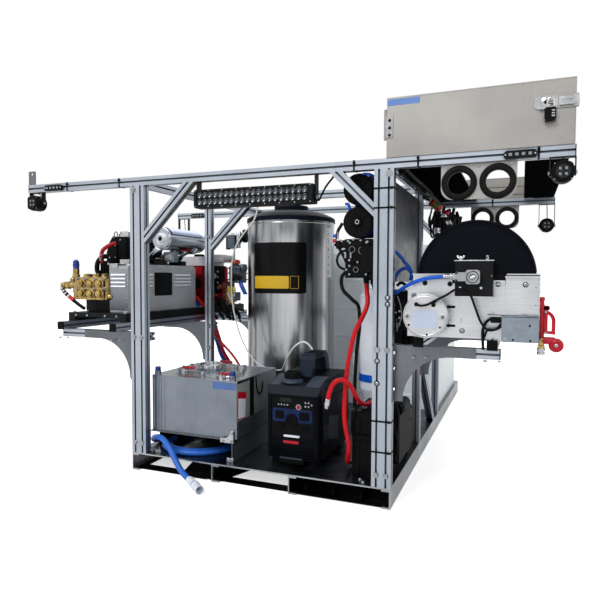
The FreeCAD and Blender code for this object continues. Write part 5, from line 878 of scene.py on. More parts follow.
# pump, engine and guard on the left shelf

pump = dict(left=-1066.65, right=-866.65, face=-1083.2, pitch=58, column=-1092.65, outletY=-1049.7)


def pumpDetails():
    middle = (pump["left"] + pump["right"]) / 2
    face = pump["face"]
    bm = bmesh.new()
    for k in (-1, 0, 1):
        x = middle + k * pump["pitch"]
        for z, across in ((812.9, 33), (863.3, 36)):
            lathe(bm, (x, face + 4, z), (0, -1, 0), [(0, 0), (23, 0), (23, 8), (20.5, 11), (17, 11), (0, 11)], 24)
            hexagon(bm, (x, face - 6, z), (0, -1, 0), across, 15)
            lathe(bm, (x, face - 21, z), (0, -1, 0), [(10.5, -0.4), (10.5, 1.4), (8.5, 2.6), (0, 2.6)], 18)
        for z, deep in ((838, 7), (786, 5)):
            block(bm, (x - 27, face - deep, z - 5), (x + 27, face + 2, z + 5))
        lathe(bm, (x, -1045, 890), (0, 0, 1), [(0, 0), (20, 0), (20, 9), (16, 12), (0, 12)], 24)
        hexagon(bm, (x, -1045, 900), (0, 0, 1), 27, 13)
    lathe(bm, (pump["left"] - 16, -1064, 797), (1, 0, 0), [(0, 0), (14, 0), (17, 4), (17, 12), (14.5, 15), (14.5, 217),
                                                          (17, 220), (17, 228), (14, 232), (0, 232)], 24)
    for x, out in ((pump["left"] - 16, -1), (pump["right"] + 16, 1)):
        hexagon(bm, (x - out * 2, -1064, 797), (out, 0, 0), 24, 9)
    for x in (pump["left"] - 7, pump["right"] - 3):
        prism(bm, rounded(-1080, 800, -1014, 892, 12), "x", x, 10)
    make("pump_valve_caps", bm, "skid", "castBrass", 0.9)

    bm = bmesh.new()
    for k in (-1.5, -0.5, 0.5, 1.5):
        for z in (838, 886):
            at = (middle + k * pump["pitch"], face, z)
            lathe(bm, at, (0, -1, 0), [(0, 0), (8, 0), (8, 2), (6.4, 2), (6.4, 9), (5.4, 10), (3.2, 10), (3.2, 5),
                                       (0, 5)], 16)
    for y in (-1068, -1026):
        for z in (812, 880):
            hexagon(bm, (pump["left"] - 7, y, z), (-1, 0, 0), 11, 6)
    make("pump_head_bolts", bm, "skid", "zincSteel", 0.3)

    bm = bmesh.new()  # unloader: turned brass steps, steel lock rings, elbow to the outlet hose
    x, y = pump["column"], pump["outletY"]
    lathe(bm, (x, y, 812), (0, 0, 1), [(0, 0), (13, 0), (18, 5), (18, 16), (16.2, 18), (16.2, 34), (20, 36), (20, 58),
                                       (16.2, 60), (16.2, 84), (19, 86), (19, 98), (14.5, 101), (14.5, 118), (11, 120),
                                       (11, 125.8), (0, 125.8)], 28)
    hexagon(bm, (x, y, 798), (0, 0, 1), 24, 16)
    lathe(bm, (x, y - 14, 880), (0, -1, 0), [(0, 0), (9, 0), (9, 8), (12, 9), (12, 17), (8, 19), (0, 19)], 20)
    rod(bm, (x - 14, y, 852), (x - 70, y, 852), 17)
    hexagon(bm, (x - 40, y, 852), (-1, 0, 0), 38, 16)
    lathe(bm, (x - 66, y, 852), (-1, 0, 0), [(0, 0), (19, 0), (19, 10), (14, 14), (11, 22), (0, 22)], 24)
    make("unloader_body", bm, "skid", "castBrass", 0.5)
    bm = bmesh.new()
    for z in (940.5, 950, 966, 976):
        torus(bm, (x, y, z), (0, 0, 1), 14.6, 1.1, 28, 0, 8)
    studs(bm, (x, y), 15, 14, 952, 964, 1.3, 8)
    lathe(bm, (x, y, 979), (0, 0, 1), [(0, 0), (9.6, 0), (9.6, 5), (8, 7), (0, 7)], 20, 1)
    make("unloader_knob_grip", bm, "pressure_knob", "blueAnodised zincSteel", 0)

    bm = bmesh.new()  # outlet hose from the elbow down to the frame: black, with steel collars and a red piece
    hose = smooth([(-1181, -1060, 838), (-1152, -1068, 814), (-1108, -1074, 788), (-1064, -1076, 760),
                   (-1022, -1070, 734)])
    sweep(bm, hose, 9, 14)
    for spot, wide in ((1, 12.5), (4, 11.5), (7, 12), (10, 11.5)):
        lathe(bm, hose[spot], hose[spot + 1] - hose[spot], [(9, 0), (wide, 0.6), (wide, 9), (9, 10)], 20, 1)
    sweep(bm, hose[11:16], 10.6, 14, 2)
    make("pump_outlet_hose", bm, "skid", "blackRubber polishedSteel redPvcHose", 0)

    bm = bmesh.new()  # dark blocks in the gaps between the valve chambers: painted shade
    for k in (-1.5, -0.5, 0.5, 1.5):
        block(bm, (middle + k * pump["pitch"] - 4, face - 1.4, 792), (middle + k * pump["pitch"] + 4, face + 2, 884))
    block(bm, (middle - 90, face - 1.4, 826), (middle + 90, face + 2, 831))
    make("pump_head_gap_shade", bm, "skid", "powderCoat", 0)

    bm = bmesh.new()  # black crankcase: cover plate, ribs, sight glass and filler
    x0, x1 = pump["left"], pump["right"]
    prism(bm, rounded(-1000, 728, -838, 896, 22), "x", x0 - 8, 8.2)
    for k in range(9):
        y = -996 + 19 * k
        block(bm, (x0 + 8, y, 903), (x1 - 8, y + 4, 912))
    for x in (x0 + 10, x1 - 18):
        block(bm, (x, -1006, 719.8), (x + 8, -834, 742))
    lathe(bm, (x0 - 8, -919, 790), (-1, 0, 0), [(0, 0), (17, 0), (17, 5), (12, 6), (12, 3), (0, 3)], 24, 1)
    lathe(bm, (middle + 44, -920, 904), (0, 0, 1), [(0, 0), (15, 0), (15, 12), (19, 14), (19, 24), (15, 28), (0, 28)],
          20, 2)
    for y in (-990, -919, -848):
        for z in (738, 886):
            hexagon(bm, (x0 - 8, y, z), (-1, 0, 0), 12, 6, 1)
    make("crankcase_cover", bm, "skid", "powderCoat zincSteel mouldedNylon", 0.8)


engine = dict(cleaner=(-964.65, -639.2))


def engineDetails():
    cx, cy = engine["cleaner"]
    bm = bmesh.new()  # finned cylinders under their tin shrouds
    for y in (-795.2, -603.2):
        for k in range(7):
            z = 922 + 8.2 * k
            prism(bm, rounded(cx - 68, y - 8, cx + 68, y + 128, 18), "z", z, 3.2)
    make("cylinder_fins", bm, "skid", "castAluminium", 0.4)
    bm = bmesh.new()
    for y in (-795.2, -603.2):
        prism(bm, rounded(cx - 52, y + 6, cx + 52, y + 114, 20), "z", 979.6, 16)
        for dx in (-40, 40):
            for dy in (18, 102):
                hexagon(bm, (cx + dx, y + dy, 995.6), (0, 0, 1), 10, 5, 1)
    block(bm, (-1068, -812, 735), (-1058, -466, 900))
    for k in range(9):
        block(bm, (-1071, -800 + 38 * k, 745), (-1067, -784 + 38 * k, 890))
    prism(bm, rounded(-806, 742, -474, 904, 30), "x", -866.6, 14)
    make("valve_covers", bm, "skid", "powderCoat zincSteel", 1.2)

    bm = bmesh.new()  # fan screen: rings and spokes over the flywheel
    x, z = -1108.65, 819.65
    for radius in (16, 30, 44, 58, 72, 86):
        torus(bm, (x - 2, cy, z), (1, 0, 0), radius, 2, 40, 0, 6)
    for k in range(8):
        angle = math.pi * k / 4
        out = Vector((0, math.cos(angle), math.sin(angle)))
        rod(bm, Vector((x - 2, cy, z)) + out * 12, Vector((x - 2, cy, z)) + out * 88, 2.4, 8)
    lathe(bm, (x + 1, cy, z), (-1, 0, 0), [(0, 0), (18, 0), (18, 7), (12, 10), (0, 10)], 24)
    lathe(bm, (x, cy, z), (-1, 0, 0), [(86, -2), (94, 0), (95, 5), (90, 8), (86, 5)], 48, 0, True)
    make("fan_screen", bm, "skid", "powderCoat", 0)

    bm = bmesh.new()  # air cleaner: ribbed cover, clamp band, wing knob
    for k in range(24):
        angle = 2 * math.pi * k / 24
        out = Vector((math.cos(angle), math.sin(angle), 0))
        rod(bm, Vector((cx, cy, 1010)) + out * 87, Vector((cx, cy, 1088)) + out * 87, 3.2, 8)
    torus(bm, (cx, cy, 1093), (0, 0, 1), 87, 3, 48, 0, 8)
    torus(bm, (cx, cy, 1000), (0, 0, 1), 85, 3.4, 48, 1, 8)
    lathe(bm, (cx, cy, 1119.6), (0, 0, 1), [(0, 0), (30, 0), (26, 5), (12, 7), (12, 18), (9, 22), (0, 22)], 28)
    for side in (-1, 1):
        block(bm, (cx + side * 10 - 9, cy - 3, 1128), (cx + side * 10 + 9, cy + 3, 1141))
    make("air_cleaner_cover", bm, "skid", "mouldedNylon zincSteel", 0.6)

    bm = bmesh.new()  # carburettor and intake between the cylinders and the muffler, with its grey box
    block(bm, (-892, -668, 982), (-842, -612, 1022))
    lathe(bm, (-892, -640, 1006), (-1, 0, 0), [(0, 0), (18, 0), (18, 6), (13, 8), (13, 26), (0, 26)], 24)
    for y in (-662, -618):
        for z in (988, 1016):
            hexagon(bm, (-842, y, z), (1, 0, 0), 9, 5, 1)
    for y, wide in ((-700, 30), (-560, 44), (-500, 30)):
        block(bm, (-866, y, 962), (-866 + wide * 2, y + wide, 990))
    prism(bm, rounded(-838, 982, -768, 1040, 5), "y", -648, 44, 2)
    prism(bm, rounded(-826, 992, -782, 1030, 4), "y", -651, 3, 1)
    for x, z in ((-832, 988), (-774, 988), (-832, 1034), (-774, 1034)):
        lathe(bm, (x, -648, z), (0, -1, 0), [(0, 2.4), (3, 2), (4.2, 0)], 12, 1)
    rod(bm, (-836, -720, 1000), (-836, -560, 1000), 4, 10, 1)
    make("carburettor", bm, "skid", "powderCoat zincSteel galvanisedSheet", 0.8)

    bm = bmesh.new()  # black blower shroud with a bright lid and a wire loop
    prism(bm, [(-1085, 985), (-955, 985), (-955, 1118), (-1030, 1118), (-1062, 1096), (-1085, 1034)], "y", -830, 130)
    prism(bm, [(-1070, 996), (-1010, 996), (-1010, 1080), (-1044, 1080), (-1070, 1040)], "y", -836, 7)
    block(bm, (-1082, -829, 962), (-940, -702, 990))
    block(bm, (-1066, -902, 905), (-996, -832, 984))
    for k in range(4):
        block(bm, (-1062 + 17 * k, -906, 912), (-1054 + 17 * k, -900, 978))
    hexagon(bm, (-1008, -902, 968), (0, -1, 0), 13, 6, 1)
    for x, z in ((-1060, 1004), (-1020, 1004), (-1020, 1070), (-990, 1100)):
        lathe(bm, (x, -836 if z < 1090 else -830, z), (0, -1, 0), [(0, 3), (4, 2.4), (5, 0)], 12, 1)
    block(bm, (-1030, -800, 1118), (-962, -730, 1136), 2)
    prism(bm, rounded(-1024, 1136, -968, 1150, 5), "y", -792, 50, 2)
    torus(bm, (-1040, -806, 1132), (0.3, 1, 0), 15, 2.6, 24, 0, 8)
    sweep(bm, smooth([(-1052, -808, 1124), (-1066, -812, 1104), (-1062, -826, 1070)]), 3, 8)
    make("blower_shroud", bm, "skid", "mouldedNylon zincSteel polishedSteel", 1.2)

    bm = bmesh.new()  # red hose over the shroud, a thick black one beside it, thin leads
    red = smooth([(-1056, -896, 976), (-1054, -906, 1002), (-1044, -908, 1038), (-1016, -896, 1064),
                  (-984, -872, 1080)])
    sweep(bm, red, 10.5, 14)
    for spot in (3, 5, 8):
        lathe(bm, red[spot], red[spot + 1] - red[spot], [(10.4, 0), (12.6, 0.6), (12.6, 7), (10.4, 8)], 20, 2)
    sweep(bm, smooth([(-1030, -880, 1010), (-1058, -896, 1004), (-1084, -900, 976), (-1094, -896, 936),
                      (-1080, -890, 900)]), 13, 14, 1)
    sweep(bm, smooth([(-1048, -880, 960), (-1080, -880, 930), (-1098, -870, 880), (-1090, -850, 820),
                      (-1066, -812, 770)]), 6, 10, 1)
    sweep(bm, smooth([(-1040, -742, 996), (-1080, -700, 1020), (-1104, -640, 990), (-1096, -580, 960),
                      (-1040, -545, 990)]), 4.5, 10, 1)
    make("engine_leads", bm, "skid", "redAbs blackRubber zincSteel", 0)


exhaust = dict(x=-794.6, z=1108.55, front=-739.2, back=-344.2, radius=61)


def mufflerDetails():
    x, z, radius = exhaust["x"], exhaust["z"], exhaust["radius"]
    front, back = exhaust["front"], exhaust["back"]
    bm = bmesh.new()  # rolled rims, the spun end face and its outlet
    for y in (front + 17, back - 18):
        torus(bm, (x, y, z), (0, 1, 0), radius - 0.4, 2.2, 64, 0, 8)
    lathe(bm, (x, front + 14, z), (0, -1, 0), [(24, 0), (25, 1.6), (34, 2.6), (50, 2.4), (57, 0.6), (57, -1)], 56, 1)
    lathe(bm, (x, front + 13.6, z), (0, -1, 0), [(20, 0), (24, 1), (24, 14), (21, 16.6), (18.5, 14), (18.5, 0)], 32, 1,
          True)
    lathe(bm, (x, front + 14.4, z), (0, -1, 0), [(0, 0.4), (12, 0.4), (20.6, 1), (20.6, 15), (19, 15), (16, 4), (0, 4)],
          28, 2)
    torus(bm, (x, front + 11.4, z), (0, 1, 0), 42, 1.6, 56, 0, 6)
    make("muffler_rims", bm, "skid", "polishedCan passivatedAluminium blackRubber", 0)
    bm = bmesh.new()  # heat shield: a sheet bent over the can, with a lip along each edge
    angles = [math.radians(a) for a in range(24, 153, 8)]
    outline = [(x + (radius + 5.4) * math.cos(a), z + (radius + 5.4) * math.sin(a)) for a in angles]
    outline += [(x + (radius + 4) * math.cos(a), z + (radius + 4) * math.sin(a)) for a in reversed(angles)]
    prism(bm, outline, "y", front + 34, back - front - 84)
    for a in (angles[0], angles[-1]):
        px, pz = x + (radius + 5) * math.cos(a), z + (radius + 5) * math.sin(a)
        rod(bm, (px, front + 34, pz), (px, back - 50, pz), 2.2, 10)
    make("muffler_heat_shield", bm, "skid", "skyReflectionStainless", 0)
    bm = bmesh.new()  # pale header pipes from the cylinders up to the can
    for pipe, wide in ((smooth([(x - 132, -690, 968), (x - 122, -700, 990), (x - 98, -702, 1018), (x - 56, -702, 1046),
                                (x - 20, -696, 1062)]), 18),
                       (smooth([(x - 86, -450, 976), (x - 56, -450, 1022), (x - 14, -450, 1044), (x + 30, -446, 1046),
                                (x + 46, -440, 1068)]), 11)):
        sweep(bm, pipe, wide, 18)
        lathe(bm, pipe[1], (0.4, 0, 1), [(0, -3), (wide + 7, -3), (wide + 7, 5), (wide, 6)], 24)
    for y in (-575, -480):  # folded brackets that hold the can on the engine
        prism(bm, [(x - 70, 1000), (x - 34, 1000), (x - 20, 1056), (x - 44, 1072), (x - 52, 1066), (x - 50, 1030),
                   (x - 70, 1010)], "y", y, 4)
        hexagon(bm, (x - 58, y, 1012), (0, -1, 0), 12, 6)
        hexagon(bm, (x - 36, y, 1048), (0, -1, 0), 12, 6)
    make("exhaust_headers", bm, "skid", "polishedCan", 0.4)


guard = dict(face=-745.65, end=-1069.2, low=847.9, pitch=19, side=((-1029.2, -879.2), (-674.2, -524.2)),
             front=(-846.15, -760.15))


def guardDetails():
    bm = bmesh.new()
    for k in range(4):
        z = guard["low"] + guard["pitch"] * k + 6
        for y0, y1 in guard["side"]:
            arc = [(guard["face"] + 7.5 * math.sin(a),
                    z + 2.4 - 9.4 * (1 - math.cos(a))) for a in (math.pi * i / 14 for i in range(8))]
            outline = arc + [(px - 1.2, pz + 0.4) for px, pz in reversed(arc)]
            prism(bm, outline, "y", y0 - 2, y1 - y0 + 4)
            for y in (y0 - 2, y1 + 1.2):
                prism(bm, [(guard["face"], z + 2.4)] + arc[1:] + [(guard["face"], z - 6)], "y", y, 0.8)
        x0, x1 = guard["front"]
        arc = [(guard["end"] - 7.5 * math.sin(a),
                z + 2.4 - 9.4 * (1 - math.cos(a))) for a in (math.pi * i / 14 for i in range(8))]
        prism(bm, arc + [(py + 1.2, pz + 0.4) for py, pz in reversed(arc)], "x", x0 - 2, x1 - x0 + 4)
        for x in (x0 - 2, x1 + 1.2):
            prism(bm, [(guard["end"], z + 2.4)] + arc[1:] + [(guard["end"], z - 6)], "x", x, 0.8)
    make("guard_louvres", bm, "skid", "passivatedAluminium", 0)
    bm = bmesh.new()
    prism(bm, rounded(-858, 797, -700, 922, 5), "x", guard["face"], 1.0)
    make("guard_label_plate", bm, "skid", "blackVinyl", 0.3)
    bm = bmesh.new()
    for y in (-1050, -640, -484):  # folded feet and bolts at the lower edge, rivets down the corner
        block(bm, (guard["face"], y - 16, 719.8), (guard["face"] + 20, y + 16, 722.2))
        hexagon(bm, (guard["face"] + 10, y, 722), (0, 0, 1), 12, 7, 1)
    for z in (735, 790, 840):
        lathe(bm, (guard["face"] - 12, guard["end"], z), (0, -1, 0), [(0, 2.6), (3, 2.2), (5, 0)], 14, 1)
    for y in (-1056, -478):
        for z in (740, 940):
            lathe(bm, (guard["face"], y, z), (1, 0, 0), [(0, 2.6), (3, 2.2), (5, 0)], 14, 1)
    block(bm, (-858, -1070.4, 719.8), (-748, -1068.8, 729))
    block(bm, (-858, -1064, 961.4), (-772, -1002, 964))  # folded bracket on top of the front end
    block(bm, (-858, -1072, 938), (-808, -1069.6, 964))
    block(bm, (-848, -1004, 961.4), (-790, -1001, 986))
    make("guard_feet", bm, "skid", "brushedStainless zincSteel", 0.4)


def frameDetails():
    bm = bmesh.new()  # bolts and washers of the two black machine frames
    for x in (-1029, -716):
        for y in (-1129, -870, -450, -359, -160, 40):
            hexagon(bm, (x, y, 719.8), (0, 0, 1), 13, 7, 1)
            lathe(bm, (x, y, 719.7), (0, 0, 1), [(0, 0), (11, 0), (11, 1.4), (0, 1.4)], 20, 1)
    for y in (-1149.4, -429.2, 60.8):
        side = -1 if y < -1000 else 1
        for x in (-1000, -930, -820, -750):
            hexagon(bm, (x, y if side < 0 else y - 0.2, 706.6), (0, side, 0), 10, 4, 1)
    make("machine_frame_bolts", bm, "skid", "powderCoat zincSteel", 0)


redEngine = dict(x=(-1000.6, -780.6), starter=(-890.6, -349.2, 849.65))


def redEngineDetails():
    cx, cy, cz = redEngine["starter"]
    bm = bmesh.new()  # recoil starter: pressed rings, slots and a black handle
    for radius, lift in ((94, 2.6), (72, 2), (50, 2)):
        torus(bm, (cx, cy, cz), (0, 1, 0), radius, lift, 48, 0, 8)
    for k in range(12):
        angle = 2 * math.pi * k / 12
        out = Vector((math.cos(angle), 0, math.sin(angle)))
        a, b = Vector((cx, cy - 0.6, cz)) + out * 55, Vector((cx, cy - 0.6, cz)) + out * 68
        rod(bm, a, b, 3.4, 8, 1)
    lathe(bm, (cx, cy, cz), (0, -1, 0), [(0, 0), (22, 0), (20, 5), (0, 6)], 28, 1)
    block(bm, (cx - 42, cy - 16, cz + 84), (cx + 4, cy - 2, cz + 98), 1)
    make("recoil_starter_rings", bm, "skid", "redEnamel mouldedNylon", 0.6)
    bm = bmesh.new()  # tank cap, muffler guard, air filter, side cover
    x0, x1 = redEngine["x"]
    lathe(bm, (-890, -190, 1027.6), (0, 0, 1), [(0, 0), (30, 0), (32, 3), (32, 14), (28, 18), (0, 18)], 28, 1)
    studs(bm, (-890, -190), 32, 18, 1030, 1041, 1.8, 6, 1)
    torus(bm, (-890, -170, 1001), (0, 0, 1), 100, 3, 48, 0, 8)
    for k in range(5):
        block(bm, (x1, -300 + 24 * k, 880), (x1 + 3, -284 + 24 * k, 950), 1)
    prism(bm, rounded(-176, 880, -60, 962, 18), "x", x1, 9, 1)
    prism(bm, rounded(-180, 740, -56, 860, 14), "x", x1, 4, 0)
    block(bm, (x0 - 5, -300, 760), (x0 + 1, -70, 930), 0)
    for y in (-170, -66):
        hexagon(bm, (x1 + 4, y, 752), (1, 0, 0), 11, 6, 2)
    make("red_engine_covers", bm, "skid", "redEnamel mouldedNylon zincSteel", 1.0)
    bm = bmesh.new()  # second pump: brass head with caps and a brass manifold
    for k in (-1, 0, 1):
        for z in (760, 812):
            lathe(bm, (-680, -174 + 42 * k, z), (1, 0, 0), [(0, 0), (17, 0), (17, 7), (0, 7)], 20)
            hexagon(bm, (-673, -174 + 42 * k, z), (1, 0, 0), 24, 10)
        hexagon(bm, (-720, -174 + 42 * k, 869.6), (0, 0, 1), 22, 12)
    rod(bm, (-700, -262, 838), (-700, -86, 838), 13)
    hexagon(bm, (-700, -256, 838), (0, -1, 0), 26, 10)
    lathe(bm, (-730, -250, 782.55), (0, -1, 0), [(0, 0), (12, 0), (12, 12), (0, 12)], 20)
    make("second_pump_caps", bm, "skid", "castBrass", 0.5)
    bm = bmesh.new()  # two bands of yellow webbing round the pump
    for loop in (((-640, -250, 842), (-634, -256, 815), (-626, -258, 780), (-622, -256, 735)),
                 ((-606, -250, 838), (-596, -256, 815), (-592, -258, 780), (-590, -256, 742))):
        band = smooth(loop)
        for a, b in zip(band, band[1:]):
            across, thick = Vector((9, 3, 0)), Vector((0.6, -1.4, 0))
            corners = [bm.verts.new(p) for p in (a - across, a + across, b + across, b - across, a - across + thick,
                                                 a + across + thick, b + across + thick, b - across + thick)]
            for side in ((0, 1, 2, 3), (4, 7, 6, 5), (0, 3, 7, 4), (1, 5, 6, 2)):
                bm.faces.new([corners[i] for i in side])
    make("yellow_strap", bm, "skid", "yellowWebbing")


def secondSetDetails():
    bm = bmesh.new()  # black cooling grille and black side works of the red engine
    lathe(bm, (-815, -350, 860), (0, -1, 0), [(0, 0), (37, 0), (37, 5), (30, 6), (28, 2), (0, 2)], 36)
    for radius in (10, 18, 26):
        torus(bm, (-815, -353, 860), (0, 1, 0), radius, 1.4, 28, 0, 6)
    block(bm, (-780, -262, 800), (-692, -180, 968))
    for z in (822, 856, 890, 924):
        block(bm, (-776, -268, z), (-700, -260, z + 16))
        hexagon(bm, (-706, -268, z + 8), (0, -1, 0), 13, 5, 1)
    lathe(bm, (-735, -262, 905), (0, -1, 0), [(0, 0), (18, 0), (18, 8), (12, 10), (0, 10)], 24, 1)
    for z in (760, 730):
        rod(bm, (-790, -272, z), (-700, -268, z), 7, 12)
    make("red_engine_works", bm, "skid", "mouldedNylon zincSteel", 0.8)

    bm = bmesh.new()  # pale fuel tank over the engine's right end
    prism(bm, rounded(-800, 990, -668, 1040, 14), "y", -262, 150)
    block(bm, (-800, -264, 1012), (-668, -108, 1016))
    make("second_fuel_tank", bm, "skid", "castAluminium", 2.0)

    bm = bmesh.new()  # grey pump beside it: body, domes, flanges, orange filler cap
    prism(bm, rounded(-662, 862, -588, 968, 8), "y", -206, 96)
    for z in (880, 920, 952):
        prism(bm, rounded(-668, z, -580, z + 8, 4), "y", -212, 108)
    lathe(bm, (-640, -158, 966), (0, 0, 1), [(0, 0), (26, 0), (26, 10), (18, 18), (0, 18)], 28)
    lathe(bm, (-588, -158, 936), (0, 0, 1), [(0, 0), (26, 0), (28, 34), (22, 44), (0, 48)], 28)
    lathe(bm, (-625, -206, 900), (0, -1, 0), [(0, 0), (24, 0), (24, 10), (16, 14), (0, 14)], 28, 2)
    lathe(bm, (-585, -200, 895), (0, -1, 0), [(0, 0), (16, 0), (16, 22), (0, 22)], 24, 2)
    lathe(bm, (-640, -158, 984), (0, 0, 1), [(0, 0), (30, 0), (30, 14), (22, 26), (0, 28)], 28, 1)
    for x in (-654, -596):
        for z in (874, 956):
            hexagon(bm, (x, -206, z), (0, -1, 0), 10, 5, 3)
    make("second_pump_body", bm, "skid", "paintedCasting orangePet powderCoat zincSteel", 1.0)

    bm = bmesh.new()  # grey device with its black valve on a pipe above the pump
    rod(bm, (-650, -158, 1008), (-650, -158, 1092), 6, 14)
    block(bm, (-690, -176, 1084), (-640, -130, 1168), 1)
    block(bm, (-704, -170, 1076), (-690, -136, 1160), 2)
    for z in (1078, 1172):
        hexagon(bm, (-665, -153, z), (0, 0, 1), 26, 10)
    lathe(bm, (-619, -153, 1084), (0, 0, 1), [(0, 0), (12, 0), (12, 26), (19, 34), (19, 92), (14, 104), (0, 104)], 24)
    rod(bm, (-642, -153, 1150), (-566, -153, 1150), 9, 14, 2)
    lathe(bm, (-592, -153, 1150), (1, 0, 0), [(0, 0), (26, 0), (32, 6), (32, 26), (26, 34), (0, 34)], 24, 2)
    lathe(bm, (-572, -153, 1180), (0, 0, 1), [(0, 0), (20, 0), (20, 16), (12, 20), (0, 20)], 20, 2)
    make("second_pump_regulator", bm, "skid", "polishedSteel paintedCasting mouldedNylon", 0.8)

    bm = bmesh.new()  # blue lines down from the pump, dark hoses lying along the shelf
    for shift in (0, 16):
        sweep(bm, smooth([(-596 + shift, -200, 884), (-582 + shift, -206, 850), (-564 + shift, -208, 815),
                          (-552 + shift, -206, 790)]), 6.4, 12)
    for start, mid, end, wide in (((-722, -300, 718), (-650, -280, 700), (-560, -250, 668), 9),
                                  ((-722, -250, 728), (-640, -240, 716), (-540, -236, 690), 7),
                                  ((-700, -330, 706), (-640, -320, 690), (-590, -300, 640), 8),
                                  ((-600, -262, 740), (-580, -270, 700), (-530, -300, 630), 6)):
        sweep(bm, smooth([start, mid, end]), wide, 12, 1)
    for k in range(5):
        rod(bm, (-716 + 22 * k, -346, 690), (-716 + 22 * k, -330, 716), 7, 10, 1)
    random.seed(43)
    for k in range(14):
        start = Vector((random.uniform(-716, -600), random.uniform(-340, -250), random.uniform(700, 780)))
        end = Vector((start.x + random.uniform(20, 90), start.y + random.uniform(-20, 10), random.uniform(632, 690)))
        middle = (start + end) / 2 + Vector((random.uniform(-30, 30), -10, random.uniform(-10, 30)))
        sweep(bm, smooth([start, middle, end]), random.choice((5, 7, 9)), 12, 1)
    make("second_set_hoses", bm, "skid", "blueNylonTube blackRubber", 0)
    bm = bmesh.new()  # red guards of the engine, a grey block and a white lead beside the pump
    prism(bm, rounded(-838, 912, -784, 958, 8), "y", -330, 10)
    rod(bm, (-672, -222, 872), (-672, -222, 958), 9, 16)
    block(bm, (-612, -262, 752), (-574, -214, 806), 1)
    block(bm, (-606, -266, 764), (-588, -260, 792), 2)
    for z in (758, 800):
        hexagon(bm, (-592, -262, z), (0, -1, 0), 12, 6, 2)
    sweep(bm, smooth([(-640, -268, 800), (-622, -276, 776), (-600, -276, 740), (-590, -270, 712)]), 5, 12, 3)
    make("second_set_blocks", bm, "skid", "redAbs paintedCasting polishedSteel whitePvc", 0.8)

    bm = bmesh.new()  # red and blue feed hoses over the edge of the shelf and down beside the post, tied once
    route = [(-850, -404, 790), (-800, -404, 776), (-760, -404, 746), (-716, -404, 704), (-676, -406, 668),
             (-650, -414, 622),
             (-630, -420, 571), (-608, -420, 510), (-588, -420, 452), (-550, -420, 395), (-497, -418, 326),
             (-440, -416, 240)]
    for shift, slot, wide in (((4, 0, 8), 0, 10.5), ((-14, 4, -12), 1, 10.5), ((-4, 26, -20), 2, 7)):
        sweep(bm, smooth([Vector(p) + Vector(shift) for p in route]), wide, 14, slot)
    for at, way in (((-600, -412, 480), (0.4, 0, -1)), ((-520, -410, 352), (0.6, 0, -1))):
        torus(bm, at, way, 22, 1.6, 28, 2, 6)
    make("feed_hose_bundle", bm, "skid", "redPvcHose blueNylonTube blackRubber", 0)


pumpDetails()
engineDetails()
mufflerDetails()
guardDetails()
frameDetails()
redEngineDetails()
secondSetDetails()
print("machines on the left shelf are dressed")


# fuel tank

tank = dict(x=(-533.4, -85.4), y=(-1171.2, -757.2), z=(184.55, 440.55), bungs=((-513.4, -1149.2), (-123.4, -1137.2)),
            neck=(-343.4, -953.2), valves=((-195.4, -1111.2), (-451.4, -1031.2), (-377.4, -797.2)))


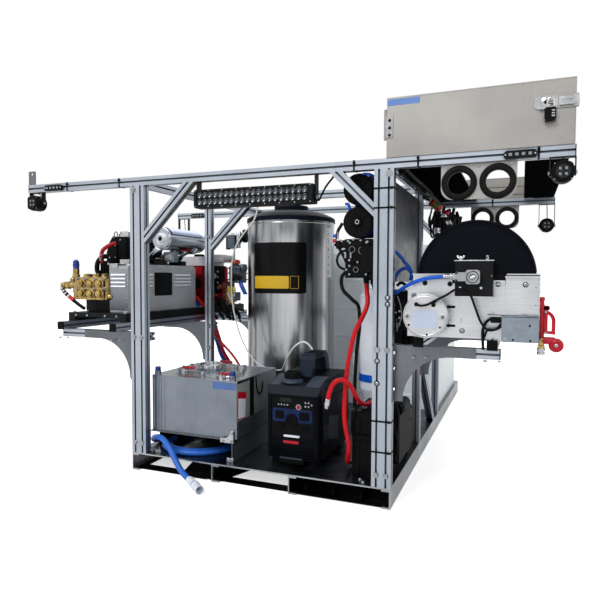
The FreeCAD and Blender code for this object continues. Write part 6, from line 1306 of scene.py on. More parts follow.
def tankDetails():
    x0, x1 = tank["x"]
    y0, y1 = tank["y"]
    z0, z1 = tank["z"]
    bm = bmesh.new()  # pressed flutes on the front, a folded hem round the lid and weld beads at the corners
    for x, wide in ((-520, 3), (-500, 4), (-484, 5), (-462, 3)):
        lathe(bm, (x, y0 + 0.6, z0 + 8), (0, 0, 1), [(0, 0), (wide, 2), (wide, z1 - z0 - 18), (0, z1 - z0 - 16)], 12)
    for y in (y0, y1):
        block(bm, (x0 + 4, y - 1.2, z1 - 7), (x1 - 4, y + 1.2, z1 + 1.2))
    for x in (x0 + 1.2, x1):
        block(bm, (x - 1.2, y0 + 4, z1 - 7), (x + 1.2, y1 - 4, z1 + 1.2))
    for x, y in ((x1 - 2, y0 + 2), (x1 - 2, y1 - 2)):
        for k in range(32):
            torus(bm, (x, y, z0 + 4 + 7.9 * k), (0, 0, 1), 2.6, 1.6, 10, 0, 6)
    make("tank_flutes_and_hem", bm, "skid", "tankAluminium", 0.5)

    bm = bmesh.new()
    for x, y in tank["bungs"]:  # blue anodised plugs
        lathe(bm, (x, y, z1 + 5), (0, 0, 1), [(12, 0), (13.4, 1), (13.4, 8), (12, 10), (12, 14), (13.2, 16), (13.2, 30),
                                              (11, 33), (0, 33)], 24)
        hexagon(bm, (x, y, z1 + 8), (0, 0, 1), 28, 12)
    make("tank_plugs", bm, "skid", "blueAnodised", 0.5)

    bm = bmesh.new()
    nx, ny = tank["neck"]
    for k in range(12):
        angle = 2 * math.pi * k / 12
        hexagon(bm, (nx + 64 * math.cos(angle), ny + 64 * math.sin(angle), z1 + 5), (0, 0, 1), 8, 4)
    for x, y in tank["valves"]:  # ball valves with their barbs and stems
        rod(bm, (x - 26, y, z1 + 8), (x + 26, y, z1 + 8), 8, 16)
        hexagon(bm, (x + 14, y, z1 + 8), (1, 0, 0), 19, 10)
        hexagon(bm, (x - 14, y, z1 + 8), (-1, 0, 0), 19, 10)
        lathe(bm, (x, y, z1), (0, 0, 1), [(0, 0), (15.5, 0), (15.5, 3), (14, 5), (14, 16), (0, 16)], 20)
    for x, y in ((-250, -870), (-210, -860), (-300, -1100), (-160, -980), (-470, -930)):
        lathe(bm, (x, y, z1), (0, 0, 1), [(0, 0), (13, 0), (13, 3), (8, 4), (8, 12), (10, 13), (10, 22), (0, 22)], 18)
        hexagon(bm, (x, y, z1 + 6), (0, 0, 1), 22, 7)
    make("tank_valves_and_fittings", bm, "skid", "zincSteel", 0.3)
    bm = bmesh.new()  # rigid fuel lines over the lid
    for path in (((-169, -1111, 448), (-150, -1104, 449), (-148, -1060, 450), (-160, -1006, 452), (-160, -980, 462)),
                 ((-425, -1031, 448), (-400, -1040, 450), (-330, -1064, 451), (-300, -1090, 454), (-300, -1100, 462)),
                 ((-351, -797, 448), (-320, -800, 450), (-260, -830, 452), (-250, -860, 456), (-250, -870, 462)),
                 ((-477, -1031, 448), (-492, -1020, 450), (-490, -960, 452), (-474, -934, 456), (-470, -930, 462))):
        sweep(bm, smooth(path), 4, 10)
    make("tank_fuel_lines", bm, "skid", "chromedSteel")
    for name, (x, y) in zip(("front_valve", "left_valve", "rear_valve"), tank["valves"]):
        bm = bmesh.new()
        hexagon(bm, (x, y, 464.8), (0, 0, 1), 11, 6, 1)
        sleeve = rounded(x + 18, y - 8.6, x + 64, y + 8.6, 6)
        prism(bm, sleeve, "z", 457.7, 8.6)
        make(f"{name}_grip", bm, f"{name}_handle", "redAbs zincSteel", 1.2)
    bm = bmesh.new()
    studs(bm, (nx, ny), 57.4, 30, 456, 470, 1.6, 6)
    block(bm, (nx - 34, ny - 5, 476.5), (nx + 34, ny + 5, 487))
    make("filler_cap_grip", bm, "fuel_cap", "polishedSteel", 0.8)

    bm = bmesh.new()
    prism(bm, rounded(-206, 402, -89, 434, 2), "y", y0 - 0.8, 0.8)
    make("tank_name_plate", bm, "skid", "blueEnamel", 0.2)
    bm = bmesh.new()
    prism(bm, [(-1165, 268), (-1086, 262), (-1080, 378), (-1160, 396)], "x", x1, 0.6)
    prism(bm, [(-1159, 274), (-1092, 268), (-1086, 350), (-1155, 364)], "x", x1 + 0.6, 0.3, 1)
    make("tank_side_plate", bm, "skid", "redAbs whiteEnamel")
    bm = bmesh.new()  # folded corner bracket and hold-down screws
    prism(bm, [(-159, 168), (-92, 168), (-92, 226), (-104, 226), (-118, 200), (-132, 192), (-159, 188)], "y", y0 - 16,
          3)
    block(bm, (-159, y0 - 16, 168), (-92, y0, 171))
    block(bm, (-95, y0 - 16, 168), (-92, y0 + 20, 226))
    for x, z in ((-146, 178), (-104, 178), (-99, 214)):
        hexagon(bm, (x, y0 - 16, z), (0, -1, 0), 12, 5, 1)
    block(bm, (-128, -1184.6, 84), (-96, -1183.2, 104))
    for z in (92, 100):
        hexagon(bm, (-112, -1184.4, z), (0, -1, 0), 8, 4, 1)
    for x in (-528, -500):
        for y in (-1180, -1160):
            hexagon(bm, (x, y, 82.6), (0, 0, 1), 13, 8, 1)
    make("tank_corner_bracket", bm, "skid", "polishedSteel zincSteel", 0.6)
    bm = bmesh.new()  # dark back sheet of the tray, behind the coiled hose: painted shade under the tank
    block(bm, (x0 + 4, y1 - 14, 84), (x1 - 8, y1 - 11, z0 - 18))
    block(bm, (x0 - 2, y0 + 60, 84), (x0 + 1, y1 - 11, z0 - 18))
    make("tray_shade_sheet", bm, "skid", "mouldedNylon", 0.3)
    bm = bmesh.new()  # pale panels and a black leg along the tank's right side, over the streaked side of the tray; the pale and galvanised panels are painted light that makes these sides look lit
    block(bm, (x1, -1168, 262), (x1 + 0.4, -1046, z1 - 12))
    block(bm, (x1, -1004, 262), (x1 + 0.4, -762, z1 - 12))
    block(bm, (x1, -1168, 188), (x1 + 0.4, -762, 258), 1)
    block(bm, (-99.9, -1166, 86), (-99, -764, 182), 1)
    block(bm, (x1, -1044, 262), (x1 + 1.4, -1006, z1 - 2), 2)
    sweep(bm, smooth([(x1 + 4, -990, 432), (x1 + 5, -984, 380), (x1 + 5, -960, 348), (x1 + 5, -930, 356),
                      (x1 + 4, -916, 400)]), 3.4, 10, 2)
    make("tank_side_panels", bm, "skid", "greyLacqueredSheet galvanisedSheet mouldedNylon", 0)


# generator

generator = dict(x=(35, 285), y=-1127.2, panel=(62, 205, 258, 388), button=(190, 344.55))


def generatorDetails():
    x0, x1 = generator["x"]
    y = generator["y"]
    px0, pz0, px1, pz1 = generator["panel"]
    bm = bmesh.new()  # moulded frame round the control panel
    outer, inner = rounded(px0 - 9, pz0 - 9, px1 + 9, pz1 + 3, 20), rounded(px0, pz0, px1, pz1 - 4, 14)
    rings = []
    for shape, depth in ((outer, y + 1), (outer, y - 5), (inner, y - 6), (inner, y - 0.4)):
        rings.append([bm.verts.new((a, depth, b)) for a, b in shape])
    loft(bm, rings)
    for k in range(7):  # cooling louvres under the panel
        z = 118 + 10.5 * k
        inset = max(0, (160 - z) * 0.03)
        block(bm, (x0 + 22, y + inset - 3.4, z), (x1 - 22, y + inset + 6, z + 4.6))
    for x in (x0 + 10, x1 - 22):
        block(bm, (x, y - 3, 128), (x + 12, y + 3, 384))
    make("generator_front_frame", bm, "skid", "navyPolypropylene", 1.2)

    bm = bmesh.new()
    prism(bm, inner, "y", y - 0.6, 0.6, 0)
    prism(bm, rounded(px0 + 6, 276, px1 - 6, 334, 10), "y", y - 1.4, 0.9, 1)
    prism(bm, rounded(px0 + 40, 362, px0 + 96, 380, 3), "y", y - 2.4, 2, 2)
    for x in (px0 + 34, px0 + 48, px0 + 62, px0 + 76):
        lathe(bm, (x, y - 0.6, 350), (0, -1, 0), [(0, 1.6), (3.4, 1.2), (4, 0)], 12, 3)
    for x, z in ((222, 366), (236, 366), (222, 350), (236, 350), (250, 358)):
        lathe(bm, (x, y - 0.6, z), (0, -1, 0), [(0, 4), (4, 3.6), (5, 0)], 14, 3)
    lathe(bm, (generator["button"][0], y - 0.5, generator["button"][1]), (0, -1, 0),
          [(8.8, 0), (12.5, 0), (12.5, 2.2), (8.8, 2.8)], 24, 3, True)
    make("generator_panel", bm, "skid", "mouldedNylon nightBlueVinyl darkAcrylic zincSteel", 0.3)

    bm = bmesh.new()
    lathe(bm, (158, y - 1.4, 284), (0, -1, 0), [(0, 2), (17, 2), (19, 7), (27, 7), (29, 4), (29, 0)], 32)
    for k in range(4):
        angle = math.pi / 4 + math.pi * k / 2
        block(bm, (158 + 10 * math.cos(angle) - 2.4, y - 5.6, 284 + 10 * math.sin(angle) - 2.4),
              (158 + 10 * math.cos(angle) + 2.4, y - 3, 284 + 10 * math.sin(angle) + 2.4), 1)
    for cx, cz, w, h in ((102, 306, 38, 34), (102, 258, 38, 34), (216, 306, 44, 34), (216, 258, 44, 34)):
        prism(bm, rounded(cx - w / 2, cz - h / 2, cx + w / 2, cz + h / 2, 5), "y", y - 6.4, 6, 0)
        prism(bm, rounded(cx - w / 2 + 5, cz - h / 2 + 5, cx + w / 2 - 5, cz + h / 2 - 5, 3), "y", y - 7.4, 1.2, 1)
        for dx in (-6, 6):
            block(bm, (cx + dx - 1, y - 8, cz - 2), (cx + dx + 1, y - 7, cz + 6), 0)
    prism(bm, rounded(122, 212, 196, 221, 4), "y", y - 6, 6, 2)
    prism(bm, rounded(120, 184, 192, 200, 3), "y", y - 4.6, 1.6, 3)
    make("generator_outlets", bm, "skid", "mouldedNylon navyPolypropylene whitePvc redAbs", 0.6)

    bm = bmesh.new()  # grey shoulders either side of the filler, a collar below the cap, ribs on the grip
    for xa, xb in ((x0 + 6, x0 + 54), (x1 - 76, x1 - 10)):
        prism(bm, [(y + 24, 430), (y + 60, 440), (y + 118, 456), (y + 150, 457), (y + 150, 444), (y + 60, 428),
                   (y + 24, 420)], "x", xa, xb - xa)
    lathe(bm, (130, -1049.2, 436), (0, 0, 1), [(50, 0), (47, 10), (36, 17.8), (31, 17.8), (31, 0)], 32, 0, True)
    for k in range(9):
        yy = -955 + 12 * k
        block(bm, (143.8, yy, 531), (204.4, yy + 4, 555.6), 1)
    make("generator_shoulders", bm, "skid", "greyPolypropylene mouldedNylon", 2.0)
    bm = bmesh.new()
    studs(bm, (130, -1049.2), 35.6, 24, 457, 475, 2.4, 8)
    prism(bm, rounded(102, -1056, 158, -1042, 6), "z", 480, 7)
    make("generator_cap_ribs", bm, "generator_fuel_cap", "mouldedNylon", 1.0)

    bm = bmesh.new()  # side covers: a raised panel, vents, service door and screws, on both sides
    for x, out in ((x1, 1), (x0, -1)):
        low, high = (x, x + 3.4) if out > 0 else (x - 3.4, x)
        prism(bm, rounded(-1096, 178, -726, 372, 26), "x", low, 3.4)
        for k in range(9):
            block(bm, (min(x, x + out * 6), -900 + 17 * k, 296), (max(x, x + out * 6), -891 + 17 * k, 356), 1)
        for k in range(6):
            block(bm, (min(x, x + out * 5.4), -1080, 196 + 11 * k), (max(x, x + out * 5.4), -960, 201 + 11 * k), 1)
        for yy, z in ((-1080, 356), (-742, 356), (-742, 196)):
            lathe(bm, (high if out > 0 else low, yy, z), (out, 0, 0), [(0, 2.4), (4, 2), (6, 0)], 12, 2)
    make("generator_side_covers", bm, "skid", "navyPolypropylene greyPolypropylene zincSteel", 1.4)
    bm = bmesh.new()  # bare small plate on the side, and a red bar
    prism(bm, [(-1050, 388), (-985, 380), (-985, 396), (-1050, 404)], "x", x1 - 2.0, 2.3, 0)
    prism(bm, [(-1018, 190), (-880, 152), (-880, 262), (-1018, 292)], "x", x1 + 3.4, 0.5, 1)
    prism(bm, [(-1012, 222), (-886, 190), (-886, 196), (-1012, 228)], "x", x1 + 3.9, 0.4, 0)
    make("generator_side_plates", bm, "skid", "redRubberHose charcoalVinyl")
    bm = bmesh.new()  # skid bar at the front foot
    prism(bm, rounded(98, 96, 214, 124, 6), "y", y - 2, 24)
    block(bm, (106, y - 6, 116), (206, y + 2, 122), 1)
    make("generator_foot_bar", bm, "skid", "mouldedNylon greyPolypropylene", 1.5)


tankDetails()
generatorDetails()
print("fuel tank and generator are dressed")


# hose reel with its motor, bearing, swivel and control box

reel = dict(x=905.6, z=902.65, face=-1189.2, motor=(740.6, -1274.2, 760.65),
            bearing=(840.6, 970.6, 833.65, 959.65, -1239.2))


def woundTurns(bm, at, radius, start, end, thick, slot=0, sides=10, perTurn=30):
    # one hose wound side by side round an axis along Y
    turns = int((end - start) / (2 * thick)) - 1
    steps = turns * perTurn
    path = []
    for i in range(steps + 1):
        angle = 2 * math.pi * i / perTurn
        path.append(Vector((at[0] + radius * math.cos(angle), start + thick + (end - start - 2 * thick) * i / steps,
                            at[1] + radius * math.sin(angle))))
    sweep(bm, path, thick, sides, slot)


def reelDetails():
    x, z, face = reel["x"], reel["z"], reel["face"]
    bm = bmesh.new()  # wound hose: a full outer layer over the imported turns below
    woundTurns(bm, (x, z), 148.2, -1166.6, -881.8, 9.5)
    lathe(bm, (x, -1166.6, z), (0, 1, 0), [(62.4, 0), (143, 0), (143, 284.8), (62.4, 284.8)], 64, 0, True)
    make("wound_reel_hose", bm, "reel", "redPvcHose", replaces=("reel_hose",))
    bm = bmesh.new()  # drum flanges: rolled rims and pressed spokes
    for y, out in ((-1171, -1), (-877, 1)):
        torus(bm, (x, y - out * 2, z), (0, 1, 0), 187.2, 2.8, 96, 0, 8)
        for k in range(8):
            angle = math.pi * k / 4
            way = Vector((math.cos(angle), 0, math.sin(angle)))
            middle = Vector((x, y, z))
            rod(bm, middle + way * 74, middle + way * 172, 3.4, 8)
        torus(bm, (x, y, z), (0, 1, 0), 70, 3, 64, 0, 8)
    make("drum_spokes", bm, "reel", "powderCoat", 0)

    bm = bmesh.new()  # hood: a raised rim with a step inside it, on both faces, and moulded ribs over the top
    for y, out in ((-1184.9, -1), (-863.5, 1)):
        for radius, thick in ((202.5, 4.6), (192, 2.2)):
            arc = [Vector((x + radius * math.cos(a), y, z + radius * math.sin(a)))
                   for a in (math.radians(4.5 + 171 * k / 56) for k in range(57))]
            sweep(bm, arc, thick, 12)
    for y in (-1150, -1080, -1024, -968, -898):
        arc = [Vector((x + 207 * math.cos(a), y,
                       z + 207 * math.sin(a))) for a in (math.radians(5 + 170 * k / 56) for k in range(57))]
        sweep(bm, arc, 3.2, 10)
    make("hood_rim_and_ribs", bm, "skid", "rotomouldedHood", 0)

    bm = bmesh.new()  # side plates: dome screws on washers, slots with studs, two small rivets and bolts at the foot
    for sx, sz, dark in ((726, 880, 1), (818, 877, 1), (986, 877, 0), (1078, 876, 0), (685, 832, 0), (864, 704, 0),
                         (1112, 866, 0), (1112, 804, 0)):
        wide = 10.5 if sx < 1100 else 4
        at = (sx, face - (3 if sx == 1078 else 0), sz)
        lathe(bm, at, (0, -1, 0), [(0, 1.4), (wide, 1.4), (wide, 0), (0, 0)], 24, 0)
        lathe(bm, (sx, at[1] - 1.4, sz), (0, -1, 0), [(0, 5.2), (wide * 0.35, 5), (wide * 0.62, 3), (wide * 0.7, 0)],
              20, dark)
        rod(bm, (sx, at[1] - 6, sz), (sx, at[1] - 6.9, sz), wide * 0.3, 6, 1)
        # painted shade: a dark ring round each screw head
        torus(bm, (sx, at[1] - 1.6, sz), (0, 1, 0), wide * 0.8, wide * 0.09, 24, 2, 6)
    for sx, sz in ((812, 792), (813, 722)):
        prism(bm, rounded(sx - 6, sz - 4.6, sx + 27, sz + 4.6, 4.5), "y", face - 0.6, 0.8, 1)
        rod(bm, (sx + 3, face + 1, sz), (sx + 3, face - 12, sz), 3.6, 12, 1)
        hexagon(bm, (sx + 3, face - 1, sz), (0, -1, 0), 11, 6, 1)
    for sx, sz in ((860, 748), (860, 738)):
        lathe(bm, (sx, face, sz), (0, -1, 0), [(0, 0.8), (1.8, 0.7), (2.2, 0)], 10, 1)
    for sx in (700, 780, 1000, 1090):
        for y in (-1180, -868):
            hexagon(bm, (sx, y, 681.6), (0, 0, 1), 12, 6, 0)
    make("reel_plate_screws", bm, "skid", "zincSteel mouldedNylon blackenedSteel", 0)
    bm = bmesh.new()  # plate edges: a return on the right side and under the notch
    block(bm, (1121.6, -1202, 700), (1125.1, face, 900))
    block(bm, (832, -1198, 875.2), (1009, face + 0.1, 878.4))
    block(bm, (954, -1238, 767.2), (1121, face, 770.6))
    block(bm, (954, -1238, 763), (1121, -1235.4, 770.6))
    for sx in (966, 974, 1072, 1080, 1086):
        hexagon(bm, (sx, -1228, 770.4), (0, 0, 1), 7, 3.4)
    block(bm, (966, face, 876), (1011, face + 3, 891))
    block(bm, (1012, face - 3, 772), (1122, face + 0.5, 908))  # raised bracket with its folded top
    block(bm, (1010, face - 18, 906), (1124, face + 0.5, 909.4))
    block(bm, (1010, face - 18, 900), (1124, face - 16, 909.4))
    make("reel_plate_returns", bm, "skid", "linishedPlate", 0.4)

    mx, my, mz = reel["motor"]
    bm = bmesh.new()  # motor: face ring, scooped ears, label, dark plugs, seams and cooling ribs
    lathe(bm, (mx, my, mz), (0, -1, 0), [(73.6, -0.6), (73.4, 1.2), (71, 2.2), (69, 1.4), (69, 0.4), (0, 0.4)], 64, 0)
    torus(bm, (mx, my + 22, mz), (0, 1, 0), 79.2, 1.5, 72, 0, 8)
    torus(bm, (mx, my + 5, mz), (0, 1, 0), 79, 1.1, 72, 0, 8)
    for k in range(5):
        torus(bm, (mx, my + 36 + 9 * k, mz), (0, 1, 0), 72, 1.8, 64, 0, 8)
    for side in (-1, 1):
        cx = mx + side * 64
        lathe(bm, (cx, my - 0.4, mz - 3), (0, -1, 0), [(9.6, 0), (12.4, 0.4), (12.4, 2.2), (9.6, 2.8)], 28, 0, True)
        lathe(bm, (cx, my - 0.2, mz - 3), (0, -1, 0), [(0, 1.6), (7.6, 1.4), (8, 0)], 20, 1)
        for angle in (0.4, 1.97):
            d = Vector((math.cos(angle), 0, math.sin(angle))) * 5.4
            rod(bm, Vector((cx, my - 2.3, mz - 3)) - d, Vector((cx, my - 2.3, mz - 3)) + d, 1.1, 6, 2)
    for dx, dz in ((-58, -34), (55, -40), (8, -68)):
        lathe(bm, (mx + dx, my - 0.4, mz + dz), (0, -1, 0), [(0, 1.8), (4, 1.6), (4.4, 0)], 14, 2)
    prism(bm, rounded(mx - 44, mz - 44, mx + 43, mz + 22, 2), "y", my - 1.2, 0.9, 3)
    for gx, gz in ((-31, 42), (30, 41)):
        lathe(bm, (mx + gx, my, mz + gz), (0, -1, 0), [(0, 5), (4, 5), (7.6, 3.4), (8, 0)], 18, 2)
    block(bm, (mx + 68, my + 30, mz - 12), (mx + 78, my + 78, mz + 12), 0)
    make("reel_motor_face", bm, "skid", "castAluminium zincSteel mouldedNylon paleVinyl", 0)
    bm = bmesh.new()  # black motor lead that dips to the control box, and its loops
    lead = smooth([(mx - 31, my - 5, mz + 42), (mx - 12, my - 12, mz + 38), (mx + 10, my - 13, mz + 42),
                   (mx + 34, my - 12, mz + 55),
                   (mx + 58, my - 11, mz + 68), (mx + 78, my - 2, mz + 79), (842, -1262, 856), (862, -1256, 859),
                   (882, -1252, 850), (898, -1248, 834), (914, -1240, 790), (930, -1236, 747), (944, -1236, 726),
                   (960, -1236, 714), (984, -1236, 718), (1004, -1240, 731)])
    sweep(bm, lead, 4.2, 12)
    sweep(bm, smooth([(mx + 30, my - 4, mz + 41), (mx + 33, my - 10, mz + 48), (mx + 44, my - 11, mz + 60)]), 4.2, 12)
    other = smooth([(940, -1200, 640), (938, -1206, 676), (938, -1212, 712), (950, -1222, 742), (974, -1232, 757),
                    (1006, -1240, 757)])
    sweep(bm, other, 5.2, 12)
    sweep(bm, smooth([(940, -1200, 676), (954, -1204, 712), (980, -1214, 716), (1006, -1228, 742)]), 3.6, 10)
    block(bm, (965, -1236, 741), (1008, -1192, 766))
    make("reel_motor_lead", bm, "skid", "blackRubber")

    x0, x1, z0, z1, by = reel["bearing"]
    bm = bmesh.new()  # bearing box: bright plates above and below, wing nuts, face screws
    block(bm, (x0 - 3, by - 5, z1), (x1 + 3, face, z1 + 3.4), 0)
    block(bm, (x0 - 3, by - 4, z0 - 3.2), (x1 + 3, face, z0), 0)
    for wx, turned in ((858, False), (950, True)):
        lathe(bm, (wx, -1222, z1 + 3), (0, 0, 1), [(0, 0), (8.6, 0), (8.6, 2), (5.4, 3), (6.4, 10), (4.4, 15), (0, 15)],
              20, 1)
        for side in (-1, 1):
            reach = [(side * step, z1 + up) for step, up in ((3, 8), (9, 15), (13, 21))]
            wing = smooth([(wx, -1222 + a, b) if turned else (wx + a, -1222, b) for a, b in reach], 5)
            sweep(bm, wing, [2.2, 2.5, 2.9, 3.5, 4, 4.4, 4.7, 4.8, 4.6, 4, 2.8], 10, 1)
    for sx, sz in ((859, 864), (931, 864)):
        lathe(bm, (sx, by, sz), (0, -1, 0), [(0, 3.4), (4.4, 3), (6.2, 0)], 16, 1)
    for sx in (942, 956, 966):
        lathe(bm, (sx, by, 907), (0, -1, 0), [(0, 1.6), (2, 1.4), (2.6, 0)], 10, 1)
    make("bearing_plates_and_wing_nuts", bm, "skid", "linishedPlate polishedSteel", 0.3)
    bm = bmesh.new()
    prism(bm, rounded(x0 + 5, z0 + 5, x1 - 5, z1 - 5, 5), "y", by - 2.2, 2.4)
    make("bearing_cover", bm, "skid", "powderCoat", 0.6)

    bm = bmesh.new()  # swivel: square block, banded boss with a flat screw, nut and crimped ferrule
    prism(bm, rounded(x - 24, z - 25, x + 24, z + 25, 9), "y", -1290, 36)
    lathe(bm, (x, -1290, z), (0, -1, 0), [(0, 2.2), (13.5, 2.2), (14.5, 1), (16.6, 1), (17.6, 2), (21, 2), (22, 0.6),
                                          (22, 0)], 40)
    rod(bm, (x - 8, -1292.6, z - 3), (x + 8, -1292.6, z + 3), 1.5, 8, 1)
    block(bm, (x - 50, -1288, z - 15), (x - 22, -1256, z + 16))
    torus(bm, (x, -1291.4, z), (0, 1, 0), 19.4, 1.5, 36, 2, 8)
    torus(bm, (x, -1292, z), (0, 1, 0), 9.4, 1, 28, 2, 6)
    hexagon(bm, (x - 50, -1272.2, z + 1), (-1, 0, 0), 31, 12)
    lathe(bm, (x - 62, -1272.2, z + 1), (-1, 0, 0), [(0, 0), (10.5, 0), (10.5, 5), (13, 7), (13, 12), (10, 14), (9, 17),
                                                     (0, 17)], 28)
    hexagon(bm, (x - 66, -1272.2, z + 1), (-1, 0, 0), 22, 9)
    lathe(bm, (x - 77, -1272.2, z + 1), (-1, 0, 0), [(9.4, 0), (9.8, 1), (9.8, 6), (8.8, 7), (9.8, 8.4), (9.8, 13),
                                                     (8.8, 14.4),
                                                    (9.8, 16), (9.8, 22), (8.9, 25), (7.2, 25)], 28)
    make("swivel_and_ferrule", bm, "skid", "zincSteel polishedSteel mouldedNylon", 0.7)

    bm = bmesh.new()  # control box: a screwed front cover over a folded case
    prism(bm, rounded(1004.6, 680.4, 1121.6, 763, 3), "y", -1271.2, 2.2)
    for sx, sz in ((1094, 737), (1041, 687), (1096, 686), (1015, 689)):
        lathe(bm, (sx, -1271.2, sz), (0, -1, 0), [(0, 1.4), (3.2, 1.2), (3.8, 0)], 14, 1 if sx > 1020 else 2)
    block(bm, (1003.1, -1269.2, 764), (1123.1, -1189.2, 768.2))
    for y in (-1256, -1204):
        lathe(bm, (1123.1, y, 722), (1, 0, 0), [(0, 1.6), (3.4, 1.3), (4, 0)], 12, 2)
    make("control_box_cover", bm, "skid", "galvanisedSheet mouldedNylon zincSteel", 0.5)


nozzle = dict(x=1133.1, y=-1187.2, head=(1181.1, 665.65))


def nozzleDetails():
    x, y = nozzle["x"], nozzle["y"]
    bm = bmesh.new()
    lathe(bm, (x, y, 688), (0, 0, 1), [(6.6, 0), (8.8, 2), (9.2, 18), (7.6, 26), (7.3, 92), (8.8, 100), (9.2, 116),
                                       (7.6, 122),
                                       (7.6, 134), (9.8, 137), (9.8, 143), (6.6, 146)], 28)
    prism(bm, rounded(x - 4, 787, x + 25, 804, 6), "y", y - 7, 14)
    lathe(bm, (x + 20, y, 681.65), (1, 0, 0), [(0, -22), (9, -22), (11.5, -8), (12.4, 8), (12.4, 24), (0, 24)], 20)
    make("nozzle_body", bm, "skid", "redAbs", 0.6)
    bm = bmesh.new()  # round shut-off head with a dark rubber centre and a steel jet
    cx, cz = nozzle["head"]
    lathe(bm, (cx, y, cz), (0, -1, 0), [(0, -12.4), (17, -12.4), (22.5, -8), (24.8, 0), (24, 8), (20, 13), (14.5, 14.6),
                                        (13.5, 10.5),
                                        (7.5, 9), (0, 9)], 40, 0)
    lathe(bm, (cx, y - 8.6, cz), (0, -1, 0), [(13.3, 0), (13.3, 2.6), (6.8, 3.4), (6.8, 0)], 32, 1, True)
    lathe(bm, (cx, y - 8.6, cz), (0, -1, 0), [(0, 6), (4.6, 5.6), (6.4, 4), (6.6, 0)], 20, 2)
    make("nozzle_head", bm, "skid", "redAbs redRubberSeal zincSteel", 0)
    bm = bmesh.new()  # brass tail with a steel quick coupling
    lathe(bm, (x, y, 690), (0, 0, -1), [(8.2, 0), (10.4, 1), (10.4, 9), (9, 11), (9, 18), (10, 19), (10, 25), (9, 27),
                                        (0, 27)], 24, 0)
    hexagon(bm, (x, y, 676), (0, 0, -1), 20, 9, 0)
    hexagon(bm, (x, y, 662), (0, 0, -1), 24, 10, 0)
    lathe(bm, (x, y, 654), (0, 0, -1), [(0, 0), (12.4, 0), (13.6, 1.4), (13.6, 8), (12, 10), (12, 14), (14, 16),
                                        (14, 22), (11, 24), (8.4, 24),
                                        (8.4, 10), (0, 10)], 28, 1)
    make("nozzle_coupling", bm, "skid", "castBrass polishedSteel", 0.3)
    bm = bmesh.new()
    rod(bm, (x + 13, y - 9, 782), (x + 13, y + 9, 782), 4.2, 14)
    rod(bm, (x + 13, y - 9, 708), (x + 13, y + 9, 708), 4.2, 14)
    make("bail_pins", bm, "skid", "zincSteel", 0)


small = dict(x=455.4, y=-1169.2, spots=(("upper", 1248.55), ("lower", 1118.55)))


def smallReelDetails():
    for order, z in small["spots"]:
        bm = bmesh.new()
        x, y = small["x"], small["y"]
        for k in range(10):
            angle = 2 * math.pi * k / 10
            way = Vector((math.cos(angle), 0, math.sin(angle)))
            rod(bm, Vector((x, y + 3.6, z)) + way * 17, Vector((x, y + 7.2, z)) + way * 55, 2.8, 8)
        torus(bm, (x, y + 9, z), (0, 1, 0), 59.6, 2.6, 56, 0, 8)
        torus(bm, (x, y + 61, z), (0, 1, 0), 60, 2.4, 56, 0, 8)
        for k in range(20):
            angle = 2 * math.pi * k / 20
            way = Vector((math.cos(angle), 0, math.sin(angle)))
            rod(bm, Vector((x, y + 57, z)) + way * 61.6, Vector((x, y + 65, z)) + way * 61.6, 1.8, 6)
        lathe(bm, (x, y + 1, z), (0, -1, 0), [(8.4, -1), (17, -1), (17, 3.2), (15, 5), (8.4, 5)], 28, 0, True)
        make(f"small_{order}_reel_ribs", bm, f"small_{order}_reel", "mouldedNylon", 0)
        bm = bmesh.new()
        woundTurns(bm, (x, z), 55.4, y + 13.4, y + 55.6, 5.1)
        make(f"small_{order}_reel_turns", bm, f"small_{order}_reel", "blueNylonTube")
        bm = bmesh.new()
        lathe(bm, (x, y - 1, z), (0, -1, 0), [(6, 0), (9.4, 0), (9.4, 7), (8, 8.4), (6, 8.4)], 28, 0, True)
        lathe(bm, (x, y - 1, z), (0, -1, 0), [(0, 6.6), (6, 6.6), (6, 0)], 20, 1)
        make(f"small_{order}_reel_hub", bm, "skid", "polishedSteel mouldedNylon", 0.2)
    bm = bmesh.new()  # clamps and screws on the reels' back plate, over the post
    for z in (1068, 1184, 1300):
        for x in (440, 478):
            hexagon(bm, (x, -1097.8, z), (0, 1, 0), 11, 6, 1)
    make("small_reel_screws", bm, "skid", "powderCoat zincSteel", 0.3)


reelDetails()
nozzleDetails()
smallReelDetails()
print("hose reels and nozzle are dressed")


# pole holders and carrier

holders = dict(sides=(("front", -1200.15), ("rear", 82.55)), rings=(845.1, 978.1), height=1243.55)


def holderDetails():
    for order, y in holders["sides"]:
        bm = bmesh.new()
        for x in holders["rings"]:
            lathe(bm, (x, y, holders["height"]), (0, 1, 0), [(40.6, -13.4), (44, -16), (54, -16), (61, -12.6),
                                                             (62.6, -8), (62.6, 8), (61, 12.6),
                                                   (54, 16), (44, 16), (40.6, 13.4)], 56, 0, True)
        make(f"{order}_pole_grommets", bm, "skid", "blackRubber", 0, 55)
        bm = bmesh.new()
        for x in (800, 911.6, 1023):
            hexagon(bm, (x, y - 1.6, 1302), (0, -1, 0), 10, 5)
        for x in (790, 1033):
            lathe(bm, (x, y - 1.6, 1268), (0, -1, 0), [(0, 1.8), (3.6, 1.4), (4, 0)], 12)
        make(f"{order}_holder_screws", bm, "skid", "zincSteel", 0.2)


carrier = dict(x=(580, 1221), y=(-1219.2, 101.6), z=(1349.65, 1569.65), face=-1222.5, hinge=575,
               hasp=(1091, 1471.65, 1515.65),
               padlock=(1125, 1159, -1247.5, -1229.5, 1429.65, 1475.65))


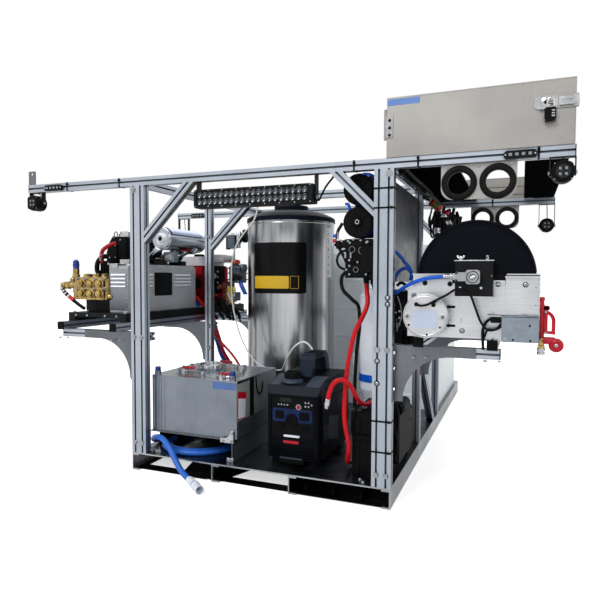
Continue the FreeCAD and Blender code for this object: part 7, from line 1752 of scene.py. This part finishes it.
def carrierDetails():
    x0, x1 = carrier["x"]
    y0, y1 = carrier["y"]
    z0, z1 = carrier["z"]
    bm = bmesh.new()  # rolled top edges, corner angles and floor flanges
    for x in (x0 + 1.5, x1 - 1.5):
        rod(bm, (x, y0 + 1, z1), (x, y1 - 1, z1), 3.2, 10)
        block(bm, (x - 13 if x > 900 else x, y0 + 2, z0 + 3), (x if x > 900 else x + 13, y1 - 4, z0 + 5))
    rod(bm, (x0 + 2, y1 - 1.5, 1471.5), (x1 - 2, y1 - 1.5, 1471.5), 3.2, 10)
    for k in range(8):
        y = y0 + 60 + 170 * k
        for x, out in ((x0, -1), (x1, 1)):
            lathe(bm, (x, y, z0 + 16), (out, 0, 0), [(0, 2.2), (3.4, 1.8), (5, 0)], 12)
    for y in (-379, -109):
        block(bm, (815, y, z0 - 0.4), (1112, y + 30, z0 + 2.2))
    make("carrier_edges_and_rivets", bm, "skid", "carrierSheet", 0)

    bm = bmesh.new()  # two dark strips under the floor: painted shade
    for left, right in ((612, 812), (1066, 1219)):
        block(bm, (left, -1176, z0 - 2.4), (right, 56, z0 + 0.4))
    make("carrier_floor_shade", bm, "skid", "flatShadeBlack", 0.3)

    face = carrier["face"]
    bm = bmesh.new()  # door: folded rim, a bare blue plate, hinge leaves and their screws
    for low, high in (((x0 + 1, face - 0.6, z1 - 3), (x1 - 1, face + 3.2, z1 + 1.4)),
                      ((x1 - 2, face - 0.6, z0 + 2), (x1 + 0.8, face + 3.2, z1)),
                      ((x0 + 1, face - 0.5, z0), (x1 - 1, face + 3.2, z0 + 2.2))):
        block(bm, low, high)
    make("door_rim", bm, "door", "carrierSheet", 0.4)
    bm = bmesh.new()
    prism(bm, rounded(583, 1541, 703, 1564, 1.5), "y", face - 0.6, 0.6)
    make("door_blue_plate", bm, "door", "skyEnamel")
    bm = bmesh.new()
    prism(bm, rounded(574, 1423, 604, 1495, 3), "y", face - 3.4, 1.6)
    for z in (1432, 1459, 1486):
        lathe(bm, (592, face - 3.4, z), (0, -1, 0), [(0, 2.2), (3.2, 1.8), (4.4, 0)], 14, 1)
        torus(bm, (592, face - 3.4, z), (0, 1, 0), 5.2, 0.8, 18, 1, 6)
    for k in range(5):
        torus(bm, (carrier["hinge"], face, 1425 + 16.5 * k), (0, 0, 1), 5, 0.9, 20, 0, 6)
    make("door_hinge_leaf", bm, "door", "zincSteel powderCoat", 0.2)
    left, low, high = carrier["hasp"]
    bm = bmesh.new()  # hasp: a pressed strap with a key plate, a swing bolt, and a screwed base
    prism(bm, rounded(left + 1, low + 1, left + 74, high - 1, 12), "y", -1227.4, 2)
    lathe(bm, (1129, -1227.2, 1494), (0, -1, 0), [(0, 4), (15, 4), (18, 2.4), (19, 0)], 36)
    lathe(bm, (1129, -1231.2, 1494), (0, -1, 0), [(0, 1.2), (6.4, 1.2), (7.4, 0)], 20, 1)
    rod(bm, (1108, -1230, 1474), (1150, -1230, 1474), 4.6, 14)
    for x in (1112, 1142):
        torus(bm, (x, -1230, 1474), (1, 0, 0), 5.6, 2.1, 20, 0, 8)
    block(bm, (1168, -1229.4, low + 8), (1226, -1225.4, high - 8))
    block(bm, (1214, -1226, low + 4), (1231, -1198, high - 4))
    rod(bm, (1172, -1230.6, 1482), (1222, -1230.6, 1482), 3, 12)
    for x in (1180, 1206):
        lathe(bm, (x, -1229.4, 1500), (0, -1, 0), [(0, 2), (3.6, 1.6), (4.6, 0)], 14)
    make("door_hasp", bm, "door", "polishedSteel mouldedNylon", 0.7)
    p = carrier["padlock"]
    bm = bmesh.new()  # padlock: laminated body in a black jacket, steel shackle
    prism(bm, rounded(p[0] - 1, p[4] - 1, p[1] + 1, p[5] - 4, 7), "y", p[2] - 1, p[3] - p[2] + 2)
    for k in range(3):
        block(bm, (p[1] - 13, p[2] - 2.6, p[4] + 10 + 9 * k), (p[1] - 3, p[2] - 0.8, p[4] + 15 + 9 * k), 1)
    for x in (1132, 1152):
        lathe(bm, (x, -1238.5, p[5] - 5), (0, 0, 1), [(3.4, 0), (5.4, 0), (5.4, 3.4), (3.4, 3.4)], 16, 0, True)
    shackle = [Vector((1142 + 10 * math.cos(a), -1238.5,
                       1494 + 10 * math.sin(a))) for a in (math.pi * k / 12 for k in range(13))]
    sweep(bm, [Vector((1152, -1238.5, 1472))] + shackle + [Vector((1132, -1238.5, 1472))], 3.3, 14, 1)
    make("door_padlock", bm, "door", "mouldedNylon polishedSteel", 0.8)


holderDetails()
carrierDetails()
print("pole holders and carrier are dressed")


# cable ties, washers and bolts of the frame

def tieRound(bm, axis, at, low, high):
    # a nylon tie round a bar along an axis; low and high are the two other coordinates' limits
    grow, wide = 1.3, 3.3
    if axis == "x":
        y0, z0, y1, z1 = low[0] - grow, low[1] - grow, high[0] + grow, high[1] + grow
        sides = (((at - wide, y0, z0), (at + wide, y0 + grow, z1)), ((at - wide, y1 - grow, z0), (at + wide, y1, z1)),
                 ((at - wide, y0, z0), (at + wide, y1, z0 + grow)), ((at - wide, y0, z1 - grow), (at + wide, y1, z1)))
        head = ((at - 4, y0 - 5, z1 - 14), (at + 4, y0, z1 - 6))
    else:
        x0, y0, x1, y1 = low[0] - grow, low[1] - grow, high[0] + grow, high[1] + grow
        sides = (((x0, y0, at - wide), (x0 + grow, y1, at + wide)), ((x1 - grow, y0, at - wide), (x1, y1, at + wide)),
                 ((x0, y0, at - wide), (x1, y0 + grow, at + wide)), ((x0, y1 - grow, at - wide), (x1, y1, at + wide)))
        head = ((x1 - 14, y0 - 5, at - 4), (x1 - 6, y0, at + 4))
    for a, b in sides:
        block(bm, a, b)
    block(bm, *head)


ties = dict(frontBeam=((-1219.2, 1311.55), (-1181.1, 1349.65)), frontAt=(-978, -669, 453, 699, 1110),
            rightPost=((533.4, -1219.2), (609.6, -1181.1)), postAt=(1238.5, 1164.5, 342.6, 221.6),
            rearBeam=((63.5, 1311.55), (101.6, 1349.65)), rearAt=(-700, 900))


def frameFittings():
    bm = bmesh.new()
    for x in ties["frontAt"]:
        tieRound(bm, "x", x, *ties["frontBeam"])
    for z in ties["postAt"]:
        tieRound(bm, "z", z, *ties["rightPost"])
    for x in ties["rearAt"]:
        tieRound(bm, "x", x, *ties["rearBeam"])
    make("cable_ties", bm, "skid", "mouldedNylon", 0)

    bm = bmesh.new()  # washers and socket-head bolts at the joints
    side = skid["side"]
    for x in (skid["left"] + side / 2, skid["left"] + 1.5 * side, skid["right"] - side / 2, skid["right"] - 1.5 * side):
        for z in (130.55, 620.5):
            lathe(bm, (x, skid["front"] - 0.02, z), (0, -1, 0), [(4, 0), (10.4, 0), (10.4, 1.8), (4, 1.8)], 24, 0, True)
    for x in (skid["left"] + side / 2, skid["right"] - side / 2):
        lathe(bm, (x, skid["front"] - 0.02, 1292.5), (0, -1, 0), [(4, 0), (13.4, 0), (13.4, 2.2), (4, 2.2)], 28, 0,
              True)
    front = skid["front"]
    spots = [(552.45, front, z) for z in (620.5, 577, 490, 130.55)] + [(590.55, front, z) for z in (822, 797, 620.5,
            130.55)]
    spots += [(-586, -577.85, z) for z in (1125, 621, 497)]
    for x, y, z in spots:
        lathe(bm, (x, y, z), (0, -1, 0), [(0, 4.6), (5, 4.2), (7, 2.4), (7.4, 1), (0, 1)], 20)
        # painted shade: a dark ring round each bolt head
        lathe(bm, (x, y, z), (0, -1, 0), [(7.4, 0.4), (11.4, 0.4), (10.8, 1.6), (7.4, 1.6)], 24, 1, True)
    for x in (-590, 590):
        for y in (-1140, -900, -640, -380, -120, 40):
            lathe(bm, (x, y, 1349.7), (0, 0, 1), [(0, 0), (7, 0), (7, 1.4), (5, 1.6), (5, 4.6), (0, 4.6)], 16)
    for x, out in ((609.6 + 4.8, 1), (-609.6 - 4.8, -1)):
        for y in (-1205.2, -563.85):
            for z in (609.55, 549.55, 469.55):
                lathe(bm, (x, y, z), (out, 0, 0), [(4, 0), (9.4, 0), (9.4, 1.6), (4, 1.6)], 20, 0, True)
    for y in (-1200.15, -520.7, 82.55):
        for x in (709.6, 971.6, -714.6, -1030.6):
            rod(bm, (x - 24, y, 601.4), (x - 24, y, 598), 7, 14)
            hexagon(bm, (x - 24, y, 599), (0, 0, -1), 11, 5)
            hexagon(bm, (x + 24, y, 601.4), (0, 0, -1), 11, 5)
    make("frame_washers", bm, "skid", "zincSteel blackenedSteel", 0)

    bm = bmesh.new()  # deck bolts, coach heads on square washers
    for x, y in ((-577, -1131), (-486, -1176), (-526, -1160), (475, -1169), (494, -1196), (-40, -760),
                 (330, -600), (-560, -640), (-560, -300), (560, -300), (560, -560)):
        lathe(bm, (x, y, 82.6), (0, 0, 1), [(0, 0), (11, 0), (11, 1.6), (6.4, 2), (6.4, 7), (5.4, 8.4), (0, 8.4)], 18)
    for x in (-600, -590):
        lathe(bm, (x, -1200, 82.6), (0, 0, 1), [(0, 0), (5, 0), (5, 3), (0, 3)], 12)
    make("deck_bolts", bm, "skid", "zincSteel", 0)


frameFittings()
print("ties and bolts are in place")


# deck gear behind the right post

deckGear = dict(filter=(430, -719.2), feedPump=(550, -799.2, 272.55), boosterX=(404.4, 512.4), boosterFront=-1167.1,
                boosterZ=(897.55, 1052.55))


def deckGearDetails():
    bm = bmesh.new()  # filter: clamp bands, drain cock, blue stripe and bare label
    x, y = deckGear["filter"]
    torus(bm, (x, y, 812), (0, 0, 1), 84, 3.4, 64, 0, 8)
    lathe(bm, (x, y, 408), (0, 0, 1), [(83.8, 0), (86.4, 1.4), (86.4, 35), (83.8, 36.4)], 64, 1)
    rod(bm, (340, -800, 345), (340, -800, 545), 5, 14)
    studs(bm, (x, y), 66, 12, 846, 858, 5, 8)
    hexagon(bm, (x, y, 880), (0, 0, 1), 34, 16)
    make("filter_bands", bm, "skid", "whitePvc blueNylonTube", 0)
    bm = bmesh.new()
    lathe(bm, (x, y, 470), (0, 0, 1), [(84.2, 0), (84.8, 0.4), (84.8, 219), (84.2, 220)], 64)
    make("filter_sleeve_label", bm, "skid", "whiteEnamel")

    bm = bmesh.new()  # battery box: ribbed lid, webbing strap with buckle, vents, rope handles
    for k in range(7):
        block(bm, (424, -1112 + 40 * k, 344.4), (576, -1100 + 40 * k, 348.6))
    for xx in (425, 575):
        for k in range(5):
            yy = -1096 + 54 * k
            block(bm, (xx - 2.6, yy, 112), (xx + 2.6, yy + 8, 300))
    for xx in (446, 546):
        block(bm, (xx - 12, -1119.6, 84), (xx + 12, -1116.6, 349))
        block(bm, (xx - 12, -1119.6, 346.6), (xx + 12, -830.6, 349.4))
        block(bm, (xx - 16, -1123, 296), (xx + 16, -1117, 326))
    for xx, slot in ((462, 1), (540, 2)):
        lathe(bm, (xx, -1060, 349), (0, 0, 1), [(0, 0), (11, 0), (11, 9), (7, 12), (7, 20), (0, 20)], 20, slot)
    sweep(bm, smooth([(540, -1060, 366), (548, -1090, 372), (556, -1120, 350), (560, -1130, 300), (566, -1124, 230)]),
          5, 10, 2)
    sweep(bm, smooth([(462, -1060, 366), (452, -1096, 376), (440, -1128, 352), (428, -1134, 300), (432, -1126, 240)]),
          5, 10, 0)
    block(bm, (436, -1130, 236), (560, -1123.4, 252), 0)
    make("battery_lid_and_straps", bm, "skid", "mouldedNylon zincSteel redAbs", 1.0)

    bm = bmesh.new()  # feed pump: ribbed motor, screwed head with hose barbs; booster pump with its head and switch
    px, py, pz = deckGear["feedPump"]
    for k in range(6):
        torus(bm, (px, py + 84 + 11 * k, pz), (0, 1, 0), 36, 2.2, 40, 0, 8)
    for k in range(6):
        angle = math.pi * k / 3 + 0.3
        hexagon(bm, (px + 42 * math.cos(angle), py, pz + 42 * math.sin(angle)), (0, -1, 0), 8, 4, 1)
    lathe(bm, (px, py, pz), (0, -1, 0), [(0, 0), (30, 0), (30, 6), (24, 9), (0, 9)], 32)
    block(bm, (px - 26, py + 96, pz + 34), (px + 26, py + 140, pz + 46))
    (bx0, bx1), by0, (bz0, bz1) = deckGear["boosterX"], deckGear["boosterFront"], deckGear["boosterZ"]
    prism(bm, rounded(bx0 + 6, bz0 + 64, bx1 - 6, bz1 - 6, 12), "y", by0 - 5, 5.2)
    prism(bm, rounded(bx0 + 12, bz0 + 6, bx1 - 12, bz0 + 56, 10), "y", by0 - 9, 9.2)
    for k in range(6):
        block(bm, (bx0 - 2.4, by0 + 12 + 15 * k, bz0 + 60), (bx0 + 0.2, by0 + 19 + 15 * k, bz1 - 10))
    for sx in (bx0 + 20, bx1 - 20):
        for sz in (bz0 + 14, bz0 + 48, bz1 - 16):
            lathe(bm, (sx, by0 - (9 if sz < bz0 + 60 else 5), sz), (0, -1, 0), [(0, 2.6), (4, 2.2), (5, 0)], 12, 1)
    lathe(bm, (480, -1119.2, 897.6), (0, 0, -1), [(0, 0), (13, 0), (13, 10), (11, 12), (11, 22), (0, 22)], 20)
    lathe(bm, (500, -1099.2, 897.6), (0, 0, -1), [(0, 0), (12, 0), (12, 8), (9, 10), (9, 24), (0, 24)], 20)
    make("pump_heads_and_motors", bm, "skid", "mouldedNylon zincSteel", 0.8)

    bm = bmesh.new()  # black looms and hoses between the small reels and the booster pump
    random.seed(19)
    for k in range(16):
        start = Vector((376 + 8 * k, -1150 + random.uniform(-10, 20), 1042 + random.uniform(-6, 6)))
        end = Vector((396 + 7.4 * k, -1156 + random.uniform(-8, 24), 1030 + random.uniform(-20, 20)))
        middle = (start + end) / 2 + Vector((random.uniform(-40, 24), random.uniform(-20, 6), random.uniform(-20, 16)))
        sweep(bm, smooth([start, start + Vector((random.uniform(-24, 8), -12, -14)), middle, end]),
              random.choice((4, 5.5, 7)), 10)
    for k in range(5):
        block(bm, (390 + 22 * k, -1166, 1030 + 4 * (k % 3)), (410 + 22 * k, -1130, 1048 + 4 * (k % 2)))
    sweep(bm, smooth([(410, -1150, 1010), (382, -1160, 1000), (368, -1160, 972), (376, -1158, 944), (400, -1150, 930)]),
          5, 12)
    sweep(bm, smooth([(380, -1130, 1120), (362, -1140, 1080), (368, -1150, 1030), (392, -1156, 990),
                      (404, -1150, 960)]), 6.5, 12)
    sweep(bm, smooth([(404, -1120, 930), (378, -1128, 900), (384, -1130, 850), (420, -1126, 812), (448, -1120, 780),
                      (452, -1116, 700),
                      (440, -1112, 600), (432, -1106, 480), (430, -1100, 360)]), 7.5, 12)
    sweep(bm, smooth([(500, -1099, 874), (512, -1098, 820), (516, -1096, 700), (512, -1094, 540), (516, -1090, 380),
                      (520, -1080, 349)]), 6, 12)
    make("post_looms", bm, "skid", "blackRubber")
    bm = bmesh.new()  # bright screws, unions and a grey cover on the booster pump's head
    for sx, sz in ((418, 1044), (440, 1050), (470, 1046), (498, 1040), (424, 968), (458, 960), (492, 968), (412, 930),
                   (500, 926)):
        hexagon(bm, (sx, -1172, sz), (0, -1, 0), 9, 5)
    for sx, sz, wide in ((436, 1010, 15), (478, 1006, 18), (452, 930, 13)):
        lathe(bm, (sx, -1172, sz), (0, -1, 0), [(0, 0), (wide, 0), (wide, 5), (wide - 4, 7), (0, 6)], 28, 1)
        torus(bm, (sx, -1178, sz), (0, 1, 0), wide - 3, 1.2, 28, 0, 6)
    for sx in (408, 430, 486):
        rod(bm, (sx, -1176, 976), (sx, -1176, 998), 4.4, 12)
    prism(bm, rounded(462, 968, 506, 990, 4), "y", -1175, 4, 1)
    make("booster_fittings", bm, "skid", "zincSteel mouldedNylon", 0)
    bm = bmesh.new()  # gauge cocks left of the looms with a blue and a red cap
    rod(bm, (352, -1150, 1050), (400, -1150, 1050), 4, 12, 2)
    rod(bm, (366, -1150, 1040), (366, -1150, 1084), 3, 10, 2)
    lathe(bm, (352, -1150, 1068), (-1, 0, 0), [(0, -10), (7, -10), (7, 4), (0, 6)], 20, 0)
    lathe(bm, (352, -1150, 1048), (-1, 0, 0), [(0, -10), (8, -10), (8, 4), (0, 6)], 20, 1)
    make("gauge_cocks", bm, "skid", "blueNylonTube redAbs zincSteel", 0)

    bm = bmesh.new()  # black pump and its works between the post and the reel
    prism(bm, rounded(614, 692, 654, 846, 6), "y", -1140, 120)
    for k in range(6):
        block(bm, (611, -1144, 704 + 22 * k), (657, -1138, 714 + 22 * k))
    lathe(bm, (634, -1140, 800), (0, -1, 0), [(0, 0), (17, 0), (17, 9), (11, 12), (0, 12)], 28)
    for z in (716, 742, 768):
        hexagon(bm, (622, -1144, z), (0, -1, 0), 9, 5, 1)
    block(bm, (612, -1156, 848), (644, -1110, 852), 1)
    block(bm, (612, -1156, 700), (616, -1130, 724), 1)
    sweep(bm, smooth([(616, -1160, 828), (630, -1164, 790), (634, -1164, 750), (622, -1162, 712), (614, -1156, 690)]),
          2, 8, 1)
    sweep(bm, smooth([(650, -1150, 820), (640, -1168, 780), (646, -1166, 730), (656, -1150, 700)]), 5, 10)
    sweep(bm, smooth([(612, -1150, 868), (630, -1154, 880), (650, -1146, 866)]), 6, 12)
    block(bm, (564, -1004, 617), (606, -944, 850))
    block(bm, (600, -1012, 600), (664, -950, 694))
    for k in range(7):
        block(bm, (566, -1008, 628 + 30 * k), (602, -1003, 640 + 30 * k))
    for k in range(3):
        rod(bm, (606 + 20 * k, -1020, 606), (606 + 20 * k, -1020, 690), 7, 12)
    make("post_pump_works", bm, "skid", "mouldedNylon zincSteel", 0.8)

    bm = bmesh.new()  # low works beside the battery: motor, bracket and loops
    prism(bm, rounded(580, 120, 606, 330, 8), "y", -1040, 220)
    for k in range(5):
        torus(bm, (593, -1036 + 10 * k, 350), (0, 1, 0), 24, 3, 32, 0, 8)
    rod(bm, (593, -1030, 350), (593, -860, 350), 24, 28)
    sweep(bm, smooth([(590, -1046, 380), (604, -1056, 330), (600, -1056, 250), (588, -1050, 190)]), 6, 12)
    sweep(bm, smooth([(598, -1040, 330), (590, -1062, 290), (602, -1060, 220), (592, -1050, 140)]), 4.5, 10)
    make("low_pump_works", bm, "skid", "blackRubber", 0.6)

    bm = bmesh.new()  # blue water lines and a red one that run past the post to the reel
    sweep(bm, smooth([(520, -1094, 1028), (556, -1110, 1030), (588, -1118, 1010), (612, -1104, 986), (630, -1098, 962),
                      (648, -1096, 940),
                      (656, -1090, 918)]), 7, 14)
    sweep(bm, smooth([(512, -1100, 850), (560, -1108, 858), (586, -1112, 876), (598, -1108, 906), (616, -1100, 930),
                      (640, -1098, 936),
                      (656, -1090, 916), (652, -1086, 890)]), 7, 14)
    sweep(bm, smooth([(450, -1150, 1302), (480, -1158, 1307), (506, -1150, 1302), (520, -1120, 1286)]), 6, 12)
    sweep(bm, smooth([(398, -1140, 1196), (412, -1150, 1190), (418, -1150, 1160), (412, -1144, 1134),
                      (394, -1134, 1120)]), 6, 12)
    make("blue_water_lines", bm, "skid", "blueNylonTube")
    bm = bmesh.new()
    sweep(bm, smooth([(514, -1096, 836), (560, -1104, 842), (590, -1110, 843), (622, -1110, 838), (660, -1104, 838)]),
          8.5, 14)
    lathe(bm, (648, -1106, 838), (1, 0, 0), [(8, 0), (10.6, 0.4), (10.6, 12), (8, 13)], 20, 1)
    make("red_reel_line", bm, "skid", "redRubberHose zincSteel")
    bm = bmesh.new()
    sweep(bm, smooth([(576, -1120, 846), (590, -1122, 823), (602, -1122, 787), (607, -1120, 740), (628, -1116, 685),
                      (640, -1110, 678)]), 2.8, 10)
    for t in (0.2, 0.45, 0.7):
        rod(bm, (592 + 24 * t, -1124, 815 - 120 * t), (592 + 24 * t, -1118, 815 - 120 * t), 4, 8, 1)
    make("thin_lead", bm, "skid", "blackRubber whiteJacket")

    bm = bmesh.new()  # strip lamp along the top of the side panel
    block(bm, (576, -1176, 1276), (588, -668, 1281), 1)
    block(bm, (577.4, -1172, 1272.4), (586.6, -672, 1276.2), 0)
    for k in range(24):
        block(bm, (580, -1166 + 20.4 * k, 1271.6), (584, -1160 + 20.4 * k, 1272.6), 0)
    make("side_strip_lamp", bm, "skid", "warmSilicone polishedSteel")
    bm = bmesh.new()  # a bottle in a clip behind the reel, red amber with a green band
    axis = Vector((0.82, 0.1, -0.57)).normalized()
    base = Vector((650, -604, 1262))
    lathe(bm, base, axis, [(0, 0), (14, 0), (18, 4), (18, 24), (17, 25), (0, 25)], 32, 0)
    lathe(bm, base + axis * 25, axis, [(17, 0), (18.4, 0.6), (18.4, 16), (17, 17)], 32, 1)
    lathe(bm, base + axis * 42, axis, [(17, 0), (18, 1), (18, 15), (14, 21), (0, 23)], 32, 0)
    torus(bm, base + axis * 10, axis, 19, 2, 32, 2, 8)
    rod(bm, base + axis * 10 + Vector((-8, 0, 12)), base + axis * 10 + Vector((-40, 0, 26)), 5, 10, 2)
    make("clipped_bottle", bm, "skid", "orangePet greenPet mouldedNylon")


def hangingLooms():
    bm = bmesh.new()  # cables and hoses slung under the carrier, behind the hood
    random.seed(31)
    for k in range(26):
        x, y = random.uniform(636, 742), random.uniform(-500, -200)
        high, low = random.uniform(1210, 1262), random.uniform(1090, 1180)
        path = smooth([(x, y, high), (x + random.uniform(-16, 16), y - 12, (high + low) / 2),
                       (x + random.uniform(-10, 24), y - 8, low), (x + random.uniform(4, 34), y + 12, low + 50)])
        sweep(bm, path, random.choice((4, 6, 8)), 10)
    for k in range(6):
        block(bm, (640 + 18 * k, -262 - 10 * (k % 3), 1096 + 14 * (k % 2)), (660 + 18 * k, -220, 1248 - 12 * (k % 3)))
    make("slung_looms", bm, "skid", "blackRubber", 0.6)
    bm = bmesh.new()  # bright fittings and a red cap among them
    for x, y, z, way in ((716, -510, 1168, (1, 0, 0.3)), (732, -512, 1146, (0.6, 0, -1)), (704, -512, 1196, (0, 0, 1)),
                         (672, -508, 1120, (0, 0, 1))):
        lathe(bm, (x, y, z), way, [(0, 0), (11, 0), (11, 12), (15, 14), (15, 24), (0, 26)], 20)
        hexagon(bm, (x, y, z), way, 25, 8)
    lathe(bm, (716, -520, 1212), (0.2, -0.4, 1), [(0, 0), (14, 0), (14, 12), (8, 16), (0, 16)], 20, 1)
    make("slung_fittings", bm, "skid", "polishedSteel redAbs", 0.4)
    bm = bmesh.new()  # clips and a cable along the top rail
    for k in range(12):
        y = -1150 + 48 * k
        block(bm, (612, y, 1296 + 6 * (k % 2)), (632, y + 20, 1330))
    sweep(bm, smooth([(622, -1170, 1300), (630, -1000, 1288), (624, -820, 1302), (632, -640, 1284), (626, -480, 1300)]),
          6, 12)
    sweep(bm, smooth([(640, -1170, 1316), (648, -960, 1308), (640, -760, 1318), (650, -560, 1306)]), 8, 12)
    make("rail_cable", bm, "skid", "blackRubber", 0.4)


def baseShadeDetails():
    bm = bmesh.new()  # dark bottom pans and webs between the base's channels: painted shade under the deck
    block(bm, (184, -1214, 3), (572, -900, 6))
    prism(bm, [(-352, -1212), (-216, -1212), (-216, -960), (-420, -960)], "z", 3, 3)
    prism(bm, [(-196, -1212), (-150, -1212), (-60, -960), (-196, -960)], "z", 3, 3)
    for x in (240, 360, 480):
        block(bm, (x, -1180, 6), (x + 6, -900, 30))
    make("base_shade_pans", bm, "skid", "mouldedNylon", 0)


waterTank = dict(x=(-585.6, 585.6), y=(145.6, 1205.2), top=1102.55, bands=(150, 330, 510, 690, 870, 1040),
                 hatch=(0, 675.4))


def waterTankDetails():
    (x0, x1), (y0, y1), z1 = waterTank["x"], waterTank["y"], waterTank["top"]
    bm = bmesh.new()  # moulded bands round the walls and radial ribs on top
    for z in waterTank["bands"]:
        shape = rounded(x0 - 3, y0 - 3, x1 + 3, y1 + 3, 63, 6)
        inner = rounded(x0 + 4, y0 + 4, x1 - 4, y1 - 4, 56, 6)
        rings = [[bm.verts.new((a, b, z + lift)) for a, b in outline]
                 for outline, lift in ((inner, 0), (shape, 7), (shape, 19), (inner, 26))]
        loft(bm, rings)
    cx, cy = waterTank["hatch"]
    for k in range(12):
        angle = 2 * math.pi * k / 12
        way = Vector((math.cos(angle), math.sin(angle), 0))
        rod(bm, Vector((cx, cy, z1)) + way * 225, Vector((cx, cy, z1)) + way * 430, 7, 10)
    make("tank_moulded_bands", bm, "skid", "milkyPolyethylene", 0, 30)
    bm = bmesh.new()  # screwed hatch lid with grips, a vent, and a drain fitting low on the front
    lathe(bm, (cx, cy, 1128.6), (0, 0, 1), [(0, 6), (60, 7), (150, 4), (186, 3), (196, 0)], 64)
    studs(bm, (cx, cy), 200, 24, 1106, 1126, 5, 8)
    for k in range(3):
        angle = 2 * math.pi * k / 3
        way = Vector((math.cos(angle), math.sin(angle), 0))
        rod(bm, Vector((cx, cy, 1136)) + way * 30, Vector((cx, cy, 1136)) + way * 150, 9, 12)
    lathe(bm, (300, cy, 1102.5), (0, 0, 1), [(0, 0), (26, 0), (26, 6), (16, 8), (16, 22), (24, 24), (24, 34), (0, 36)],
          28)
    make("tank_hatch_lid", bm, "skid", "mouldedNylon", 1.0)
    bm = bmesh.new()
    lathe(bm, (-250, y0 + 2, 130), (0, -1, 0), [(0, 0), (34, 0), (34, 8), (22, 10), (22, 34), (0, 34)], 28)
    hexagon(bm, (-250, y0 - 12, 130), (0, -1, 0), 54, 14)
    make("tank_drain", bm, "skid", "mouldedNylon", 0.8)


deckGearDetails()
hangingLooms()
baseShadeDetails()
waterTankDetails()
print("deck gear and water tank are dressed")
